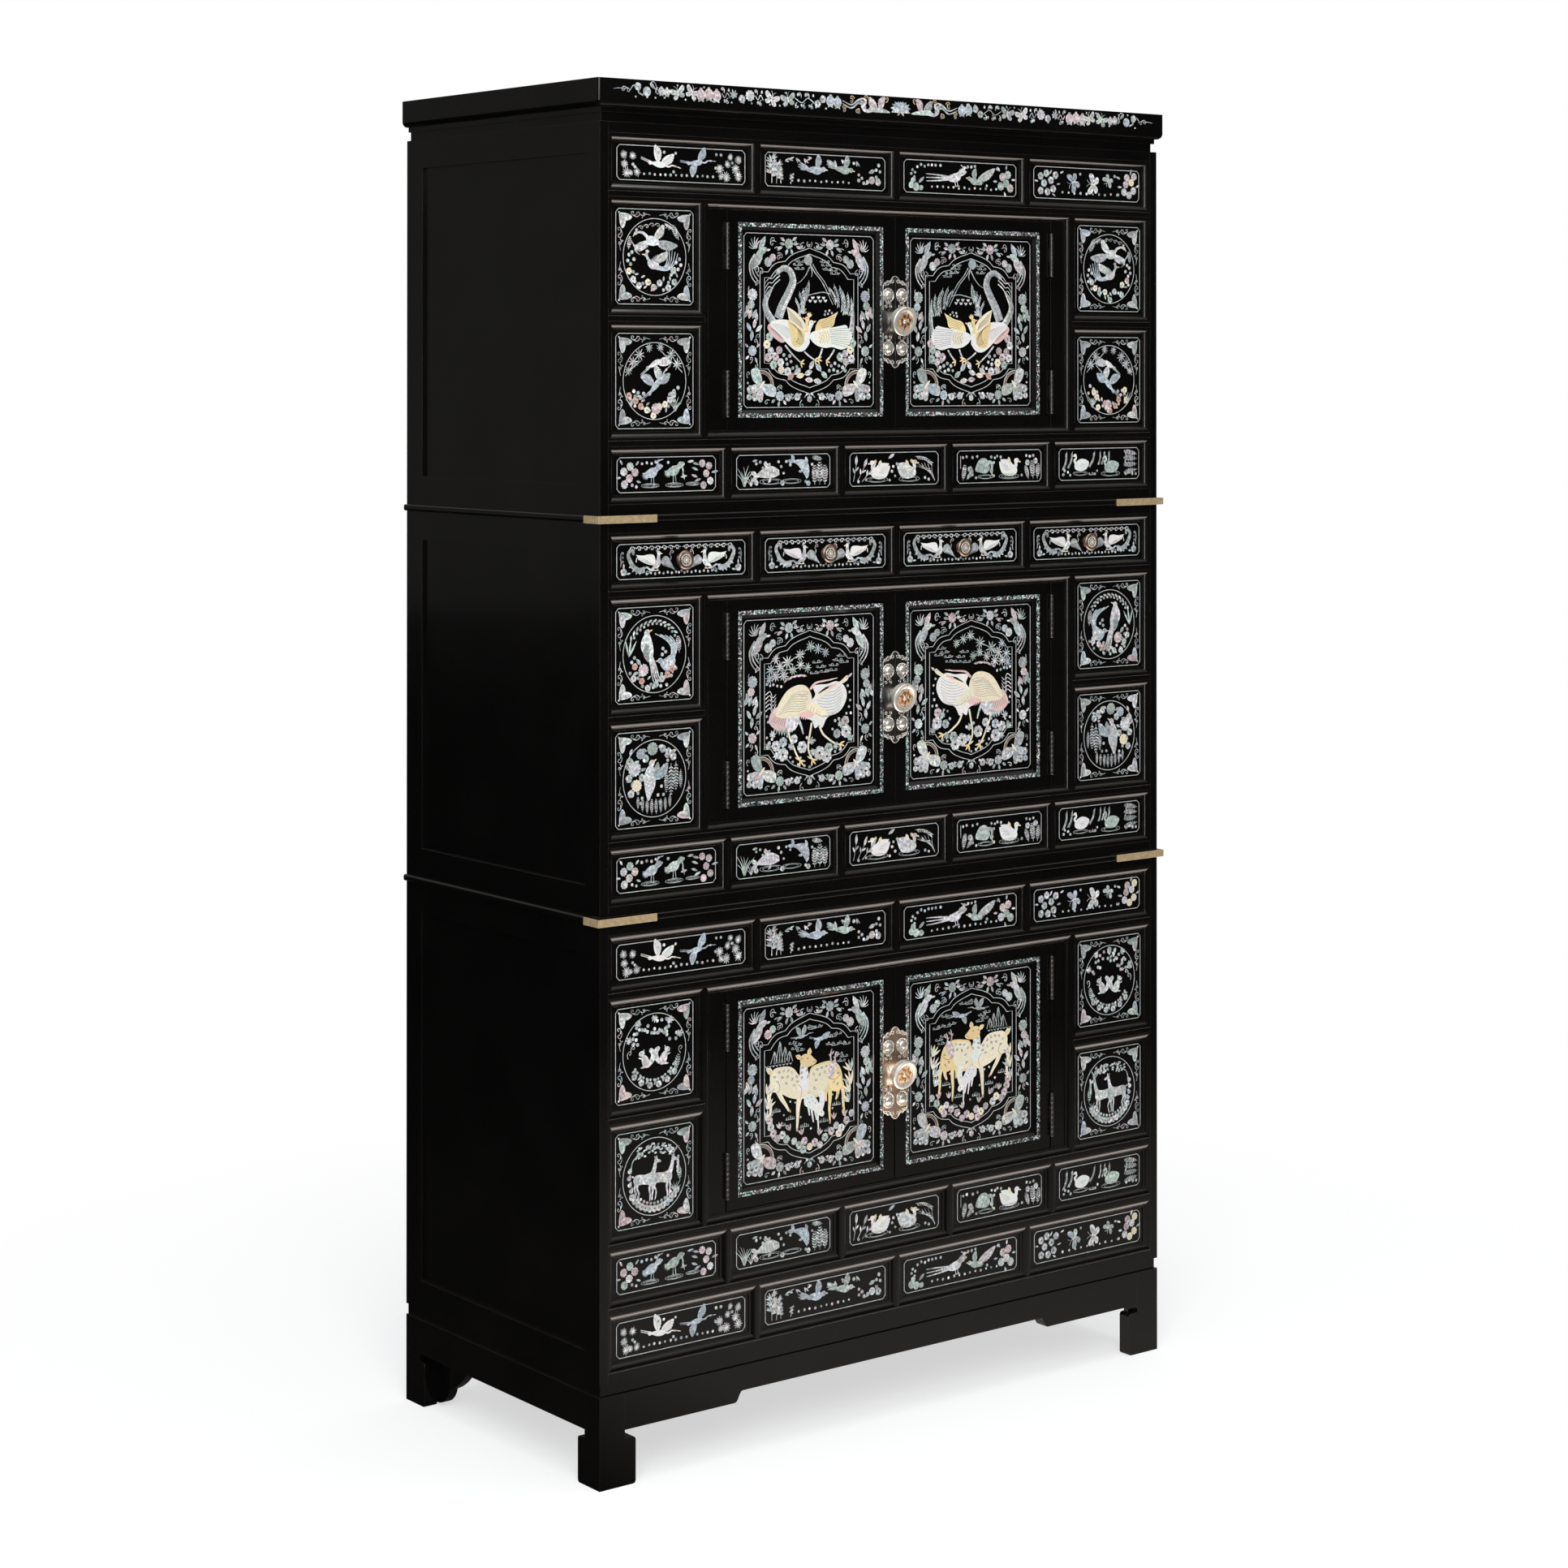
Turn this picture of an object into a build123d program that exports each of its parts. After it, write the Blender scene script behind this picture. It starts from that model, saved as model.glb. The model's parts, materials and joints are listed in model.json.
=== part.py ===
"""Three-tier Korean lacquered chest: a stand, three stacked cases with paired doors, drawers and a cornice.

X runs to the right along the front, Y to the back and Z up. The origin is at the centre of the footprint,
on the floor. All sizes are in millimetres.
"""

from build123d import *
from math import cos, radians, sin
import os

os.makedirs("parts", exist_ok=True)

# ---- driving dimensions: the whole chest ----
WIDTH = 900.0  # cases, across the front
DEPTH = 432.0  # cases, front to back
STAND_H = 108.0
NECK_H = 13.5  # recessed board between the stand and the lowest case
LIP_H = 8.0  # board that caps the lower and the middle case
LIP_OVER = 4.5  # how far that board stands out past the case
LIP_ROUND = 2.5
SIDE_T = 12.0  # side frames
BACK_T = 10.0
BOARD_T = 12.0  # floors and shelf

# ---- the panelled face ----
LONG_H = 68.0  # height of a row of small panels, and of the drawers
SQUARE = 140.0  # side of the square panels beside the doors
RIDGE = 6.5  # plain strip between two rows
MARGIN = 12.75  # plain strip at the foot and the head of each case
FLAT_W = 0.75  # moulding section, from the outer edge inwards
CURVE_W = 7.0
CURVE_D = 4.0
RIM_W = 2.5
MOULD_T = 5.2
FACE_T = 14.0  # rails and muntins behind the mouldings
PANEL_T = 8.0
LONG_COUNT = 4  # panels in the wider-panelled rows, and the number of drawers
SHORT_COUNT = 5  # panels in the narrower-panelled row

# ---- side panels ----
SIDE_RAIL = 36.0
SIDE_STILE_FRONT = 31.0
SIDE_STILE_BACK = 37.0
SIDE_SINK = 4.0  # how deep the side panel lies below its frame
SIDE_PANEL_T = 6.0

# ---- doors ----
DOOR_T = 20.0
DOOR_STILE = 23.75  # plain strip between the moulding and the hinge gap
DOOR_GAP = 2.0  # between the two doors of a pair
DOOR_PLAY = 1.0  # above and below a door
DOOR_FRAME_W = 26.3  # stiles of a door, beside its sunk picture panel
DOOR_FRAME_H = 23.0  # rails of a door
BEVEL_W = 3.5  # slope from the door's face down to the sunk panel
SINK = 5.0

# ---- hinges ----
LEAF_T = 1.0
LEAF_PLAY = 0.4
LEAF_D = 14.0
KNUCKLE_R = 2.6
KNUCKLE_FLAT_COUNT = 8  # a barrel this thin is drawn with flats
KNUCKLE_PLAY = 0.2
HINGE_L = 56.0
HINGE_OFFSET = 89.0  # from the middle of the door to the middle of a hinge

# ---- lock plates and pulls ----
PLATE_W = 20.5  # one half plate
PLATE_T = 1.5
PLATE_STRAIGHT = 44.0  # half the height of its straight side
PLATE_SHOULDER = 49.0
PLATE_CUSP = 51.7
PLATE_PEAK = 58.0
PLATE_LOBE = 0.37  # where the lobe at the tip ends, as a share of the half width
PLATE_NOTCH = 0.8  # where the notch beside it ends
PLATE_SCALLOP = 1.2  # depth of each scallop, filed with two flats
BARREL_R = 13.5
KNOB_R = 18.5
KNOB_T = 10.0
KNOB_OUT = 22.0  # from the door's face to the middle of the knob's front
KNOB_TILT = 12.0  # degrees, with the top forward
SPLIT_GAP = 0.6  # between the left and the right half of the plates and pulls

# ---- drawers ----
DRAWER_PLAY = 0.8
DRAWER_LIFT = 0.3
TRAY_BACK_GAP = 33.0  # free depth behind a closed drawer
TRAY_T = 8.0
TRAY_FLOOR_T = 5.0
TRAY_H = 40.0
PULL_NECK_R = 5.5
PULL_HEAD_R = 11.5
PULL_H = 11.0
PULL_HEAD_T = 4.5
PULL_FLAT_COUNT = 30  # flats round the head, and half as many round the neck

# ---- stand ----
APRON_T = 18.0
APRON_Z = 65.0  # underside of the aprons
APRON_RAISED_Z = 78.0  # underside of the middle of the front apron
APRON_STEP_X = 196.5  # from the corner of the stand to the start of the rise
APRON_STEP_W = 12.5
FOOT_FRONT_W = 51.5
FOOT_SIDE_W = 45.0
NECK_FRONT_W = 36.0
NECK_SIDE_W = 31.0
FOOT_TOP_Z = 55.0
FOOT_ROUND = 4.0
BRACKET_T = 12.0
BRACKET_LIFT = 4.0
BRACKET_REACH = 104.0
BRACKET_HEEL = 31.0  # flat length at its foot
BRACKET_CUSP = 57.0  # from the foot's side of the bracket to the cusp between its two hollows
BRACKET_CUSP_Z = 26.0
BRACKET_HOLLOW = 5.0  # depth of each hollow
NECK_IN = 3.0
NECK_BORDER = 60.0

# ---- cornice ----
CORNICE_OVER = 7.0
CROWN_H = 33.0
CROWN_ROUND = 7.0
CROWN_CORNER_R = 4.0
CORNICE_NECK_H = 11.0
CORNICE_NECK_IN = 5.5
CORNICE_STEP_H = 6.0
CORNICE_STEP_IN = 2.0

# ---- corner plates of the lips ----
CORNER_FRONT_L = 84.0
CORNER_SIDE_L = 31.0
CORNER_T = 1.8
CORNER_LAP = 0.9  # how far a plate reaches below its lip

# ---- worked out from the above ----
RING = FLAT_W + CURVE_W + RIM_W  # a moulding's full width
KNOB_REACH = KNOB_OUT - MOULD_T + KNOB_R * sin(radians(KNOB_TILT))  # past the cases' front
FRONT = (KNOB_REACH - DEPTH) / 2
BACK = FRONT + DEPTH
FACE = FRONT + MOULD_T  # panel and door faces
FACE_BACK = FACE + FACE_T
INNER_X = WIDTH / 2 - SIDE_T
STILE_X = INNER_X - RING
SURROUND_X = INNER_X - SQUARE  # outer edge of the door surround
OPENING_X = SURROUND_X - RING
STILE_EDGE_X = OPENING_X - DOOR_STILE
HINGE_GAP = 2 * LEAF_T + LEAF_PLAY
HINGE_X = STILE_EDGE_X - HINGE_GAP / 2
HINGE_Y = FACE - KNUCKLE_R - KNUCKLE_PLAY
DOOR_X = STILE_EDGE_X - HINGE_GAP  # a door's hinge edge
ZONE_H = 2 * SQUARE + RIDGE
DOOR_H = ZONE_H - 2 * RING - 2 * DOOR_PLAY
DOOR_W = DOOR_X - DOOR_GAP / 2
DOOR_MID_X = DOOR_GAP / 2 + DOOR_W / 2
PICTURE_W = DOOR_W - 2 * DOOR_FRAME_W
PICTURE_H = DOOR_H - 2 * DOOR_FRAME_H
LONG_W = 2 * INNER_X / LONG_COUNT
SHORT_W = 2 * INNER_X / SHORT_COUNT
TRAY_D = DEPTH - BACK_T - MOULD_T - FACE_T - TRAY_BACK_GAP

ROWS = {
    "bottom": ["long", "short", "doors", "long"],
    "middle": ["short", "doors", "drawers"],
    "top": ["short", "doors", "long"],
}
TIERS = list(ROWS)
SIDES = {"left": -1, "right": 1}
FIELD_SIZES = {"long": (LONG_W, LONG_H), "short": (SHORT_W, LONG_H), "square": (SQUARE, SQUARE)}


def row_height(kind):
    """Height of one row of the face."""
    return ZONE_H if kind == "doors" else LONG_H


def case_height(tier):
    """Height of one case, without its lip."""
    kinds = ROWS[tier]
    return 2 * MARGIN + sum(row_height(kind) for kind in kinds) + RIDGE * (len(kinds) - 1)


def case_base(tier):
    """Height of a case's underside above the floor."""
    below = TIERS[: TIERS.index(tier)]
    return STAND_H + NECK_H + sum(case_height(name) + LIP_H for name in below)


def row_spans(tier):
    """Kind, foot and head of each row of a case, from the bottom up."""
    spans = []
    foot = case_base(tier) + MARGIN
    for kind in ROWS[tier]:
        spans.append((kind, foot, foot + row_height(kind)))
        foot += row_height(kind) + RIDGE
    return spans


def zone(tier):
    """Foot and head of the door surround of a case."""
    return next((foot, head) for kind, foot, head in row_spans(tier) if kind == "doors")


def column_edges(kind):
    """Outer edges of the panels in a row of small panels, from left to right."""
    count = SHORT_COUNT if kind == "short" else LONG_COUNT
    step = 2 * INNER_X / count
    return [step * i - INNER_X for i in range(count + 1)]


def column_middles(kind):
    """Middles of the panels or drawers in a row, from left to right."""
    edges = column_edges(kind)
    return [(left + right) / 2 for left, right in zip(edges, edges[1:])]


def slab(xs, ys, zs, mode=Mode.ADD):
    """Adds or cuts a box between two limits on each axis."""
    with Locations((sum(xs) / 2, sum(ys) / 2, sum(zs) / 2)):
        Box(xs[1] - xs[0], ys[1] - ys[0], zs[1] - zs[0], mode=mode)


def board(xs, ys, zs):
    """A plain board between two limits on each axis."""
    with BuildPart() as plain:
        slab(xs, ys, zs)
    return plain.part


def mirrored(limits, side):
    """Limits on X, given for the right-hand side, put on the named side in rising order."""
    return tuple(sorted(side * limit for limit in limits))


def save(label, pieces):
    """Writes the separate solids of one sub-part to its own file."""
    group = Compound(label=label, children=pieces) if len(pieces) > 1 else pieces[0]
    group.label = label
    export_step(group, f"parts/{label}.step")


# ---- stand ----
def foot_leg(plane, corner, foot_w, neck_w):
    """One leg of a foot, from the corner inwards: a wide block cut in under the apron."""
    with BuildPart() as leg:
        with BuildSketch(plane):
            with BuildLine():
                Polyline(
                    (corner, 0),
                    (corner + foot_w, 0),
                    (corner + foot_w, FOOT_TOP_Z),
                    (corner + neck_w, FOOT_TOP_Z),
                    (corner + neck_w, STAND_H),
                    (corner, STAND_H),
                    close=True,
                )
            make_face()
            fillet(vertices().group_by(Axis.X)[-1], FOOT_ROUND)
        extrude(amount=APRON_T)
    return leg.part


with BuildPart() as stand_feet:
    add(foot_leg(Plane.XZ.offset(-FRONT - APRON_T), -WIDTH / 2, FOOT_FRONT_W, NECK_FRONT_W))
    add(foot_leg(Plane.YZ.offset(-WIDTH / 2), FRONT, FOOT_SIDE_W, NECK_SIDE_W))
    mirror(about=Plane.YZ)
    mirror(about=Plane.XZ.offset(-(FRONT + BACK) / 2))
stand_feet.part.label = "stand_feet"
export_step(stand_feet.part, "parts/stand_feet.step")

apron_end = WIDTH / 2 - NECK_FRONT_W
step_foot = WIDTH / 2 - APRON_STEP_X
step_mid = step_foot - APRON_STEP_W / 2
step_head = step_foot - APRON_STEP_W
with BuildPart() as front_apron:
    with BuildSketch(Plane.XZ.offset(-FRONT)):
        with BuildLine():
            Polyline((0, STAND_H), (apron_end, STAND_H), (apron_end, APRON_Z), (step_foot, APRON_Z))
            Bezier(
                (step_foot, APRON_Z),
                (step_mid, APRON_Z),
                (step_mid, APRON_RAISED_Z),
                (step_head, APRON_RAISED_Z),
            )
            Line((step_head, APRON_RAISED_Z), (0, APRON_RAISED_Z))
            mirror(about=Plane.YZ)
        make_face()
    extrude(amount=-APRON_T)

bracket_y = BACK - APRON_T
bracket_tip = (bracket_y - BRACKET_REACH, APRON_Z)
bracket_heel = (bracket_y - BRACKET_HEEL, BRACKET_LIFT)
bracket_cusp = (bracket_y - BRACKET_CUSP, BRACKET_CUSP_Z)
with BuildPart() as bracket:
    with BuildSketch(Plane.YZ.offset(APRON_T - WIDTH / 2)):
        with BuildLine():
            bracket_head = (bracket_tip[0], STAND_H)
            Polyline(bracket_tip, bracket_head, (bracket_y, STAND_H), (bracket_y, BRACKET_LIFT), bracket_heel)
            SagittaArc(bracket_heel, bracket_cusp, BRACKET_HOLLOW)
            SagittaArc(bracket_cusp, bracket_tip, BRACKET_HOLLOW)
        make_face()
    extrude(amount=BRACKET_T)

apron_ys = (FRONT + NECK_SIDE_W, BACK - NECK_SIDE_W)
apron_zs = (APRON_Z, STAND_H)
aprons = [front_apron.part, board((-apron_end, apron_end), (BACK - APRON_T, BACK), apron_zs)]
for side in SIDES.values():
    aprons.append(board(mirrored((WIDTH / 2 - APRON_T, WIDTH / 2), side), apron_ys, apron_zs))
aprons.append(bracket.part)
aprons.append(mirror(bracket.part, about=Plane.YZ))
save("stand_aprons", aprons)

neck_x = WIDTH / 2 - NECK_IN
neck_inner_x = neck_x - NECK_BORDER
neck_zs = (STAND_H, STAND_H + NECK_H)
neck_front = FRONT + NECK_IN
neck_side_ys = (neck_front + NECK_BORDER, BACK - NECK_BORDER)
neck_boards = [
    board((-neck_x, neck_x), (neck_front, neck_front + NECK_BORDER), neck_zs),
    board((-neck_x, neck_x), (BACK - NECK_BORDER, BACK), neck_zs),
]
for side in SIDES.values():
    neck_boards.append(board(mirrored((neck_inner_x, neck_x), side), neck_side_ys, neck_zs))
save("stand_top", neck_boards)


# ---- cases ----
def side_frame(foot, head, side):
    """Stiles and rails of one side of a case, joined, with the opening for its panel."""
    with BuildPart() as frame:
        xs = mirrored((INNER_X, WIDTH / 2), side)
        slab(xs, (FRONT, BACK), (foot, head))
        opening_ys = (FRONT + SIDE_STILE_FRONT, BACK - SIDE_STILE_BACK)
        slab(xs, opening_ys, (foot + SIDE_RAIL, head - SIDE_RAIL), Mode.SUBTRACT)
    return frame.part


def side_panel(foot, head, side):
    """The panel that fills a side frame, sunk below its face."""
    outer = WIDTH / 2 - SIDE_SINK
    xs = mirrored((outer - SIDE_PANEL_T, outer), side)
    ys = (FRONT + SIDE_STILE_FRONT, BACK - SIDE_STILE_BACK)
    return board(xs, ys, (foot + SIDE_RAIL, head - SIDE_RAIL))


def lip(z):
    """The board that caps a case, with its front and side edges rounded."""
    with BuildPart() as cap:
        over_x = WIDTH / 2 + LIP_OVER
        slab((-over_x, over_x), (FRONT - LIP_OVER, BACK), (z, z + LIP_H))
        edges_across = cap.edges().filter_by(Axis.X).group_by(Axis.Y)[0]
        edges_deep = cap.edges().filter_by(Axis.Y)
        fillet(edges_across + edges_deep, LIP_ROUND)
    return cap.part


def tee_rail(xs, tongue_xs, foot, head, overlap_foot, overlap_head):
    """A rail behind the mouldings, with a tongue that shows as the plain strip between two rows."""
    with BuildPart() as rail:
        slab(xs, (FACE, FACE_BACK), (foot - overlap_foot, head + overlap_head))
        slab(tongue_xs, (FRONT, FACE), (foot, head))
    return rail.part


def face_frame(tier):
    """Rails, stiles and muntins of one case's face."""
    foot = case_base(tier)
    head = foot + case_height(tier)
    between = (-STILE_X, STILE_X)
    across = (-INNER_X, INNER_X)
    pieces = [
        tee_rail(between, across, foot, foot + MARGIN, 0, RING),
        tee_rail(between, across, head - MARGIN, head, RING, 0),
    ]
    for side in SIDES.values():
        pieces.append(board(mirrored((STILE_X, INNER_X), side), (FACE, FACE_BACK), (foot, head)))
    spans = row_spans(tier)
    for kind, row_foot, row_head in spans[:-1]:
        pieces.append(tee_rail(between, across, row_head, row_head + RIDGE, RING, RING))
    for kind, row_foot, row_head in spans:
        zs = (row_foot + RING, row_head - RING)
        if kind == "doors":
            pieces += door_stiles(row_foot + SQUARE, zs)
            continue
        for x in column_edges(kind)[1:-1]:
            pieces.append(board((x - RING, x + RING), (FACE, FACE_BACK), zs))
    return pieces


def door_stiles(cross_foot, zs):
    """The stile that each door hangs on, and the short rail between the two square panels beside it."""
    pieces = []
    for side in SIDES.values():
        stile_xs = mirrored((STILE_EDGE_X, SURROUND_X + RING), side)
        pieces.append(board(stile_xs, (FACE, FACE + DOOR_T), zs))
        cross_xs = mirrored((SURROUND_X + RING, STILE_X), side)
        tongue_xs = mirrored((SURROUND_X, INNER_X), side)
        pieces.append(tee_rail(cross_xs, tongue_xs, cross_foot, cross_foot + RIDGE, RING, RING))
    return pieces


def fixed_fields(tier):
    """Every fixed panel of one case's face: its kind and the centre of its moulding on X and Z."""
    fields = []
    for kind, foot, head in row_spans(tier):
        if kind == "doors":
            square_x = INNER_X - SQUARE / 2
            for side in SIDES.values():
                fields.append(("square", side * square_x, foot + SQUARE / 2))
                fields.append(("square", side * square_x, head - SQUARE / 2))
        elif kind != "drawers":
            fields += [(kind, x, (foot + head) / 2) for x in column_middles(kind)]
    return fields


def fixed_panels(tier):
    """The inlaid panels that fill the face frame, flush with the backs of their mouldings."""
    panels = []
    for kind, x, z in fixed_fields(tier):
        w, h = FIELD_SIZES[kind]
        half_w = w / 2 - RING
        half_h = h / 2 - RING
        panels.append(board((x - half_w, x + half_w), (FACE, FACE + PANEL_T), (z - half_h, z + half_h)))
    return panels


# ---- mouldings ----
def moulding_length(length):
    """One mitred length along X: outer edge at Z = 0, face at Y = 0, a rounded slope and a thin inner rim."""
    with BuildPart() as strip:
        with BuildSketch(Plane.YZ.offset(-length / 2)):
            with BuildLine():
                Line((0, 0), (0, FLAT_W))
                TangentArc((0, FLAT_W), (CURVE_D, FLAT_W + CURVE_W), tangent=(0, 1))
                Polyline((CURVE_D, FLAT_W + CURVE_W), (CURVE_D, RING), (MOULD_T, RING), (MOULD_T, 0), (0, 0))
            make_face()
        extrude(amount=length)
        for end in (-1, 1):
            mitre = Plane(origin=(end * length / 2, 0, 0), z_dir=(-end, 0, -1))
            split(bisect_by=mitre, keep=Keep.TOP)
    return strip.part


def moulding_lengths(w, h):
    """The four mitred lengths around an opening, placed about its centre."""
    across = moulding_length(w)
    upright = moulding_length(h)
    return [
        across.moved(Location((0, 0, -h / 2))),
        across.moved(Location((0, 0, h / 2), (0, 180, 0))),
        upright.moved(Location((-w / 2, 0, 0), (0, 90, 0))),
        upright.moved(Location((w / 2, 0, 0), (0, -90, 0))),
    ]


def moulding_ring(w, h):
    """The four lengths joined into one frame, as they are around a fixed panel."""
    with BuildPart() as ring:
        add(moulding_lengths(w, h))
    return ring.part


def mouldings(tier):
    """All the mouldings of one case's face."""
    pieces = []
    for kind, x, z in fixed_fields(tier):
        pieces.append(RINGS[kind].moved(Location((x, FRONT, z))))
    for kind, foot, head in row_spans(tier):
        middle_z = (foot + head) / 2
        if kind == "doors":
            surround = moulding_lengths(2 * SURROUND_X, ZONE_H)
            pieces += [length.moved(Location((0, FRONT, middle_z))) for length in surround]
        if kind == "drawers":
            for x in column_middles(kind):
                surround = moulding_lengths(LONG_W, LONG_H)
                pieces += [length.moved(Location((x, FRONT, middle_z))) for length in surround]
    return pieces


def boards(tier):
    """Floor and cap of a case; the middle one also has the shelf and guides that its drawers run on."""
    foot = case_base(tier)
    head = foot + case_height(tier)
    inside = (-INNER_X, INNER_X)
    deep = (FACE_BACK, BACK - BACK_T)
    pieces = [board(inside, deep, (foot, foot + BOARD_T))]
    if tier == TIERS[-1]:
        pieces.append(board(inside, deep, (head - LIP_H, head)))
    else:
        pieces.append(lip(head))
    for kind, row_foot, row_head in row_spans(tier):
        if kind == "drawers":
            shelf_top = row_foot + RING
            pieces.append(board(inside, deep, (shelf_top - BOARD_T, shelf_top)))
            for x in column_edges(kind):
                xs = (max(x - RING, -INNER_X), min(x + RING, INNER_X))
                pieces.append(board(xs, deep, (shelf_top, head)))
    return pieces


RINGS = {kind: moulding_ring(w, h) for kind, (w, h) in FIELD_SIZES.items()}
for tier in TIERS:
    base = case_base(tier)
    top = base + case_height(tier)
    save(f"{tier}_side_frames", [side_frame(base, top, side) for side in SIDES.values()])
    back = board((-INNER_X, INNER_X), (BACK - BACK_T, BACK), (base, top))
    save(f"{tier}_panels", [side_panel(base, top, side) for side in SIDES.values()] + [back])
    save(f"{tier}_boards", boards(tier))
    save(f"{tier}_face_frame", face_frame(tier))
    save(f"{tier}_fixed_panels", fixed_panels(tier))
    save(f"{tier}_mouldings", mouldings(tier))


# ---- cornice ----
cases_top = case_base("top") + case_height("top")
step_z = cases_top + CORNICE_NECK_H
crown_z = step_z + CORNICE_STEP_H
with BuildPart() as cornice_neck:
    lower_x = WIDTH / 2 - CORNICE_NECK_IN
    upper_x = WIDTH / 2 - CORNICE_STEP_IN
    slab((-lower_x, lower_x), (FRONT + CORNICE_NECK_IN, BACK), (cases_top, step_z))
    slab((-upper_x, upper_x), (FRONT + CORNICE_STEP_IN, BACK), (step_z, crown_z))

with BuildPart() as crown:
    crown_x = WIDTH / 2 + CORNICE_OVER
    slab((-crown_x, crown_x), (FRONT - CORNICE_OVER, BACK), (crown_z, crown_z + CROWN_H))
    fillet(crown.edges().filter_by(Axis.Z).group_by(Axis.Y)[0], CROWN_CORNER_R)
    under = crown.faces().sort_by(Axis.Z)[0]
    fillet(under.edges().sort_by(Axis.Y)[:-1], CROWN_ROUND)
save("cornice", [crown.part, cornice_neck.part])

# ---- corner plates of the lips ----
with BuildPart() as corner_plates:
    for tier in TIERS[:-1]:
        lip_z = case_base(tier) + case_height(tier)
        zs = (lip_z - CORNER_LAP, lip_z + LIP_H)
        edge_x = WIDTH / 2 + LIP_OVER
        edge_y = FRONT - LIP_OVER
        for side in SIDES.values():
            front_xs = mirrored((edge_x + CORNER_T - CORNER_FRONT_L, edge_x + CORNER_T), side)
            slab(front_xs, (edge_y - CORNER_T, edge_y), zs)
            side_xs = mirrored((edge_x, edge_x + CORNER_T), side)
            slab(side_xs, (edge_y - CORNER_T, edge_y - CORNER_T + CORNER_SIDE_L), zs)
corner_plates.part.label = "corner_plates"
export_step(corner_plates.part, "parts/corner_plates.step")


# ---- hinges ----
def hinge_leaf(side, z, on_door):
    """One leaf with its knuckles: the outer two stay on the stile, the middle one turns with the door."""
    foot = z - HINGE_L / 2
    third = HINGE_L / 3
    play = KNUCKLE_PLAY / 2
    if on_door:
        xs = mirrored((DOOR_X, DOOR_X + LEAF_T), side)
        spans = [(foot + third + play, foot + 2 * third - play)]
    else:
        xs = mirrored((STILE_EDGE_X - LEAF_T, STILE_EDGE_X), side)
        spans = [(foot, foot + third - play), (foot + 2 * third + play, foot + HINGE_L)]
    with BuildPart() as leaf:
        slab(xs, (FACE, FACE + LEAF_D), (foot, foot + HINGE_L))
        for low, high in spans:
            with BuildSketch(Plane.XY.offset(low)):
                with Locations((side * HINGE_X, HINGE_Y)):
                    RegularPolygon(KNUCKLE_R, KNUCKLE_FLAT_COUNT)
                with Locations((sum(xs) / 2, (HINGE_Y + FACE + LEAF_D) / 2)):
                    Rectangle(LEAF_T, FACE + LEAF_D - HINGE_Y)
            extrude(amount=high - low)
    return leaf.part


def hinge_heights(tier):
    """Middles of a door's two hinges."""
    foot, head = zone(tier)
    middle = (foot + head) / 2
    return (middle - HINGE_OFFSET, middle + HINGE_OFFSET)


fixed_leaves = []
for tier in TIERS:
    for side in SIDES.values():
        fixed_leaves += [hinge_leaf(side, z, False) for z in hinge_heights(tier)]
save("hinge_fixed_leaves", fixed_leaves)


# ---- doors ----
def door_frame(x, z):
    """The door's stiles and rails in one, with a slope down to the sunk panel."""
    with BuildPart() as frame:
        slab((x - DOOR_W / 2, x + DOOR_W / 2), (FACE, FACE + DOOR_T), (z - DOOR_H / 2, z + DOOR_H / 2))
        picture_xs = (x - PICTURE_W / 2, x + PICTURE_W / 2)
        slab(picture_xs, (FACE, FACE + DOOR_T), (z - PICTURE_H / 2, z + PICTURE_H / 2), Mode.SUBTRACT)
        sight = frame.faces().sort_by(Axis.Y)[0].inner_wires().edges()
        chamfer(sight, SINK, BEVEL_W, reference=frame.faces().sort_by(Axis.Y)[0])
    return frame.part


def door_panel(x, z):
    """The sunk picture panel of a door."""
    ys = (FACE + SINK, FACE + SINK + PANEL_T)
    return board((x - PICTURE_W / 2, x + PICTURE_W / 2), ys, (z - PICTURE_H / 2, z + PICTURE_H / 2))


def scallop(start, end, depth):
    """Corners of one shallow scallop of the plate's rim, between two points."""
    middle = Vector((start[0] + end[0]) / 2, (start[1] + end[1]) / 2)
    across = Vector(end[1] - start[1], start[0] - end[0]).normalized()
    swell = middle + across * depth
    return [start, (swell.X, swell.Y), end]


def lock_plate(z):
    """The right-hand half of the cusped plate."""
    inner = SPLIT_GAP / 2
    peak = (inner, PLATE_PEAK)
    cusp = (PLATE_W * PLATE_LOBE, PLATE_CUSP)
    shoulder = (PLATE_W * PLATE_NOTCH, PLATE_SHOULDER)
    corner = (PLATE_W, PLATE_STRAIGHT)
    rim = scallop(peak, cusp, -PLATE_SCALLOP)
    rim += scallop(cusp, shoulder, PLATE_SCALLOP)[1:]
    rim += scallop(shoulder, corner, -PLATE_SCALLOP)[1:]
    with BuildPart() as plate:
        with BuildSketch(Plane(origin=(0, FACE, z), x_dir=(1, 0, 0), z_dir=(0, -1, 0))):
            with BuildLine():
                Polyline((inner, 0), *rim, (PLATE_W, 0))
                mirror(about=Plane.XZ)
            make_face()
        extrude(amount=PLATE_T)
    return plate.part


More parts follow.
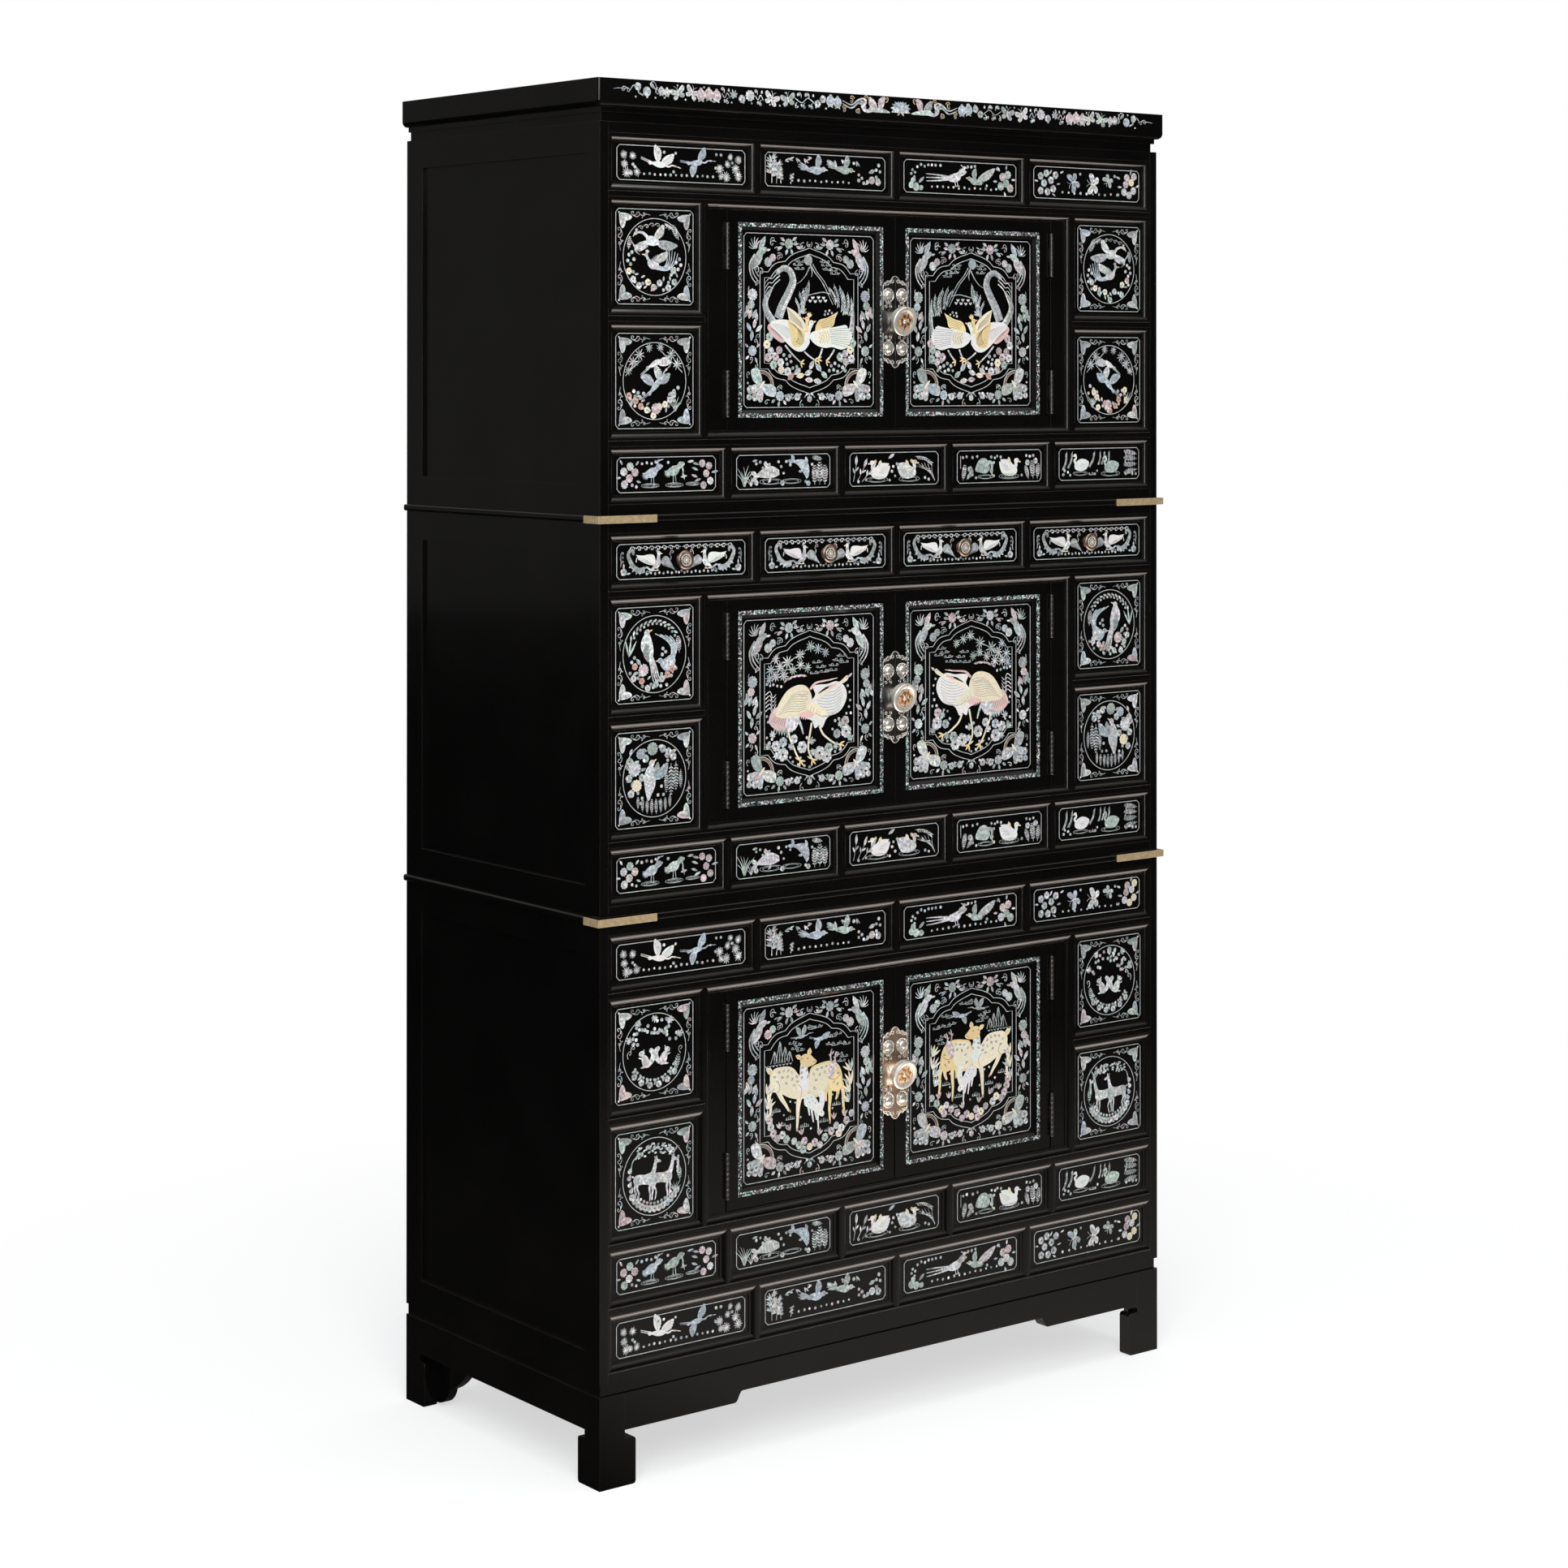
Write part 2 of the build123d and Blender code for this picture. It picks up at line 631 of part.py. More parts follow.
def lock_pull(z):
    """The right-hand half of the pull: half a barrel lying across the plate, with half of the round knob."""
    plate_face = FACE - PLATE_T
    inner = SPLIT_GAP / 2
    tilt = radians(KNOB_TILT)
    knob_front = Plane(origin=(0, FACE - KNOB_OUT, z), x_dir=(1, 0, 0), z_dir=(0, -cos(tilt), -sin(tilt)))
    with BuildPart() as pull:
        with BuildSketch(Plane.YZ.offset(inner)):
            with Locations((plate_face, z)):
                Circle(BARREL_R)
            with Locations((plate_face + BARREL_R, z)):
                Rectangle(2 * BARREL_R, 2 * BARREL_R, mode=Mode.SUBTRACT)
        extrude(amount=PLATE_W - inner)
        with BuildSketch(knob_front):
            Circle(KNOB_R)
        extrude(amount=-KNOB_T)
        cut_zs = (z - 2 * KNOB_R, z + 2 * KNOB_R)
        slab((-2 * KNOB_R, inner), (FACE - 2 * KNOB_OUT, FACE), cut_zs, Mode.SUBTRACT)
    return pull.part


for tier in TIERS:
    zone_foot, zone_head = zone(tier)
    middle_z = (zone_foot + zone_head) / 2
    lock_right = [lock_plate(middle_z), lock_pull(middle_z)]
    locks = {"right": lock_right, "left": [mirror(half, about=Plane.YZ) for half in lock_right]}
    for name, side in SIDES.items():
        door = f"door_{tier}_{name}"
        save(f"{door}_frame", [door_frame(side * DOOR_MID_X, middle_z)])
        save(f"{door}_panel", [door_panel(side * DOOR_MID_X, middle_z)])
        save(f"{door}_hinges", [hinge_leaf(side, z, True) for z in hinge_heights(tier)])
        save(f"{door}_lock", locks[name])


# ---- drawers ----
def drawer_pull(x, z):
    """A pull with a round neck and a flat round head."""
    reach = PULL_H - PULL_HEAD_T
    with BuildPart() as pull:
        with BuildSketch(Plane(origin=(x, FACE, z), x_dir=(1, 0, 0), z_dir=(0, -1, 0))):
            RegularPolygon(PULL_NECK_R, PULL_FLAT_COUNT // 2)
        extrude(amount=reach)
        with BuildSketch(Plane(origin=(x, FACE - reach, z), x_dir=(1, 0, 0), z_dir=(0, -1, 0))):
            RegularPolygon(PULL_HEAD_R, PULL_FLAT_COUNT)
        extrude(amount=PULL_HEAD_T)
    return pull.part


drawer_foot, drawer_head = next((foot, head) for kind, foot, head in row_spans("middle") if kind == "drawers")
front_w = LONG_W - 2 * RING - 2 * DRAWER_PLAY
front_foot = drawer_foot + RING + DRAWER_LIFT
front_head = drawer_head - RING - DRAWER_PLAY
for number, x in enumerate(column_middles("drawers"), start=1):
    xs = (x - front_w / 2, x + front_w / 2)
    tray_ys = (FACE_BACK, FACE_BACK + TRAY_D)
    tray_zs = (front_foot, front_foot + TRAY_H)
    save(f"drawer_{number}_front", [board(xs, (FACE, FACE_BACK), (front_foot, front_head))])
    tray = [
        board((xs[0], xs[0] + TRAY_T), tray_ys, tray_zs),
        board((xs[1] - TRAY_T, xs[1]), tray_ys, tray_zs),
        board((xs[0] + TRAY_T, xs[1] - TRAY_T), (tray_ys[1] - TRAY_T, tray_ys[1]), tray_zs),
        board(
            (xs[0] + TRAY_T, xs[1] - TRAY_T),
            (tray_ys[0], tray_ys[1] - TRAY_T),
            (front_foot, front_foot + TRAY_FLOOR_T),
        ),
    ]
    save(f"drawer_{number}_tray", tray)
    save(f"drawer_{number}_pull", [drawer_pull(x, (front_foot + front_head) / 2)])
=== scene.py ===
"""Dresses the three-tier lacquered chest: lacquer, mother-of-pearl inlay, metalwork and a plain studio."""

import json
import math
import random

import bmesh
import bpy
from mathutils import Euler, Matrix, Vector

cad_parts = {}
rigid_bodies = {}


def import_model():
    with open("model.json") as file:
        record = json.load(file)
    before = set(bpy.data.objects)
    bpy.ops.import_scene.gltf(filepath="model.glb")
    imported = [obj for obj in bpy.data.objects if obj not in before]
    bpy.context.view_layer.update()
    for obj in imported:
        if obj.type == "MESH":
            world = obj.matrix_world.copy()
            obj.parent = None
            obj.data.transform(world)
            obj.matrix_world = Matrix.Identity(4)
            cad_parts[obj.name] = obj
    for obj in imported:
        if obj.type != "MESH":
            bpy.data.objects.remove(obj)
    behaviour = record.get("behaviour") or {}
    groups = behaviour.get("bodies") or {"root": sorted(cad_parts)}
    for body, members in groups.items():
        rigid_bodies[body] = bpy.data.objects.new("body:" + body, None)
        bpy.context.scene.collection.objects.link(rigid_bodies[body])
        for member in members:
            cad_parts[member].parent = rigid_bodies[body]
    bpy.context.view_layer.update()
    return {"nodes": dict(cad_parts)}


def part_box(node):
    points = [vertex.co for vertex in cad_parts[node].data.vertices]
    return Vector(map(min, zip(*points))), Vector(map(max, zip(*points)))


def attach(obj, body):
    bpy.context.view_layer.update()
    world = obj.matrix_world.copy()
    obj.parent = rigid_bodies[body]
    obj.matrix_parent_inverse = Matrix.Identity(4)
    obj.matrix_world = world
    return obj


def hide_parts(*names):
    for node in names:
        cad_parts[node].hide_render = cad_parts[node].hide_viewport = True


bl_info = {
    "name": "Inlaid Lacquer Chest",
    "version": (1, 0, 0),
    "blender": (4, 5, 0),
    "location": "View3D > Sidebar > Chest",
    "description": "Lacquer, mother-of-pearl inlay and metalwork for a three-tier chest",
    "category": "Object",
}

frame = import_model()

MM = 0.001
WELD = 2e-7  # metres between points that a cut joins
METAL_EDGE = 0.0005  # metres, the rounding of metal arrises
CREASE = 35  # degrees, the sharpest edge that is shaded smooth

TIERS = ("bottom", "middle", "top")
SIDES = {"left": -1, "right": 1}
# kinds of panel row in each case, from the bottom up
ROWS = {
    "bottom": ("long", "short", "doors", "long"),
    "middle": ("short", "doors", "drawers"),
    "top": ("short", "doors", "long"),
}

# the grid of panels, in millimetres
ROW_HEIGHT = 68.0
SQUARE = 140.0
RIDGE = 6.5
MARGIN = 12.75
INNER_X = 438.0
FIELD_WIDTH = {"long": 2 * INNER_X / 4, "short": 2 * INNER_X / 5, "drawers": 2 * INNER_X / 4}

# the metalwork and the crown's garland, in millimetres
HINGE_LENGTH = 56.0
HINGE_RADIUS = 2.6
BALL_SINK = 3.2
PLATE_THICK = 1.5
STUD_X = 11.0
STUD_Z = 33.0
PIN_RING = 7.4
SPLIT = 0.3
BARREL = 13.4
KNOB_RADIUS = 18.4
KNOB_OUT = 21.8
KNOB_LEAN = 12.0  # degrees
GARLAND_DROP = 12.0
GARLAND_MARGIN = 18

FLOOR_RADIUS = 14.0  # metres


# ---- where things are, in millimetres ----
def box_mm(node):
    """Lowest and highest corner of a node."""
    low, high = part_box(node)
    return [value / MM for value in low], [value / MM for value in high]


FACE = box_mm("top_fixed_panels")[0][1]


def middle_of(node):
    """Middle of a node on X and Z, and its front on Y."""
    low, high = box_mm(node)
    return (low[0] + high[0]) / 2, low[1], (low[2] + high[2]) / 2


def rows_of(tier):
    """Kind and middle height of each row of a case, from the bottom up."""
    foot = box_mm(f"{tier}_side_frames")[0][2] + MARGIN
    found = []
    for kind in ROWS[tier]:
        height = 2 * SQUARE + RIDGE if kind == "doors" else ROW_HEIGHT
        found.append((kind, foot + height / 2))
        foot += height + RIDGE
    return found


def fields_of(kind, middle):
    """Middles on X and Z of the panels in a row."""
    if kind == "doors":
        step = (SQUARE + RIDGE) / 2
        x = INNER_X - SQUARE / 2
        return [(side * x, middle + up * step) for up in (1, -1) for side in (-1, 1)]
    width = FIELD_WIDTH[kind]
    count = round(2 * INNER_X / width)
    return [(width * (i + 0.5) - INNER_X, middle) for i in range(count)]


# ---- meshes ----
class Work:
    """Collects the mesh of one piece, in metres, with a material slot and a tint for each face."""

    def __init__(self):
        self.points = []
        self.faces = []
        self.slots = []
        self.tints = []
        self.smooth = []

    def add(self, points, faces, slot=0, tint=(1, 1, 1, 1), smooth=False):
        start = len(self.points)
        self.points += points
        for face in faces:
            self.faces.append([start + index for index in face])
            self.slots.append(slot)
            self.tints.append(tint)
            self.smooth.append(smooth)

    def plate(self, place, outline, low, high, slot=0, tint=(1, 1, 1, 1)):
        """A flat plate: an outline in the place's own plane, from low to high above it."""
        count = len(outline)
        points = [place(u, v, high) for u, v in outline] + [place(u, v, low) for u, v in outline]
        faces = [list(range(count)), list(range(2 * count - 1, count - 1, -1))]
        for i in range(count):
            after = (i + 1) % count
            faces.append([i, i + count, after + count, after])
        self.add(points, faces, slot, tint)

    def lathe(self, place, profile, steps, slot=0):
        """A turned form about the place's outward axis: the profile gives radius and height."""
        points, faces = [], []
        size = len(profile)
        for step in range(steps):
            angle = 2 * math.pi * step / steps
            points += [place(r * math.cos(angle), r * math.sin(angle), h) for r, h in profile]
            here, after = step * size, (step + 1) % steps * size
            for i in range(size - 1):
                faces.append([here + i, after + i, after + i + 1, here + i + 1])
        self.add(points, faces, slot, smooth=True)

    def bar(self, place, section, start, end, slot=0):
        """A straight bar: a closed section in the V-W plane, from start to end along U."""
        count = len(section)
        points = [place(start, v, w) for v, w in section] + [place(end, v, w) for v, w in section]
        sides = [[i, (i + 1) % count, (i + 1) % count + count, i + count] for i in range(count)]
        self.add(points, sides, slot, smooth=True)
        self.add(points, [list(range(count))[::-1], list(range(count, 2 * count))], slot)

    def done(self, name, body, materials, replaced=()):
        """Makes the object, and has it ride on its body."""
        mesh = bpy.data.meshes.new(name)
        mesh.from_pydata(self.points, [], self.faces)
        for material in materials:
            mesh.materials.append(material)
        tint = mesh.color_attributes.new("Shell", "FLOAT_COLOR", "CORNER")
        colours = []
        for polygon, slot, colour, smooth in zip(mesh.polygons, self.slots, self.tints, self.smooth):
            polygon.material_index = slot
            polygon.use_smooth = smooth
            colours += list(colour) * polygon.loop_total
        tint.data.foreach_set("color", colours)
        if any(self.smooth):
            mesh.set_sharp_from_angle(angle=math.radians(CREASE))
        mesh.validate()
        made = bpy.data.objects.new(name, mesh)
        bpy.context.scene.collection.objects.link(made)
        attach(made, body)
        if replaced:
            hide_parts(*replaced)
        return made


def facing(x, y, z):
    """A place on an upright face that looks to -Y: u to the right, v up, w out of the face."""
    return lambda u, v, w: ((x + u) * MM, (y - w) * MM, (z + v) * MM)


def tipped(x, y, z, tilt):
    """A place like facing, leaned forward at the top by the tilt, in degrees."""
    turn = Euler((math.radians(tilt), 0, 0)).to_matrix()

    def place(u, v, w):
        spot = turn @ Vector((u, -w, v))
        return (x + spot.x) * MM, (y + spot.y) * MM, (z + spot.z) * MM

    return place


# ---- flat drawing ----
TONES = {
    "pearl": ((0.80, 0.83, 0.81), 0.16, 1.0),
    "mist": ((0.50, 0.56, 0.54), 0.16, 1.0),
    "line": ((0.62, 0.66, 0.64), 0.04, 0.6),
    "leaf": ((0.56, 0.68, 0.61), 0.22, 1.0),
    "sea": ((0.58, 0.67, 0.71), 0.20, 1.0),
    "rose": ((0.76, 0.66, 0.65), 0.20, 1.0),
    "white": ((0.88, 0.88, 0.84), 0.04, 0.15),
    "blush": ((0.80, 0.56, 0.52), 0.10, 0.15),
    "gold": ((0.90, 0.70, 0.36), 0.08, 0.12),
    "cream": ((0.92, 0.83, 0.62), 0.06, 0.15),
    "coral": ((0.66, 0.40, 0.32), 0.18, 0.4),
    "ink": ((0.010, 0.010, 0.012), 0.0, 0.0),
}
FIELD_TONES = ("pearl", "pearl", "mist", "mist", "leaf", "sea", "rose")
SHELL_LOW = -0.10
SHELL_HIGH = 0.10
SHELL_STEP = 0.005


def curve_through(points, closed=False, steps=4):
    """A smooth line through the given points."""
    count = len(points)
    if count < 3:
        return list(points)
    spans = count if closed else count - 1
    out = []
    for i in range(spans):
        if closed:
            a, b, c, d = (points[(i + k) % count] for k in (-1, 0, 1, 2))
        else:
            a, b, c, d = (points[min(max(i + k, 0), count - 1)] for k in (-1, 0, 1, 2))
        for step in range(steps):
            t = step / steps
            out.append(
                tuple(
                    0.5 * (2 * q + (r - p) * t + (2 * p - 5 * q + 4 * r - s) * t * t + (3 * q - p - 3 * r + s) * t**3)
                    for p, q, r, s in zip(a, b, c, d)
                )
            )
    if not closed:
        out.append(tuple(points[-1]))
    return out


class Pen:
    """Draws flat shell pieces in a panel's own millimetres, with u to the right and v up."""

    def __init__(self, seed=0):
        self.shapes = []
        self.chance = random.Random(seed)
        self.turned = (1.0, 0.0, 0.0, 1.0, 0.0, 0.0)
        self.tones = FIELD_TONES

    def at(self, u, v, turn=0.0, size=1.0, flip=False):
        """A pen for the same sheet with its own origin, turn in degrees, size and mirror."""
        made = Pen.__new__(Pen)
        made.shapes, made.chance, made.tones = self.shapes, self.chance, self.tones
        c, s = math.cos(math.radians(turn)) * size, math.sin(math.radians(turn)) * size
        hand = -1 if flip else 1
        a, b, d, e, x, y = self.turned
        made.turned = (
            a * c * hand + b * s * hand,
            b * c - a * s,
            d * c * hand + e * s * hand,
            e * c - d * s,
            a * u + b * v + x,
            d * u + e * v + y,
        )
        return made

    def tone(self, name=None):
        """A tint of the named tone and how strongly its painted sheen flickers, a little different each time.

        Without a name it is any of the shell tones.
        """
        colour, spread, flicker = TONES[name or self.chance.choice(self.tones)]
        level = 1 + self.chance.uniform(-spread, spread)
        return (*(value * level * (1 + self.chance.uniform(-0.04, 0.04)) for value in colour), flicker)

    def fill(self, points, tone=None):
        """One flat piece with the given outline."""
        a, b, d, e, x, y = self.turned
        outline = [(a * u + b * v + x, d * u + e * v + y) for u, v in points]
        area = sum(p[0] * q[1] - q[0] * p[1] for p, q in zip(outline, outline[1:] + outline[:1]))
        if abs(area) < 1e-3:
            return
        if area < 0:
            outline.reverse()
        self.shapes.append((outline, tone == "ink", self.tone(tone)))

    def blob(self, points, tone=None, steps=3):
        """A rounded piece through the given points."""
        self.fill(curve_through(points, True, steps), tone)

    def line(self, points, width=0.7, tone=None, end=None, closed=False):
        """A strip along a line; it tapers to the end width if one is given."""
        count = len(points)
        last = width if end is None else end
        left, right = [], []
        for i, (u, v) in enumerate(points):
            before = points[i - 1] if i or closed else points[i]
            after = points[(i + 1) % count] if i < count - 1 or closed else points[i]
            du, dv = after[0] - before[0], after[1] - before[1]
            length = math.hypot(du, dv) or 1.0
            half = (width + (last - width) * i / max(count - 1, 1)) / 2
            left.append((u - dv / length * half, v + du / length * half))
            right.append((u + dv / length * half, v - du / length * half))
        if not closed:
            self.fill(left + right[::-1], tone)
            return
        for i in range(count):
            j = (i + 1) % count
            self.fill([left[i], left[j], right[j], right[i]], tone)

    def curve(self, points, width=0.7, tone=None, end=None, steps=3):
        """A strip along a smooth line through the given points."""
        self.line(curve_through(points, steps=steps), width, tone, end)

    def lay(self, work, place):
        """Lays the pieces into a work as thin plates, each a hair above those it crosses.

        Shell goes in slot 0 and engraved lines in slot 1.
        """
        laid = []
        for outline, inked, tint in self.shapes:
            us, vs = [u for u, _ in outline], [v for _, v in outline]
            left, right, low, high = min(us), max(us), min(vs), max(vs)
            under = [box[4] for box in laid if box[0] < right and box[1] > left and box[2] < high and box[3] > low]
            level = max(under, default=0) + 1
            laid.append((left, right, low, high, level))
            work.plate(place, outline, SHELL_LOW, SHELL_HIGH + level * SHELL_STEP, int(inked), tint)


# ---- materials ----
class Graph:
    """The node tree of a material or a world being put together."""

    def __init__(self, name, kind="materials"):
        self.owner = getattr(bpy.data, kind).new(name)
        self.owner.use_nodes = True
        self.tree = self.owner.node_tree
        self.tree.nodes.clear()
        self.spot = self.add("ShaderNodeTexCoord").outputs["Object" if kind == "materials" else "Generated"]

    def add(self, kind, inputs=None, **settings):
        node = self.tree.nodes.new(kind)
        for key, value in settings.items():
            setattr(node, key, value)
        for key, value in (inputs or {}).items():
            socket = node.inputs[key]
            if isinstance(value, bpy.types.NodeSocket):
                self.tree.links.new(value, socket)
            else:
                socket.default_value = value
        return node

    def noise(self, scale, detail=3.0, roughness=0.5, spot=None, colour=False):
        settings = {"Vector": spot or self.spot, "Scale": scale, "Detail": detail, "Roughness": roughness}
        return self.add("ShaderNodeTexNoise", settings).outputs["Color" if colour else "Fac"]

    def ramp(self, value, *stops):
        node = self.add("ShaderNodeValToRGB", {"Fac": value})
        marks = node.color_ramp.elements
        while len(marks) < len(stops):
            marks.new(0.5)
        for mark, (position, colour) in zip(marks, stops):
            mark.position = position
            mark.color = (*colour, 1) if len(colour) == 3 else (colour[0],) * 3 + (1,)
        return node.outputs["Color"]

    def mix(self, share, first, second, mode="MIX"):
        inputs = {0: share, 6: first, 7: second}
        return self.add("ShaderNodeMix", inputs, data_type="RGBA", blend_type=mode).outputs[2]

    def scale(self, value, low, high, start=0.0, end=1.0):
        """The value spread from low to high as it goes from start to end."""
        inputs = {"Value": value, "From Min": start, "From Max": end, "To Min": low, "To Max": high}
        return self.add("ShaderNodeMapRange", inputs).outputs["Result"]

    def bump(self, height, strength, distance, normal=None):
        inputs = {"Height": height, "Strength": strength, "Distance": distance}
        if normal:
            inputs["Normal"] = normal
        return self.add("ShaderNodeBump", inputs).outputs["Normal"]

    def rounded(self, radius):
        return self.add("ShaderNodeBevel", {"Radius": radius}, samples=4).outputs["Normal"]

    def worn(self, radius):
        """A mask that is bright along convex and concave arrises."""
        shape = self.add("ShaderNodeNewGeometry").outputs["Normal"]
        dot = self.add("ShaderNodeVectorMath", {0: self.rounded(radius), 1: shape}, operation="DOT_PRODUCT")
        return self.ramp(dot.outputs["Value"], (0.80, (1.0,)), (0.99, (0.0,)))

    def finish(self, inputs):
        shader = self.add("ShaderNodeBsdfPrincipled", inputs)
        self.add("ShaderNodeOutputMaterial", {"Surface": shader.outputs["BSDF"]})
        return self.owner


def rgba(colour):
    return (colour[0], colour[1], colour[2], 1.0)


def make_lacquer(name, colour, gloss):
    """Polished black lacquer: faint brown clouds, a slight wave in its gloss and rubbed arrises."""
    graph = Graph(name)
    clouds = graph.ramp(graph.noise(9.0, 5.0, 0.6), (0.35, colour), (0.75, tuple(value * 1.9 for value in colour)))
    rubbed = graph.mix(graph.worn(0.0007), clouds, (0.030, 0.022, 0.016, 1.0))
    dust = graph.ramp(graph.noise(900.0, 2.0), (0.62, (0.0,)), (0.80, (1.0,)))
    base = graph.mix(graph.scale(dust, 0.0, 0.12), rubbed, (0.05, 0.045, 0.04, 1.0))
    wave = graph.noise(26.0, 2.0, 0.4)
    return graph.finish(
        {
            "Base Color": base,
            "Roughness": graph.scale(graph.noise(14.0, 4.0), gloss, gloss + 0.10),
            "Normal": graph.bump(wave, 0.12, 0.001, graph.rounded(0.0006)),
            "Specular IOR Level": 0.5,
            "Coat Weight": 0.35,
            "Coat Roughness": 0.05,
        }
    )


def shell_sheen(graph, scale):
    """Pink, green and blue that drift and flicker over silver, as in cut shell."""
    warp = graph.mix(0.3, graph.spot, graph.noise(scale * 0.5, 2.0, colour=True))
    return graph.ramp(
        graph.noise(scale, 3.0, 0.6, spot=warp),
        (0.28, (0.46, 0.90, 0.72)),
        (0.38, (0.90, 0.98, 0.94)),
        (0.46, (1.0, 0.74, 0.80)),
        (0.53, (1.0, 1.0, 0.96)),
        (0.62, (0.74, 0.92, 1.0)),
        (0.74, (0.62, 0.62, 0.98)),
    )


def make_shell(name):
    """Cut mother-of-pearl, tinted piece by piece, with growth lines and a painted sheen: dull spots and bright flashes
    painted into its colour.

    The alpha of the tint says how much of this each piece shows.
    """
    graph = Graph(name)
    tint = graph.add("ShaderNodeVertexColor", layer_name="Shell").outputs
    sheen = graph.mix(0.5, shell_sheen(graph, 120.0), shell_sheen(graph, 420.0), "MULTIPLY")
    growth = graph.add(
        "ShaderNodeTexWave",
        {"Vector": graph.spot, "Scale": 190.0, "Distortion": 11.0, "Detail": 2.0, "Detail Scale": 0.6},
        wave_type="BANDS",
        bands_direction="DIAGONAL",
    ).outputs["Fac"]
    lines = graph.mix(graph.scale(growth, 0.0, 0.40), (1, 1, 1, 1), (0.50, 0.53, 0.55, 1))
    # painted sheen: duller and brighter spots in the colour stand in for the light the shell flashes back
    painted_flashes = graph.ramp(graph.noise(260.0, 3.0, 0.65), (0.34, (0.55,)), (0.52, (0.95,)), (0.66, (1.50,)))
    lively = graph.mix(1.0, graph.mix(1.0, sheen, lines, "MULTIPLY"), painted_flashes, "MULTIPLY")
    calm = graph.mix(0.35, (0.97, 0.97, 0.97, 1), shell_sheen(graph, 60.0), "MULTIPLY")
    play = graph.mix(tint["Alpha"], calm, lively)
    return graph.finish(
        {
            "Base Color": graph.mix(1.0, tint["Color"], play, "MULTIPLY"),
            "Metallic": 0.10,
            "Roughness": graph.scale(growth, 0.22, 0.42),
            "Specular IOR Level": 0.6,
            "Normal": graph.bump(growth, 0.10, 0.0004),
            "Thin Film Thickness": 420.0,
            "Thin Film IOR": 1.55,
        }
    )


def make_glitter(name, grain):
    """Crushed shell set edge to edge: every chip has its own colour and slope, and a painted glint in its brightness.
    """
    graph = Graph(name)
    chips = graph.add("ShaderNodeTexVoronoi", {"Vector": graph.spot, "Scale": 1 / grain, "Randomness": 1.0})
    parts = graph.add("ShaderNodeSeparateColor", {"Color": chips.outputs["Color"]}).outputs
    # painted glints: most chips dark and a few at full brightness, standing in for the light each chip catches; the hue
    # below is the shell's own
    level = graph.ramp(parts["Red"], (0.20, (0.02,)), (0.62, (0.15,)), (0.84, (1.0,)))
    hue = graph.ramp(
        parts["Green"],
        (0.10, (0.45, 0.95, 0.75)),
        (0.35, (1.0, 1.0, 0.92)),
        (0.60, (0.78, 0.90, 1.0)),
        (0.85, (1.0, 0.62, 0.76)),
    )
    seams = graph.ramp(chips.outputs["Distance"], (0.55, (1.0,)), (0.85, (0.25,)))
    return graph.finish(
        {
            "Base Color": graph.mix(1.0, graph.mix(1.0, level, hue, "MULTIPLY"), seams, "MULTIPLY"),
            "Metallic": 0.2,
            "Roughness": graph.scale(parts["Blue"], 0.15, 0.5),
            "Normal": graph.bump(parts["Blue"], 0.5, 0.0004),
        }
    )


def make_ink(name):
    """The dark lines engraved across shell."""
    graph = Graph(name)
    grey = graph.ramp(graph.noise(500.0), (0.3, (0.006, 0.006, 0.007)), (0.7, (0.030, 0.028, 0.026)))
    return graph.finish({"Base Color": grey, "Roughness": 0.35})


def make_metal(name, colour, dark, roughness, patina, scale, metallic=1.0):
    """Old polished metal: tarnish in clouds, fine scratches and brighter arrises."""
    graph = Graph(name)
    clouds = graph.noise(scale, 5.0, 0.62)
    tarnish = graph.ramp(clouds, (0.5 - patina * 0.3, (0.0,)), (0.5 + patina * 0.3, (1.0,)))
    tone = graph.mix(tarnish, rgba(dark), rgba(colour))
    bright = graph.mix(graph.worn(METAL_EDGE), tone, rgba([min(1.0, value * 1.35 + 0.04) for value in colour]))
    stretch = graph.add("ShaderNodeMapping", {"Vector": graph.spot, "Scale": (900.0, 900.0, 120.0)})
    scratches = graph.noise(1.0, 2.0, spot=stretch.outputs["Vector"])
    rough = graph.mix(tarnish, (roughness + 0.18,) * 3 + (1,), (roughness,) * 3 + (1,))
    return graph.finish(
        {
            "Base Color": bright,
            "Metallic": metallic,
            "Roughness": rough,
            "Normal": graph.bump(scratches, 0.10, 0.0002, graph.rounded(METAL_EDGE)),
        }
    )


def make_wood(name):
    """Plain pale wood of the drawer boxes, with its grain running front to back."""
    graph = Graph(name)
    stretch = graph.add("ShaderNodeMapping", {"Vector": graph.spot, "Scale": (60.0, 3.0, 60.0)})
    grain = graph.noise(1.6, 6.0, 0.6, spot=stretch.outputs["Vector"])
    tone = graph.ramp(grain, (0.30, (0.30, 0.17, 0.08)), (0.55, (0.46, 0.30, 0.16)), (0.75, (0.56, 0.40, 0.24)))
    return graph.finish({"Base Color": tone, "Roughness": 0.62, "Normal": graph.bump(grain, 0.2, 0.0006)})


# ---- borders and frames of thin shell line ----
def box_outline(width, height, cut):
    """A box with small cut corners, about its own middle."""
    w, h = width / 2, height / 2
    quarter = [(w - cut, -h), (w, -h + cut), (w, h - cut), (w - cut, h)]
    return quarter + [(-u, v) for u, v in quarter[::-1]]


def ring_outline(radius, steps=56):
    angles = [2 * math.pi * i / steps for i in range(steps)]
    return [(radius * math.cos(angle), radius * math.sin(angle)) for angle in angles]


def line_box(pen, width, height, cut, thick):
    pen.line(box_outline(width, height, cut), thick, "line", closed=True)


# half width, height of the shoulders, outer end of the lobe, cusp of lobe and arch, top of the arch
CARTOUCHES = ((76.5, 59.0, 64.0, (37.5, 72.5), 89.5), (69.7, 52.0, 60.3, (34.5, 66.5), 82.0))


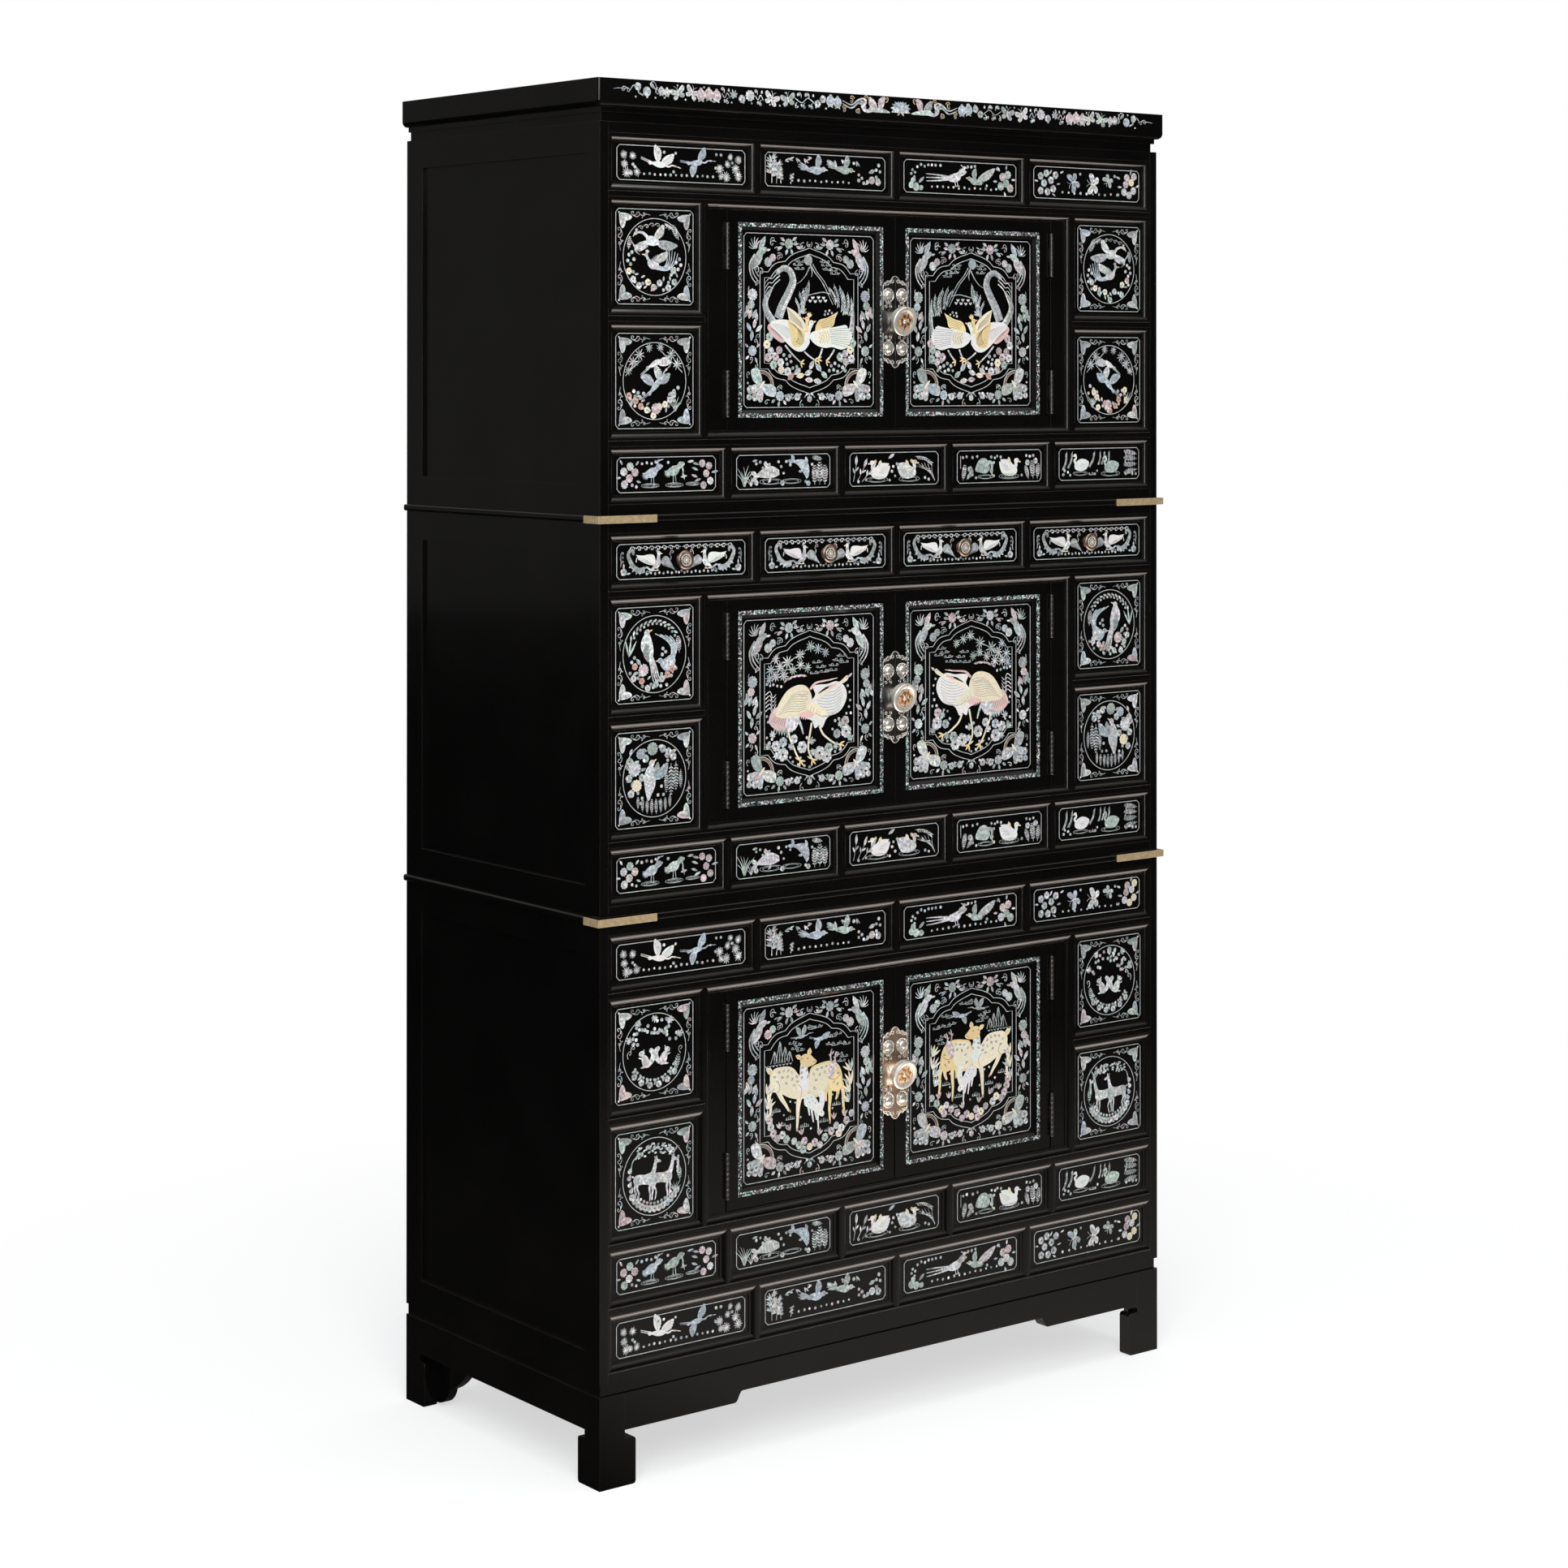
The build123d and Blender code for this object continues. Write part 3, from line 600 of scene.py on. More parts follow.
def cartouche(half, shoulder, end, cusp, peak):
    """The closed line round a door picture: square shoulders, a round lobe and a pointed arch above and below."""
    u, v = cusp
    lobe = curve_through([(end, shoulder), (end - 6, shoulder + 7), (end - 14, v - 2), cusp], steps=3)
    rise = peak - v
    climb = ((0.79, 0.4), (0.46, 0.7), (0.2, 0.86))
    arch = [cusp] + [(u * across, v + rise * up) for across, up in climb] + [(0, peak)]
    quarter = [(half, 0), (half, shoulder)] + lobe[:-1] + curve_through(arch, steps=3)
    top = quarter + [(-a, b) for a, b in quarter[-2::-1]]
    return top + [(a, -b) for a, b in top[-2:0:-1]]


# ---- small motifs, each drawn about its own origin ----
def dot(pen, u, v, r, tone=None, steps=9):
    pen.fill([(u + x, v + y) for x, y in ring_outline(r, steps)], tone)


def oval(pen, u, v, a, b, turn=0, tone=None, steps=14):
    c, s = math.cos(math.radians(turn)), math.sin(math.radians(turn))
    around = [(a * x, b * y) for x, y in ring_outline(1, steps)]
    pen.fill([(u + x * c - y * s, v + x * s + y * c) for x, y in around], tone)


def leaf(pen, u, v, length, width, turn, tone=None, veined=False):
    """A pointed leaf growing from (u, v)."""
    here = pen.at(u, v, turn)
    rise = ((0, 0), (0.25, 0.38), (0.55, 0.5), (0.8, 0.3), (1, 0))
    side = [(length * along, width * across) for along, across in rise]
    here.fill(side + [(x, -y) for x, y in side[-2:0:-1]], tone)
    if veined:
        here.line([(length * 0.08, 0), (length * 0.9, 0)], 0.28, "ink")


def curl(pen, u, v, size, turn, width=0.7, tone=None, flip=False):
    """A tendril: a stem that rolls up into a small spiral."""
    here = pen.at(u, v, turn, size, flip)
    points = [(0, 0), (0.5, 0.28), (1, 0.3), (1.42, 0.02), (1.35, -0.42), (0.98, -0.5), (0.78, -0.24), (0.98, -0.06)]
    here.curve(points, width / size, tone, width * 0.5 / size)


def scroll(pen, u, v, size, turn, width):
    """A pair of tendrils on one stem, with a small leaf between them."""
    here = pen.at(u, v, turn)
    curl(here, 0, 0, size, 18, width)
    curl(here, size * 0.5, size * 0.1, size * 0.62, -28, width * 0.8, None, True)
    leaf(here, size * 0.3, size * 0.25, size * 0.5, size * 0.22, 78)


def blossom(pen, u, v, r, petals=5, tone=None, heart="ink", turn=0):
    """An open flower of round petals."""
    for i in range(petals):
        angle = turn + 360 * i / petals
        here = pen.at(u, v, angle)
        w = r * math.sin(math.pi / petals) * 1.05
        here.blob(
            [
                (r * 0.12, 0), (r * 0.5, w * 0.62), (r * 0.9, w * 0.72), (r * 1.02, 0), (r * 0.9, -w * 0.72),
                (r * 0.5, -w * 0.62)
            ],
            tone, 2
        )
    dot(pen, u, v, r * 0.22, heart, 7)


def bloom(pen, u, v, r, tone=None, rays=11):
    """A full, many-petalled flower with engraved rays."""
    steps = rays * 3
    rim = []
    for i in range(steps):
        angle = 2 * math.pi * i / steps
        swell = r * (0.93 + 0.09 * math.cos(rays * angle))
        rim.append((u + swell * math.cos(angle), v + swell * math.sin(angle)))
    pen.fill(rim, tone)
    for i in range(rays):
        angle = 2 * math.pi * (i + 0.5) / rays
        c, s = math.cos(angle), math.sin(angle)
        pen.line([(u + r * share * c, v + r * share * s) for share in (0.42, 0.9)], 0.26, "ink")
    pen.line(
        [(u + r * 0.3 * math.cos(a * 0.785), v + r * 0.3 * math.sin(a * 0.785)) for a in range(8)], 0.26, "ink",
        closed=True
    )


def each(draw, pen, spots, *rest, **more):
    """Draws a motif at each spot; a spot holds the motif's first values."""
    for spot in spots:
        draw(pen, *spot, *rest, **more)


def leaves(pen, spots, length, width, tone=None, veined=False):
    """Like leaves at several spots, each given as its foot and turn."""
    for u, v, turn in spots:
        leaf(pen, u, v, length, width, turn, tone, veined)


def curls(pen, spots):
    """Tendrils, each given as its foot, size, turn and hand."""
    for u, v, size, turn, flip in spots:
        curl(pen, u, v, size, turn, 0.9, None, flip)


def bud(pen, u, v, r, turn, tone=None):
    leaf(pen, u, v, r * 1.7, r * 1.1, turn, tone)
    leaf(pen, u, v, r * 1, r * 0.5, turn + 42, tone)
    leaf(pen, u, v, r * 1, r * 0.5, turn - 42, tone)


def berries(pen, spots, r=1.9):
    for u, v in spots:
        dot(pen, u, v, r * pen.chance.uniform(0.85, 1.12))


def row_of_dots(pen, start, end, count):
    """Uneven dots along the foot of a row panel."""
    for i in range(count):
        u = start + (end - start) * i / (count - 1) + pen.chance.uniform(-0.5, 0.5)
        dot(pen, u, -12.5 + pen.chance.uniform(-0.7, 0.7), 1.8 * pen.chance.uniform(0.75, 1.1))


def needles(pen, u, v, r, tone=None, count=9, start=0):
    """A star of pine needles."""
    for i in range(count):
        turn = start + 360 * i / count
        leaf(pen, u, v, r * pen.chance.uniform(0.85, 1.1), r * 0.18, turn, tone)


def maple(pen, u, v, r, turn=0, tone=None):
    """A leaf cut into narrow fingers."""
    for angle, share in ((0, 1), (38, 0.9), (-38, 0.9), (78, 0.7), (-78, 0.7), (125, 0.5), (-125, 0.5)):
        leaf(pen, u, v, r * share, r * 0.30, turn + angle, tone)


def bamboo(pen, u, v, height, turn, leaves=7):
    """A jointed stem with pointed leaves in fans."""
    here = pen.at(u, v, turn)
    for i in range(4):
        here.line([(height * i / 4 + 0.3, 0), (height * (i + 1) / 4 - 0.3, 0)], 1)
    for i in range(leaves):
        spot = height * (0.25 + 0.75 * i / leaves)
        side = 1 if i % 2 else -1
        for fan in (28, 50, 74):
            leaf(here, spot, 0, height * 0.30, height * 0.065, side * (fan + pen.chance.uniform(-6, 6)))


def grass(pen, u, v, height, tone=None, blades=5, spread=50):
    for i in range(blades):
        turn = 90 + spread * (i / max(blades - 1, 1) - 0.5) * 2
        bend = 0.12 * height * (1 if turn < 90 else -1)
        here = pen.at(u, v, turn)
        tall = height * pen.chance.uniform(0.7, 1.05)
        here.curve([(0, 0), (tall * 0.5, bend * 0.4), (tall, bend * -0.4)], height * 0.10, tone, 0.15)


def fern(pen, u, v, height, turn=90, tone=None, pairs=7, width=0.26):
    """A frond with paired leaflets."""
    here = pen.at(u, v, turn)
    here.line([(0, 0), (height, 0)], 0.5, tone, end=0.2)
    for i in range(1, pairs + 1):
        spot = height * i / (pairs + 0.6)
        size = height * width * math.sin(math.pi * (0.15 + 0.8 * i / (pairs + 1)))
        for side in (-1, 1):
            leaf(here, spot, 0, size, size * 0.36, side * 52, tone)


def willow(pen, u, v, length, turn, tone=None):
    """A hanging twig of narrow leaves."""
    here = pen.at(u, v, turn)
    sway = length * 0.12
    stem = curve_through([(0, 0), (length * 0.5, sway), (length, sway * 0.4)], steps=4)
    here.line(stem, 0.45, tone, end=0.2)
    for i in range(1, len(stem)):
        x, y = stem[i]
        for side in (-1, 1):
            leaf(here, x, y, length * 0.20, length * 0.05, side * 24, tone)


def cloud(pen, u, v, length, tone=None, flip=False):
    """A thin banded cloud with curled heads."""
    here = pen.at(u, v, 0, 1, flip)
    l = length
    here.line([(-l / 2, 0), (l / 2, 0)], 0.75, tone)
    here.curve([(-l * 0.5, 0), (-l * 0.56, 1.2), (-l * 0.45, 2.2), (-l * 0.32, 1.9), (-l * 0.34, 1)], 0.75, tone)
    here.curve([(l * 0.08, 0.2), (l * 0.02, 1.6), (l * 0.14, 2.9), (l * 0.28, 2.3), (l * 0.24, 1.3)], 0.75, tone)
    here.line([(l * 0.22, 1.4), (l * 0.62, 1.4)], 0.7, tone)


def ripples(pen, u, v, width, rows=3):
    """Water: flattened rings, each inside the last."""
    for i in range(rows):
        a = width / 2 * (1 - i * 0.28)
        b = a * 0.2
        ring = [(u + a * x, v - i * 0.2 + b * y) for x, y in ring_outline(1, 18)]
        pen.line(ring, 0.5, "mist", closed=True)


def pebbles(pen, spots, tone=None):
    """Rounded stones, each with an engraved mark."""
    for u, v, r in spots:
        here = pen.at(u, v, pen.chance.uniform(0, 360))
        here.blob(
            [
                (r * pen.chance.uniform(0.8, 1.15) * math.cos(a), r * pen.chance.uniform(0.75, 1.05) * math.sin(a))
                for a in (0, 1.1, 2.1, 3.2, 4.2, 5.3)
            ],
            tone, 3
        )
        here.line([(-r * 0.4, -r * 0.1), (r * 0.1, r * 0.35)], 0.28, "ink")


def butterfly(pen, u, v, size, turn=0, tone=None):
    """A butterfly seen from above, with its head along U."""
    here = pen.at(u, v, turn, size)
    for side in (1, -1):
        upper = [(0.12, 0.05), (0.42, 0.36), (0.62, 0.80), (0.40, 1), (0.02, 0.82), (-0.12, 0.36)]
        lower = [(-0.08, 0.06), (-0.16, 0.50), (-0.38, 0.78), (-0.66, 0.62), (-0.62, 0.26), (-0.34, 0.06)]
        here.blob([(x, side * y) for x, y in upper], tone)
        here.blob([(x, side * y) for x, y in lower], tone)
        for x, y in ((0.42, 0.78), (0.20, 0.84), (-0.46, 0.60)):
            here.line([(0, side * 0.12), (x, side * y * 0.86)], 0.26 / size, "ink")
        here.curve([(0.3, side * 0.03), (0.62, side * 0.12), (0.8, side * 0.34)], 0.42 / size, tone)
    oval(here, 0, 0, 0.34, 0.075, 0, "cream", 8)


def corner_butterfly(pen, u, v, size):
    """A folded butterfly that fills a corner: two big wings along the sides of the square."""
    here = pen.at(u, v, 0, size)
    wings = [(0.04, 0.04), (0.06, 0.62), (0.22, 0.98), (0.42, 0.86), (0.50, 0.50), (0.34, 0.24)]
    here.blob(wings)
    here.blob(wings[:1] + [(y, x) for x, y in wings[:0:-1]][::-1])
    for x, y in ((0.16, 0.82), (0.34, 0.72), (0.40, 0.52)):
        here.line([(0.10, 0.12), (x, y)], 0.3 / size, "ink")
        here.line([(0.12, 0.10), (y, x)], 0.3 / size, "ink")
    here.line([(0.30, 0.80), (0.20, 0.60), (0.28, 0.42)], 0.3 / size, "ink")
    here.line([(0.80, 0.30), (0.60, 0.20), (0.42, 0.28)], 0.3 / size, "ink")
    dot(here, 0, 0, 0.07, None, 8)


# ---- birds, fish and beasts: each faces right along U ----
def feathers(pen, u, v, length, count, start, end, width=0.17, tone=None, lined=True):
    """A fan of long feathers from one point, between two angles."""
    for i in range(count):
        share = i / max(count - 1, 1)
        turn = start + (end - start) * share
        reach = length * (0.78 + 0.22 * math.sin(math.pi * (0.2 + 0.75 * share)))
        leaf(pen, u, v, reach, length * width, turn, tone, lined)


def wing(pen, u, v, length, width, turn, tone=None, flip=False, quills=9):
    """A raised wing: a smooth shoulder and long quills that part at the trailing edge."""
    here = pen.at(u, v, turn, 1, flip)
    trail = []
    for i in range(quills):
        share = i / (quills - 1)
        x = length * (1 - 0.80 * share)
        y = -width * (0.18 + 0.82 * math.sin(math.pi * (0.10 + 0.72 * share)))
        trail += [(x + length * 0.045, y * 0.86), (x, y), (x - length * 0.015, y * 0.88)]
    lead = curve_through(
        [(0, 0), (length * 0.25, width * 0.30), (length * 0.62, width * 0.26), (length * 1.02, -width * 0.12)], steps=4
    )
    here.fill(lead + trail, tone)
    for i in range(quills - 1):
        share = (i + 0.5) / (quills - 1)
        x = length * (1 - 0.80 * share)
        y = -width * (0.18 + 0.82 * math.sin(math.pi * (0.10 + 0.72 * share)))
        here.line([(x * 0.78 + length * 0.04, y * 0.25), (x, y * 0.92)], 0.3, "ink", end=0.22)
    arc = [(length * t, width * (0.12 - 0.42 * t * (1.1 - t)) - width * 0.10) for t in (0.12, 0.3, 0.5, 0.7, 0.88)]
    here.curve(arc, 0.35, "ink")


def spread_wing(pen, root, lead, tips, tone):
    """A wing spread flat: a smooth leading edge from the root, then a quill to each tip."""
    edge = []
    for (u, v), (x, y) in zip(tips, tips[1:]):
        edge += [(u, v), ((u + x) / 2 * 0.92 + root[0] * 0.08, (v + y) / 2 * 0.92 + root[1] * 0.08)]
    pen.fill(curve_through([root, *lead, tips[0]], steps=4) + edge[1:] + [tips[-1]], tone)
    for u, v in tips[1:-1]:
        pen.line([(root[0] + (u - root[0]) * 0.4, root[1] + (v - root[1]) * 0.4), (u, v)], 0.32, "ink", end=0.22)


def flying_crane(pen, u, v, size, turn=0, tone=None, flip=False, wings=(118, 52)):
    """A crane in flight: stretched neck, long bill, raised wings and trailing legs."""
    here = pen.at(u, v, turn, size / 40, flip)
    for y in (-0.6, 0.9):
        here.curve([(-7, y), (-14, y + 1.6), (-22, y + 3.4)], 0.8, tone, 0.5)
    wing(here, -1, 1.6, 17, 7.5, wings[0], tone, quills=7)
    here.blob([(8, 0.4), (5, 2.7), (-2, 2.9), (-9, 1.2), (-8, -0.8), (-1, -2.8), (5, -2.2)], tone, 3)
    wing(here, 2.2, 1.4, 17, 7.5, wings[1], tone, quills=7)
    neck = curve_through([(7, 0.2), (11.5, -0.4), (15, 1.3), (18.5, 1)], steps=4)
    here.line(neck, 2, tone, end=1.1)
    here.blob([(18, 1.9), (20, 1.9), (20.6, 0.9), (19.2, 0.1), (17.8, 0.4)], "rose", 2)
    leaf(here, 20.2, 0.9, 6.4, 0.9, -8, tone)
    feathers(here, -7, 0.4, 7, 4, 160, 200, 0.20, tone, False)


def perched_bird(pen, u, v, size, turn=0, tone=None, flip=False, tail=1):
    """A small songbird with a raised wing and a long tail."""
    here = pen.at(u, v, turn, size / 30, flip)
    feathers(here, -6, -0.5, 15 * tail, 4, 168, 196, 0.15, tone, True)
    here.blob([(8, 2.6), (5, 4.4), (-1, 3.6), (-7, 0.4), (-5, -2.6), (2, -3.4), (7, -0.8)], tone, 3)
    oval(here, 9, 3.4, 3, 2.4, 20, tone)
    leaf(here, 11.3, 3.9, 3.2, 1.3, 4, "gold")
    dot(here, 9.8, 4, 0.45, "ink", 6)
    wing(here, 2, 2, 13, 6, 105, tone, quills=6)
    wing(here, 0, -0.4, 9, 4, 200, tone, quills=5)


def pheasant(pen, u, v, size, turn, tone):
    """A standing pheasant with a long barred tail."""
    here = pen.at(u, v, turn, size / 40)
    for k, bend in ((0, 1.8), (1, 0.6), (2, -0.6)):
        here.curve([(-7, 1 - k), (-18, 1.4 - k * 1.2 + bend), (-31, 2.8 - k * 1.8 + bend)], 2, tone, 0.4, 4)
    for x in range(-28, -8, 3):
        here.line([(x, 4.2), (x + 0.8, -0.4)], 0.28, "ink")
    here.blob([(8, 4.5), (4.5, 4.4), (-3, 3), (-8, 0.6), (-5, -2.8), (2, -3.6), (7, -1)], tone, 3)
    here.curve([(6, 2), (9.5, 4.6), (11, 7.4)], 3.4, tone, 2.2)
    oval(here, 11.6, 8, 2.1, 1.6, 20, "rose")
    leaf(here, 13.2, 8.2, 2.8, 1.1, -8, "gold")
    leaf(here, 10.8, 9, 3.4, 1, 150, tone)
    wing(here, 3, 2.2, 11, 5, 186, tone, flip=True, quills=6)
    for x in (0.5, 3):
        here.line([(x, -3), (x + 0.8, -7.2)], 0.6, tone)
        here.line([(x - 0.8, -7.2), (x + 2.6, -7)], 0.5, tone)


def duck(pen, u, v, size, turn=0, tone=None, flip=False, crest=False):
    """A plump swimming duck with a spread wing and a raised sail feather."""
    here = pen.at(u, v, turn, size / 34, flip)
    here.blob(
        [(11, 1), (12.6, -4), (8, -9), (-2, -11), (-12, -8.6), (-17, -2), (-19, 6), (-12.5, 5), (-4, 5.4), (5, 4.6)],
        tone, 4
    )
    here.curve([(7, 0), (9.8, 4), (8.8, 8.4)], 6.2, tone, 4.2)
    oval(here, 10, 10, 4.1, 3.3, 10, tone)
    leaf(here, 13.2, 9.4, 4.8, 2.1, -8, "gold")
    dot(here, 11, 10.8, 0.5, "ink", 6)
    tips = [(-18, 9), (-17.4, 5), (-15.6, 1.4), (-12.6, -1.8), (-8.6, -4.2), (-3.6, -5)]
    spread_wing(here, (5, -1), [(3, 5.6), (-4, 9.4), (-11, 9.8)], tips, tone)
    leaf(here, -1, 5, 9, 5.2, 112, "cream", True)
    if crest:
        feathers(here, 8, 11.6, 6, 3, 150, 205, 0.26, "gold", False)


def diving_duck(pen, u, v, size, tone):
    """A duck with a humped back and its neck curved down to the water."""
    here = pen.at(u, v, 0, size / 34)
    here.blob([(8, 5), (2, 11), (-7, 10.4), (-13, 4), (-16, -5), (-8, -8), (3, -9), (9.4, -4)], tone, 4)
    here.curve([(5.5, 5), (11.4, 5.6), (14, 1), (13, -4)], 5.4, tone, 3.4, 4)
    oval(here, 13, -5.6, 3, 3.4, 0, tone)
    leaf(here, 13.6, -8, 4.4, 2, -78, "gold")
    dot(here, 13.8, -5, 0.5, "ink", 6)
    tips = [(-13, -7), (-9.6, -7.6), (-6, -7.4), (-2.4, -6.4), (0.6, -4.2)]
    spread_wing(here, (3, 6), [(-3, 8.6), (-9, 5), (-12.6, -1)], tips, tone)


def swan(pen, u, v, size, turn=0, tone=None, flip=False):
    """A plump resting swan with its neck in an S."""
    here = pen.at(u, v, turn, size / 34, flip)
    here.blob([(11.4, 0), (9.4, -6), (-1, -8.8), (-11.4, -6), (-17, 2.6), (-12, 7.2), (-3, 9), (4, 7), (8, 4)], tone, 4)
    here.curve([(8.4, 2), (11.8, 6.6), (8.2, 10), (9.2, 13.4)], 4, tone, 2.6, 4)
    oval(here, 10.4, 14, 2.9, 2.1, -12, tone)
    leaf(here, 12.6, 13.5, 3.8, 1.6, -22, "gold")
    tips = [(-15.6, 4.4), (-13.4, 0.6), (-10, -2.4), (-6, -4.2), (-1.6, -4.4)]
    spread_wing(here, (6, 2), [(2, 6.4), (-5, 8), (-11, 6.6)], tips, tone)


def heron(pen, u, v, size, tone, stoop=False):
    """A wading bird on thin legs."""
    here = pen.at(u, v, 0, size / 34)
    for x, foot in ((-1.2, -1.8), (1.4, 2.6)):
        here.line([(x, -3), (foot, -14.5)], 0.7, tone)
        here.line([(foot - 1.6, -14.7), (foot + 2.2, -14.7)], 0.6, tone)
    here.blob([(8, 2.6), (5, 6), (-2.5, 5.8), (-10.5, 0.4), (-13, -4.6), (-5, -6), (4, -4.6)], tone, 4)
    feathers(here, -7, -1, 9, 6, 176, 262, 0.2, tone, False)
    if stoop:
        neck, head, bill = [(5.4, 2.6), (10.8, 4.6), (13.2, 0.4), (13, -3.6)], (13.2, -4.6), -70
    else:
        neck, head, bill = [(5.4, 3), (9.8, 6.4), (7.2, 10.4), (9, 14.4)], (9.8, 15), 12
    here.curve(neck, 2.6, tone, 1.5, 4)
    oval(here, *head, 2, 1.4, bill, tone)
    leaf(here, *head, 7.6, 1.2, bill, tone)
    wing(here, 3.2, 3.2, 13, 6.4, 196, tone, flip=True, quills=7)


def fish(pen, u, v, size, turn, tone, bend):
    """A carp with scales, fins and a forked tail; the bend arches its back."""
    here = pen.at(u, v, turn, size / 40)
    top, under = [], []
    for i in range(9):
        t = i / 8
        x = 15 - 30 * t
        lift = bend * (1 - (2 * t - 1) ** 2)
        half = 8.4 * math.sin(math.pi * (0.10 + 0.80 * t)) * (1 - 0.45 * t)
        top.append((x, lift + half))
        under.append((x, lift - half * 0.95))
    here.fill(top + under[::-1], tone)
    for spread in (26, -26):
        leaf(here, -14, 0, 10, 5, 180 + spread * 1.2, tone, True)
    leaf(here, 3, bend + 5.4, 9, 4.6, 150, tone, True)
    leaf(here, 4, bend - 6, 7, 3.4, 226, tone, True)
    here.line([(10, bend * 0.6 + 4.2), (8.6, bend * 0.6), (9.8, bend * 0.6 - 3.8)], 0.35, "ink")
    dot(here, 12.2, bend * 0.4 + 1.4, 0.8, "ink", 7)
    for i in range(5):
        for y in (-3.4, -0.4, 2.6):
            x = 5.5 - 3.6 * i
            lift = bend * (1 - (x / 15) ** 2)
            if abs(y) < 4.4 - 0.5 * i:
                here.line([(x + 0.7, lift + y + 1.1), (x - 0.6, lift + y), (x + 0.7, lift + y - 1.1)], 0.28, "ink")


def squirrel(pen, u, v, size, tone=None, flip=False):
    """A sitting squirrel with its tail up its back."""
    here = pen.at(u, v, 0, size / 34, flip)
    here.blob(
        [(-6, -11), (-12, -8), (-17, 0), (-15.5, 8), (-10, 11.4), (-7.4, 8), (-10.4, 3.4), (-8.4, -3), (-4, -8)], tone,
        4
    )
    for x, y in ((-14.5, 5.5), (-15.2, 1), (-13.2, -4)):
        here.line([(x, y), (x + 3.4, y - 0.8)], 0.3, "ink")
    here.blob([(-7, -11), (-8.2, -5), (-5, 1), (-0.5, 4.4), (3.2, 3), (3.6, -3), (1.4, -9.4), (-2, -11.6)], tone, 4)
    oval(here, 3.6, 6.2, 4.4, 3.2, -16, tone)
    leaf(here, 0.8, 8.2, 3.4, 1.7, 104, tone)
    leaf(here, 2.4, -0.4, 6.6, 1.9, 18, tone)
    leaf(here, -2.6, -10.2, 8.6, 2.6, -6, tone)
    dot(here, 5, 6.9, 0.6, "ink", 7)
    here.line([(-4.4, -3), (-2.4, -6.4), (-4, -8.6)], 0.3, "ink")


def deer(pen, u, v, size, antlers=False):
    """A deer that looks ahead."""
    here = pen.at(u, v, 0, size / 60)
    for leg in (
        ((13, -6), (15.5, -17), (13.5, -27), (14.6, -37)),
        ((9.5, -8), (8, -18), (9.6, -28), (8.6, -38)),
        ((-15, -5), (-17.5, -13), (-13.5, -22), (-16.6, -36)),
        ((-19, -3), (-22.5, -12), (-20.5, -22), (-24.2, -35)),
    ):
        here.curve(leg, 4.6, "pearl", 1.7)
        leaf(here, leg[-1][0] - 1.2, leg[-1][1] + 0.3, 3.4, 1.6, -22, "ink")
    body = [(17.5, 9.5), (11, 10.2), (0, 8.2), (-12, 9.6), (-20, 9), (-24.6, 3.2), (-23, -4.5), (-15, -7.2)]
    body += [(-4, -7.8), (7, -9.6), (15.2, -8.4), (19.4, -1.5)]
    here.blob(body, "pearl", 4)
    here.blob([(-13, 8.8), (-20, 8.2), (-23.8, 2.8), (-22, -4), (-15.2, -6.2), (-11.6, 0)], "mist", 4)
    leaf(here, -23, 6.2, 6.4, 3, 150, "pearl")
    here.curve([(14, 6), (18.5, 16), (20.5, 26)], 10, "pearl", 5.2, 4)
    x, y = 22.6, 28.6
    oval(here, x, y, 4.6, 3.7, -14, "pearl")
    leaf(here, x, y, 10.2, 5.2, -14, "pearl")
    leaf(here, x, y + 2.2, 7.4, 3.4, 128, "mist")
    leaf(here, x, y + 2, 6.8, 3, 82, "pearl")
    dot(here, x + 0.6, y + 0.9, 0.85, "ink", 7)
    for lean in (8, -16) if antlers else ():
        y = 31.6
        here.curve([(x, y), (x - 3 + lean * 0.4, y + 9), (x - 1 + lean, y + 17)], 1.7, "mist", 0.7, 4)
        here.line([(x - 2.6 + lean * 0.4, y + 8), (x + 3 + lean * 0.5, y + 13)], 1.1, "mist", 0.5)
        here.line([(x - 1.6 + lean * 0.7, y + 12.5), (x + 1.5 + lean * 1.3, y + 17)], 1, "mist", 0.5)
    here.curve([(12.4, 8), (9.8, 2), (10.4, -5)], 0.45, "ink")
    here.curve([(-11.4, 7), (-14.6, 0), (-12.4, -6)], 0.45, "ink")


def plume(pen, points, width, tone=None, barbs=9, scaled=False):
    """A long tail feather: a tapered band with engraved barbs or scales."""
    path = curve_through(points, steps=5)
    pen.line(path, width, tone, end=width * 0.35)
    step = max(1, len(path) // barbs)
    for i in range(step, len(path) - 1, step):
        (u, v), (a, b) = path[i], path[min(i + 1, len(path) - 1)]
        turn = math.degrees(math.atan2(b - v, a - u))
        half = width * (0.5 - 0.32 * i / len(path))
        here = pen.at(u, v, turn)
        if scaled:
            here.line([(-half * 0.5, half), (half * 0.5, 0), (-half * 0.5, -half)], 0.32, "ink")
        else:
            here.line([(half * 0.9, half * 0.8), (0, 0), (half * 0.9, -half * 0.8)], 0.28, "ink")


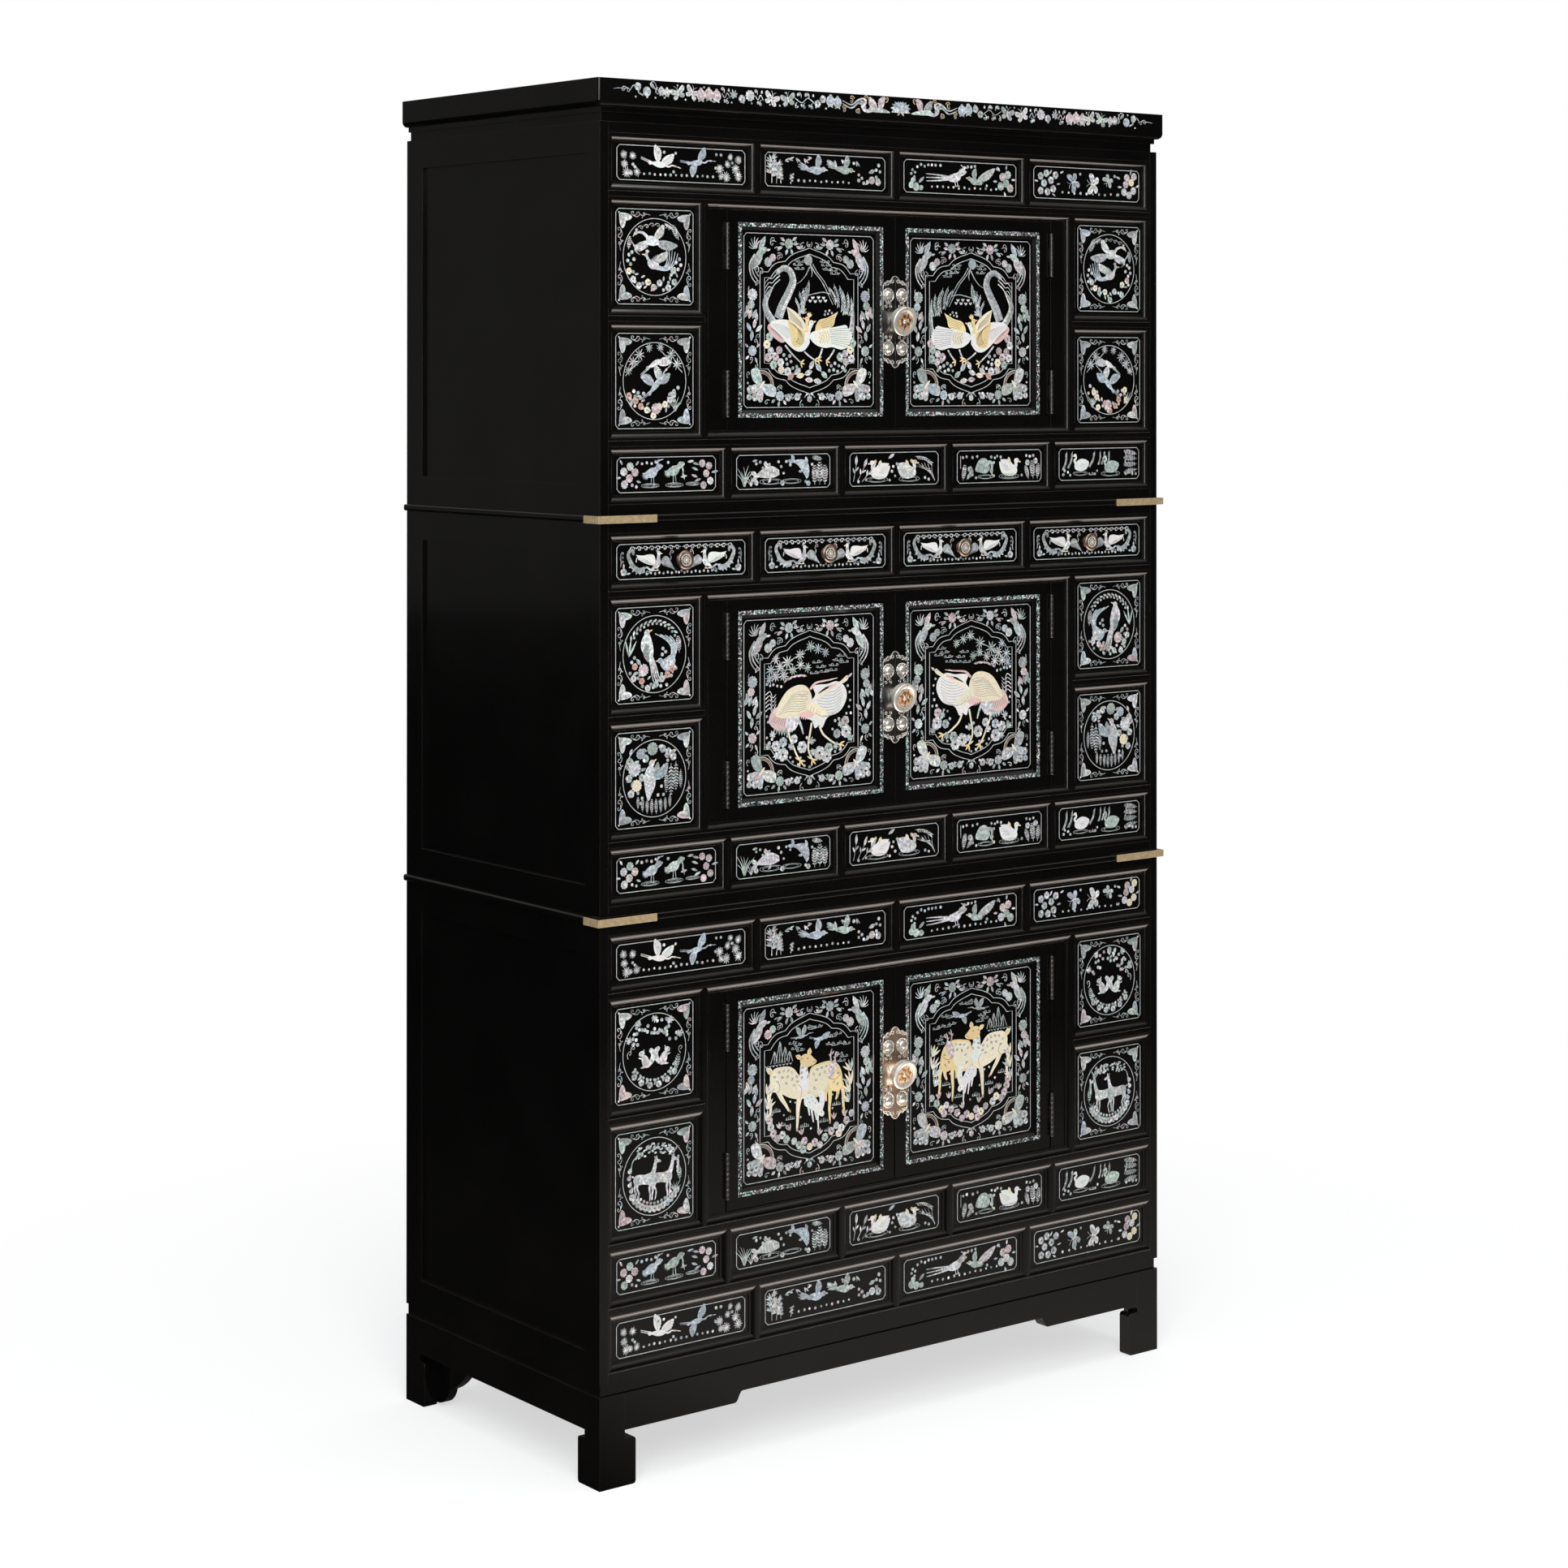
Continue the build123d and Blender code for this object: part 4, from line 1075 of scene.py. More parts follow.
# ---- metalwork ----
def cut_metal(outlines, thickness, bevel):
    """Points and faces of a flat plate with pierced holes and a small bevel; the first outline is its rim."""
    curve = bpy.data.curves.new("plate", "CURVE")
    curve.dimensions = "2D"
    curve.fill_mode = "BOTH"
    curve.extrude = (thickness / 2 - bevel) * MM
    curve.bevel_depth = bevel * MM
    curve.bevel_resolution = 1
    curve.offset = -bevel * MM
    for outline in outlines:
        spline = curve.splines.new("POLY")
        spline.points.add(len(outline) - 1)
        for point, (u, v) in zip(spline.points, outline):
            point.co = (u * MM, v * MM, 0, 1)
        spline.use_cyclic_u = True
    holder = bpy.data.objects.new("plate", curve)
    mesh = bpy.data.meshes.new_from_object(holder)
    points = [tuple(value / MM for value in vertex.co) for vertex in mesh.vertices]
    faces = [list(polygon.vertices) for polygon in mesh.polygons]
    bpy.data.objects.remove(holder)
    bpy.data.curves.remove(curve)
    bpy.data.meshes.remove(mesh)
    return points, faces


def dome(radius, height, steps=7, foot=0):
    """Profile of a dome from its rim to its crown."""
    angles = [math.pi / 2 * i / steps for i in range(steps + 1)]
    return [(radius * math.cos(a), foot + height * math.sin(a)) for a in angles]


def bead(radius, thick, steps=8):
    """Closed profile of a round ring of wire."""
    angles = [2 * math.pi * i / steps for i in range(steps + 1)]
    return [(radius + thick * math.cos(a), thick * math.sin(a)) for a in angles]


def cut_at(made, x, keep):
    """Cuts a piece on an upright plane, keeps one side and closes every shell of it."""
    mesh = bmesh.new()
    mesh.from_mesh(made.data)
    everything = mesh.verts[:] + mesh.edges[:] + mesh.faces[:]
    bmesh.ops.bisect_plane(mesh, geom=everything, plane_co=(x * MM, 0, 0), plane_no=(-keep, 0, 0), clear_outer=True)
    ends = [vert for vert in mesh.verts if vert.is_boundary]
    bmesh.ops.remove_doubles(mesh, verts=ends, dist=WELD)
    rims = [edge for edge in mesh.edges if edge.is_boundary]
    for face in bmesh.ops.edgeloop_fill(mesh, edges=rims)["faces"]:
        face.normal_update()
        if face.normal.x * keep > 0:
            face.normal_flip()
    mesh.to_mesh(made.data)
    mesh.free()


def petal_outline(length, width):
    """A pointed oval from the origin out along U."""
    side = [(length * i / 5, width / 2 * math.sin(math.pi * (i / 5) ** 0.8)) for i in range(6)]
    return side + [(u, -v) for u, v in side[-2:0:-1]]


def turned_outline(outline, angle, shift=0):
    c, s = math.cos(angle), math.sin(angle)
    return [((u + shift) * c - v * s, (u + shift) * s + v * c) for u, v in outline]


# ---- pictures of the row panels: each about the middle of its panel ----
def picture_cranes(pen):
    flying_crane(pen, -33, -1, 49, -6, "white", wings=(116, 44))
    flying_crane(pen, 22, 3, 44, 6, "sea", wings=(255, 62))
    for u, v, r in ((-84, 9, 5), (-71, 8, 5), (-83, -2, 5), (-80, -12, 6), (-65, -11, 5), (-74, -12, 3.5)):
        needles(pen, u, v, r * 1.12, "pearl", count=11, start=pen.chance.uniform(0, 50))
    for u, v, r in (
        (56, -3, 6), (66, -12, 6), (68, 3, 4.5), (80, -2, 6), (84, 9, 5), (84, -11, 6), (72, 12, 4), (58, -12, 4)
    ):
        needles(pen, u, v, r * 1.12, "pearl", count=11, start=pen.chance.uniform(0, 50))
    row_of_dots(pen, -55, 46, 14)
    berries(
        pen, ((-34, 13), (-26, 14), (-9, 13.5), (51, 14), (58, 14), (50, -2), (-71, -2), (-68, -5), (75, 5), (-12, -9))
    )


def picture_songbirds(pen):
    perched_bird(pen, -17, 1, 40, -14, "sea")
    perched_bird(pen, 27, 3, 38, -20, "leaf", tail=1.1)
    for u, height, lean in ((-84, 33, 90), (-77, 26, 84), (-70, 18, 96)):
        bamboo(pen, u, -17, height, lean)
    bamboo(pen, -55, -17, 13, 80, leaves=5)
    for u, v, turn in (
        (-64, 11, 24), (-58, 13, 20), (-47, 15, -30), (-34, 15, -40), (-22, 16, 200), (2, 15, -40), (14, 15, -70),
        (24, 16, -30), (37, 15, 210), (48, 15, -50)
    ):
        leaf(pen, u, v, 9, 2.2, turn)
        leaf(pen, u, v, 7, 1.8, turn - 30)
    row_of_dots(pen, -43, 36, 10)
    berries(
        pen, ((52, -9), (57, -6), (52, -2), (60, -12), (66, -10), (84, 11), (80, 5), (86, 3), (44, 12), (80, -4)), 2.2
    )
    bloom(pen, 73, -8, 5)
    leaf(pen, 68, 1, 11, 5, 20, None, True)
    blossom(pen, 83, -10, 4.5)
    leaf(pen, 62, -14, 9, 3, 30)


def picture_pheasants(pen):
    pheasant(pen, -11, 0, 60, 4, "pearl")
    perched_bird(pen, 25, -4, 34, 0, "leaf", flip=True, tail=0.4)
    wing(pen, 27, -3, 34, 9, 33, "pearl", quills=8)
    each(
        dot, pen,
        (
            (-80, 8), (-76, 5), (-82, 3), (-77, -1), (-72, 12), (-66, 15), (-54, 15), (-48, 15), (-42, 15), (-34, 15),
            (-60, 13)
        ),
        1.9
    )
    pebbles(pen, ((-82, -11, 5), (-74, -13, 5.5), (-79, -5, 4), (-66, -14, 4)), "leaf")
    leaf(pen, -70, -8, 12, 4, 40, None, True)
    row_of_dots(pen, -48, 60, 13)
    berries(pen, ((12, 15), (18, 15), (24, 16), (56, 13), (62, 14), (44, -8)))
    for u, v in ((68, -8), (77, -4), (71, 4), (80, 7), (84, -10)):
        bloom(pen, u, v, 5.6, pen.chance.choice(("pearl", "rose", "leaf")), 9)
    leaves(pen, ((66, 11, 120), (77, 13, 80), (86, 1, 0), (62, -2, 180), (74, -15, -70)), 7, 3)


def picture_butterflies(pen):
    butterfly(pen, -24, 2, 13, 205, "sea")
    butterfly(pen, 11, 0, 14, 172, "pearl")
    butterfly(pen, 38, 6, 9.5, 232, "leaf")
    for u, v in ((-82, 8), (-72, 12), (-76, -1), (-64, 3), (-82, -11), (-70, -12), (-60, -8), (-56, 10)):
        blossom(pen, u, v, 4.8, 5, turn=pen.chance.uniform(0, 70))
    leaves(pen, ((-66, 11, 60), (-86, 1, 170), (-62, -14, -30), (-54, -2, 10), (-48, 13, 20)), 7, 2.6)
    for u, v in ((67, -8), (76, -12), (84, -6), (70, 2), (80, 5), (72, 11), (85, 13)):
        bloom(pen, u, v, 5.2, pen.chance.choice(("cream", "rose", "pearl")), 9)
    leaves(pen, ((60, 9, 160), (63, -2, 175), (88, -1, 20), (78, 15, 70)), 8, 3)
    row_of_dots(pen, -44, 54, 10)
    berries(pen, ((50, 12), (-12, 13), (56, -12)))


def picture_herons(pen):
    heron(pen, -21, 2, 33, "sea")
    heron(pen, 11, 4, 33, "leaf", stoop=True)
    ripples(pen, -24, -13, 26)
    ripples(pen, 11, -13, 26)
    ripples(pen, 38, -12, 20)
    for u, v in ((-62, 4), (-53, 10), (-54, -4), (-46, 3), (-61, -11)):
        bloom(pen, u, v, 5.2, pen.chance.choice(("pearl", "rose", "leaf")), 9)
    leaves(pen, ((-64, 12, 120), (-45, 11, 50), (-44, -7, -20), (-66, -3, 180)), 7, 2.8)
    berries(pen, ((-36, 13), (-29, 14), (-22, 13), (-16, 15), (-50, -12), (-44, -14), (2, 14)))
    for u, v in ((52, 12), (62, 9), (58, 0), (64, -9), (54, -14)):
        bloom(pen, u, v, 4.8, pen.chance.choice(("pearl", "rose")), 9)
    leaves(
        pen, ((30, 14, 8), (38, 13, -14), (46, 4, 160), (50, -6, 200), (66, 1, 10), (36, -1, -20), (30, -2, 190)), 10,
        3, None, True
    )


def picture_carp(pen):
    fish(pen, -24, -3, 46, 6, "pearl", bend=2)
    fish(pen, 26, 2, 40, -42, "sea", bend=7)
    grass(pen, -60, -17, 26, "leaf", 7, 34)
    grass(pen, -50, -17, 15, None, 5, 46)
    for u, height in ((48, 24), (56, 28), (64, 24)):
        fern(pen, u, -17, height, 90, None)
    fern(pen, 60, 14, 16, 170, None)
    ripples(pen, -20, -12, 34, 2)
    ripples(pen, 12, -12, 30, 2)
    berries(
        pen,
        (
            (-42, 10), (-36, 12), (-28, 11), (-22, 9), (-8, 12), (-4, 6), (4, 12), (10, 8), (44, 8), (-32, 5), (0, -2),
            (34, -13)
        )
    )
    each(blossom, pen, ((-2, -14), (-42, -13), (38, -15)), 3.2)
    leaf(pen, -48, 13, 8, 3, 10)


def picture_mandarins(pen):
    duck(pen, -26, -2, 33, 0, "white", flip=True, crest=True)
    duck(pen, 23, -2, 33, 0, "pearl", crest=True)
    for u, turn in ((-66, 78), (-60, 58), (-52, 44)):
        here = pen.at(u, -15, turn)
        here.line([(0, 0), (24, 0)], 0.7, None, end=0.4)
        leaf(here, 20, 0, 13, 4.2, 8, None, True)
        leaf(here, 10, 0, 8, 2.6, 34)
        leaf(here, 13, 0, 8, 2.6, -34)
    leaf(pen, -10, 13, 12, 4, 30, None, True)
    for k in range(6):
        here = pen.at(66 - k * 1.5, -16 + k * 3, 104 + 13 * k)
        here.curve([(0, 0), (11, 1.6), (22, 0)], 1.3, None, 0.3)
    willow(pen, 34, 15, 26, -22)
    ripples(pen, -28, -13, 34, 2)
    ripples(pen, 24, -13, 34, 2)
    berries(pen, ((-4, -3), (1, -9), (4, 6), (-2, 3), (50, -12), (56, -14), (-46, -13), (46, 2), (-58, -15), (-8, -14)))


def picture_divers(pen):
    diving_duck(pen, -26, 0, 32, "leaf")
    duck(pen, 18, -2, 34, -6, "white")
    each(fern, pen, ((-62, -17, 20, 80), (-56, -16, 16, 46), (58, -17, 24, 96), (65, -17, 20, 84), (50, -17, 18, 108)))
    berries(
        pen,
        (
            (-62, 12), (-56, 13), (-46, 12), (-38, 13), (-14, 12), (-8, 11), (-4, 13), (2, 12), (-10, 5), (46, 13),
            (52, 12), (58, 13), (-46, -10), (-40, -14), (-10, -12), (38, -12)
        )
    )
    ripples(pen, -24, -13, 26, 2)
    ripples(pen, 16, -13, 34, 3)
    each(blossom, pen, ((-50, -3), (62, 6), (48, 4)), 3.8)
    pen.line([(-66, 14), (-66, -2)], 0.8)


def picture_swans(pen):
    swan(pen, -34, -1, 31, 0, "white", flip=True)
    swan(pen, 20, -4, 31, 0, "leaf", flip=True)
    for u, drop, turn in (
        (-66, 22, -108), (-56, 20, -112), (-16, 20, -118), (-6, 16, -104), (2, 16, -112), (10, 18, -106), (40, 14, -98)
    ):
        willow(pen, u + 8, 17, drop, turn)
    for v, turn in ((12, 170), (6, 176), (-1, 182), (-8, 190)):
        fern(pen, 68, v, 24, turn, None, 7, 0.2)
    berries(
        pen,
        ((-62, -8), (-64, -13), (-56, -10), (-52, -14), (-8, -13), (-4, -9), (54, -12), (60, -14), (48, -14), (66, -14))
    )
    ripples(pen, -34, -12, 26, 2)
    ripples(pen, 20, -13, 34, 2)
    cloud(pen, -14, -14, 9)


def picture_drawer(pen):
    """Two phoenixes with spread wings either side of the pull, under a band of linked scrolls."""
    for flip in (False, True):
        here = pen.at(0, 0, 0, 1, flip)
        plume(
            here, [(-54, -10), (-62, -11), (-70, -6.5), (-75, 1), (-77.5, 8), (-74.5, 13), (-70, 11), (-71, 8)], 7.2,
            "mist", 14
        )
        for u, v, turn in (
            (-55, -12.5, 235), (-59.5, -13.4, 245), (-64, -13, 235), (-68.5, -10.6, 225), (-72.5, -6.4, 210)
        ):
            leaf(here, u, v + 1.6, 4.8, 2, turn, "sea")
        here.curve([(-39, -6), (-45, -10.5), (-51, -7.5), (-56, -9.5)], 3.2, "sea", 1.4, 4)
        curl(here, -47, -8.5, 5, 250, 1.2, "mist")
        curl(here, -66, -1, 5, 60, 1.2, "pearl")
        outer = [
            (-67, 7.8), (-65.6, 5), (-63.4, 2.4), (-60.2, 0.2), (-56.4, -1.6), (-52.4, -3.2), (-47.6, -4.6), (-43, -5.4)
        ]
        spread_wing(here, (-38, -3), [(-39, 3.5), (-42, 7.2), (-49, 7.6), (-57, 6.6)], outer, "white")
        inner = [(-9.5, -12.5), (-12.8, -10.6), (-16.2, -9.6), (-19.6, -8.4), (-23.2, -7.2), (-27.4, -6)]
        spread_wing(here, (-31, -2), [(-27.5, 3.2), (-23.2, 5), (-19, 2.6), (-14, -5.4)], inner, "mist")
        here.blob(
            [
                (-35.2, 8), (-36.4, 2), (-39.4, -3.4), (-42, -7), (-38.6, -9.2), (-33.6, -7.6), (-30.6, -3), (-31.6, 2),
                (-31.8, 8)
            ],
            "pearl"
        )
        oval(here, -33.4, 8.8, 2.5, 2.3, 0, "white")
        feathers(here, -34.6, 10.2, 4.2, 4, 95, 165, 0.26, "mist", False)
        leaf(here, -31.6, 8.6, 3.6, 1.6, -12, "gold")
        dot(here, -32.8, 9.4, 0.45, "ink", 6)
        for x in (-40, -35):
            here.line([(x, -8.6), (x - 1.6, -11.4)], 0.8, "cream")
            here.line([(x - 4, -11.8), (x + 1.4, -11.2)], 0.9, "cream")
        blossom(here, -84, -12, 4.4, 5, turn=18)
        leaf(here, -84, -8, 6, 2.8, 90, "sea")
        leaf(here, -80, -14.4, 6, 2.6, 8, "leaf")
        here.curve([(-88.6, -6), (-87.6, -1), (-89, 4), (-87.8, 9)], 0.8, None, 0.3)
        for v in (-3, 2, 7):
            curl(here, -88, v, 3.4, 60, 0.7)
        curl(here, -17, 6, 4.4, 60, 0.9, "rose")
        curl(here, -16, 5, 4, 250, 0.9)
        for k in range(8):
            u = -71 + 9.2 * k
            ring = [(u - 3.8, 14.8), (u - 1.8, 17.2), (u + 1.6, 16.6), (u + 1.8, 13.6), (u - 1, 13.4), (u - 0.6, 15.2)]
            here.curve(ring, 0.9, "pearl")
            here.line([(u + 1.6, 16.6), (u + 5.2, 15.2)], 0.8, "pearl")
        for k in range(8):
            leaf(here, -51 + 6.1 * k, -13.4 + (k % 2) * 0.9, 3.6, 3.2, 270)
    berries(pen, ((-4, -15), (4, -15.5), (0, -13)), 1.7)


ROW_PICTURES = {
    "long": (picture_cranes, picture_songbirds, picture_pheasants, picture_butterflies),
    "short": (picture_herons, picture_carp, picture_mandarins, picture_divers, picture_swans),
    "drawers": (picture_drawer,) * 4,
}


# ---- pictures of the square panels: a round picture inside the ring, butterflies in the corners ----
def square_corners(pen):
    """A folded butterfly in each corner, with tendrils running from it along the sides."""
    reach = 51.5
    for turn in (0, 90, 180, 270):
        here = pen.at(0, 0, turn)
        corner_butterfly(here, -reach, -reach, 19)
        for flip in (False, True):
            side = here.at(-reach, -reach, -90 if flip else 0, 1, flip)
            curl(side, 20.5, 3, 6.4, -6, 0.9)
            curl(side, 24.5, 2.2, 5, 14, 0.8, None, True)
            curl(side, 31, 1.6, 4.6, 4, 0.8)
            side.curve([(35, 1.8), (40, 1.2), (45, 2.4)], 0.8, None, 0.3)
            dot(side, 33.5, 5.2, 0.8)


def ground_flowers(pen, tones=("pearl", "rose", "cream", "leaf"), count=26):
    """Blossoms and berries heaped along the bottom of a round picture."""
    for i in range(count):
        angle = math.radians(205 + 130 * i / (count - 1))
        reach = pen.chance.choice((41, 36, 31.5))
        u, v = reach * math.cos(angle), reach * math.sin(angle)
        if i % 3 == 0:
            blossom(pen, u, v, 4, 5, pen.chance.choice(tones), turn=10 * i)
        elif i % 3 == 1:
            dot(pen, u, v, 2.1)
        else:
            leaf(pen, u, v, 6.5, 2.6, math.degrees(angle) + 150)


def round_phoenixes(pen):
    """Two phoenixes, one above the other, with swept tails."""
    for k in range(5):
        path = [(-10, 19 - 1.5 * k), (-21, 16 - 2.2 * k), (-29, 13 - 1.4 * k), (-34 + 3.2 * k, 19 - 4.2 * k)]
        pen.curve(path, 2.4, "pearl", 0.7, 4)
        path = [(3, -10 - 1 * k), (13 + 1.2 * k, -12 - 0.8 * k), (18 + 2.6 * k, -4 - k), (17 + 4.2 * k, 12 - 1.8 * k)]
        pen.curve(path, 2.4, "sea", 0.7, 4)
    pen.curve([(-9, 21), (-15, 27), (-22, 29), (-28, 27)], 4.4, "pearl", 1.8, 4)
    oval(pen, -27.5, 27.5, 2.6, 2, 200, "pearl")
    leaf(pen, -29, 27, 4.4, 1.4, 238, "gold")
    feathers(pen, -26.5, 29, 5, 3, 60, 110, 0.28, "rose", False)
    wing(pen, -1, 20, 22, 8.5, 58, "pearl", quills=8)
    wing(pen, 1, 17, 31, 9.5, -1, "mist", quills=9)
    pen.blob([(-12, 23), (-4, 25), (5, 21), (6, 16), (-2, 13), (-10, 15)], "pearl", 3)
    wing(pen, -8, -8, 26, 8.5, 192, "mist", flip=True, quills=8)
    wing(pen, 1, -4, 20, 8, 34, "pearl", quills=8)
    pen.curve([(-6, -7), (-10, -2), (-12, 2)], 4.6, "sea", 2.6)
    oval(pen, -12.6, 2.6, 2.8, 2.2, 30, "sea")
    leaf(pen, -14.5, 2.6, 4.4, 1.5, 176, "gold")
    feathers(pen, -11.5, 4, 5.4, 4, 40, 110, 0.28, "rose", False)
    pen.blob([(-9, -4), (-1, -5), (6, -9), (4, -14), (-5, -14), (-10, -9)], "pearl", 3)
    ground_flowers(pen)
    each(dot, pen, ((-37, 2), (-39, -5), (-35, -9), (-30, -3), (36, -2), (38, -9), (34, -14), (-33, 5), (31, -6)), 2.3)
    fern(pen, 35, 21, 20, 118, None, 7)
    fern(pen, -38, 8, 16, 82, None, 6)
    leaf(pen, 14, 40, 14, 3.4, -28, None, True)
    for k in range(6):
        curl(pen, -24 + 8 * k, 38.5 - abs(k - 2.5) * 1.7, 4.5, 10, 0.8)


def round_cranes(pen):
    flying_crane(pen, 1, 21, 46, 205, "pearl", flip=True, wings=(105, 28))
    flying_crane(pen, 2, -5, 50, 48, "sea", wings=(112, -14))
    for u, v, r, start in (
        (-31, 22, 8, 10), (-22, 31, 8, 20), (-8, 39, 6, 0), (8, 40, 6, 0), (24, 31, 8, 30), (33, 20, 8, 10),
        (-38, 12, 6, 0)
    ):
        needles(pen, u, v, r, count=9, start=start)
    pen.curve([(40, 10), (34, 16), (20, 26), (10, 35)], 1)
    pen.curve([(-42, 6), (-34, 14), (-20, 24)], 1)
    each(
        dot, pen,
        ((-30, -12), (-24, -14), (-28, -18), (-21, -20), (-16, -15), (22, -16), (28, -12), (26, -20), (34, -8)), 2.4
    )
    ground_flowers(pen, tones=("pearl", "cream", "coral"))
    grass(pen, 30, -36, 18, "leaf", 7, 40)
    grass(pen, -34, -30, 16, None, 5, 40)
    bloom(pen, 2, -33, 7, "rose")


def long_tailed_birds(pen):
    """Two perched birds, one with its tail hanging straight down, one with its tail thrown up."""
    for k in range(4):
        path = [(-8 + 1.6 * k, -4), (-5 + 2.4 * k, -16), (-3 + 3.2 * k, -28), (1 + 4 * k, -37 + 1.6 * k)]
        plume(pen, path, 2.8, "pearl", 7)
    pen.blob([(-14, 24), (-8, 24), (-3, 12), (-2, 0), (-6, -9), (-12, -2), (-19, 6), (-19, 16)], "pearl", 4)
    wing(pen, -12, 14, 22, 7.5, -78, "mist", quills=9)
    oval(pen, -11, 26, 4.2, 3.4, 30, "pearl")
    leaf(pen, -8, 27, 5.4, 1.8, 20, "gold")
    dot(pen, -10.4, 27, 0.6, "ink", 6)
    for k in range(4):
        path = [(24 + 1.2 * k, -6), (25 + 2.2 * k, 6), (17 + 3.4 * k, 16), (1 + 7 * k, 24 - 1.2 * k)]
        plume(pen, path, 3.2, "sea", 8)
    pen.blob([(8, -10), (15, -6), (24, -2), (30, -8), (27, -17), (18, -21), (11, -17)], "sea", 4)
    wing(pen, 17, -8, 17, 7.5, -28, "pearl", quills=7)
    oval(pen, 8, -8, 3.6, 3, 20, "sea")
    leaf(pen, 5.6, -8, 4.6, 1.5, 190, "gold")
    dot(pen, 7.4, -7.4, 0.6, "ink", 6)
    bloom(pen, -16, -18, 7.5, "rose", 12)
    leaf(pen, -20, -12, 10, 5, 130, "leaf", True)
    leaf(pen, -23, -20, 9, 4, 200, "leaf", True)
    each(
        dot, pen,
        (
            (-33, -8), (-28, -14), (-24, -27), (-2, -39), (9, -38), (14, -28), (10, -24), (-36, 2), (-29, -3), (16, 2),
            (12, 6), (11, -1), (20, -26)
        ),
        2.2
    )
    ground_flowers(pen, tones=("pearl", "leaf", "coral"), count=24)
    for k in range(12):
        angle = math.radians(35 + 10 * k)
        leaf(pen, 41 * math.cos(angle), 41 * math.sin(angle), 7, 3, math.degrees(angle) + 120)
        dot(pen, 36 * math.cos(angle), 36 * math.sin(angle), 1.7)
    for lean in (60, 82, 104):
        leaf(pen, -37, -2, 22, 2.6, lean, "leaf")
    fern(pen, 36, 0, 20, 96, None, 7)


def vine_bird(pen):
    """A bird with one wing raised among great blossoms, hanging vines and ferns."""
    pen.blob([(-7, 16), (-2, 14), (1, 4), (1, -8), (-4, -18), (-9, -26), (-13, -16), (-15, -2), (-13, 9)], "pearl", 4)
    for y in range(-18, 10, 4):
        pen.line([(-13 - y * 0.05, y + 2), (-7, y - 1), (-1, y + 2)], 0.3, "ink")
    wing(pen, 1, -2, 25, 9.5, 52, "sea", quills=9)
    wing(pen, -1, 2, 17, 6.5, 76, "mist", quills=6)
    oval(pen, -4, 18, 4.4, 3.8, 60, "pearl")
    leaf(pen, -1.4, 19.5, 5.4, 1.8, 36, "gold")
    dot(pen, -3.4, 19.2, 0.6, "ink", 6)
    each(
        bloom, pen,
        ((-3, 35, 8, "leaf", 13), (-29, 13, 9.5, "pearl", 14), (-26, -7, 7.5, "cream", 12), (-20, 30, 6.5, "sea", 11))
    )
    for u, v in ((-37, 2), (-13, 24), (12, 34), (20, 30), (27, 24), (-36, 22), (-18, 2), (-34, -16)):
        blossom(pen, u, v, 4.6, turn=pen.chance.uniform(0, 70))
    leaves(
        pen,
        (
            (-11, 32, 150), (5, 36, 20), (-22, 22, 200), (-38, 12, 120), (-20, 10, 20), (14, 27, -30), (24, 30, 10),
            (-30, -1, 240), (-36, 30, 60)
        ),
        8, 3.6, None, True
    )
    for i in range(8):
        u = -24 + 6.6 * i
        fern(pen, u, -math.sqrt(42**2 - u**2), 18 - abs(3.5 - i), 90, None, 7, 0.2)
    each(fern, pen, ((17, 8, 26), (24, 16, 38), (31, 18, 34), (38, 8, 22)), -90, None, 9, 0.16)
    each(
        dot, pen, ((-18, -22), (-24, -16), (-20, -28), (10, -10), (13, -20), (5, -20), (8, -28), (14, 14), (19, 20)), 2
    )


def round_squirrels(pen):
    squirrel(pen, -15, -6, 33, "pearl", flip=True)
    squirrel(pen, 15, -5, 33, "pearl")
    for _ in range(46):
        angle = math.radians(pen.chance.uniform(12, 168))
        reach = pen.chance.uniform(22, 42)
        u, v = reach * math.cos(angle), reach * math.sin(angle)
        if v > 8 + abs(u) * 0.12:
            dot(pen, u, v, 2.2)
    for u, v, turn in ((-22, 36, 200), (0, 41, 270), (22, 36, -20), (-36, 16, 120), (36, 16, 60)):
        maple(pen, u, v, 7, turn)
    each(curl, pen, ((-38, -4, 6, 80), (38, -6, 6, 100), (-34, 4, 5, 60)), 0.9)
    for k in range(13):
        angle = math.radians(212 + 9.6 * k)
        u, v = 39 * math.cos(angle), 39 * math.sin(angle)
        if k % 2:
            blossom(pen, u, v, 4, 5, turn=9 * k)
        else:
            leaf(pen, u, v, 8, 3.4, math.degrees(angle) + 160, "leaf")
        dot(pen, u * 0.84, v * 0.84, 1.7)
    fern(pen, 30, -26, 20, 75, "leaf", 6)


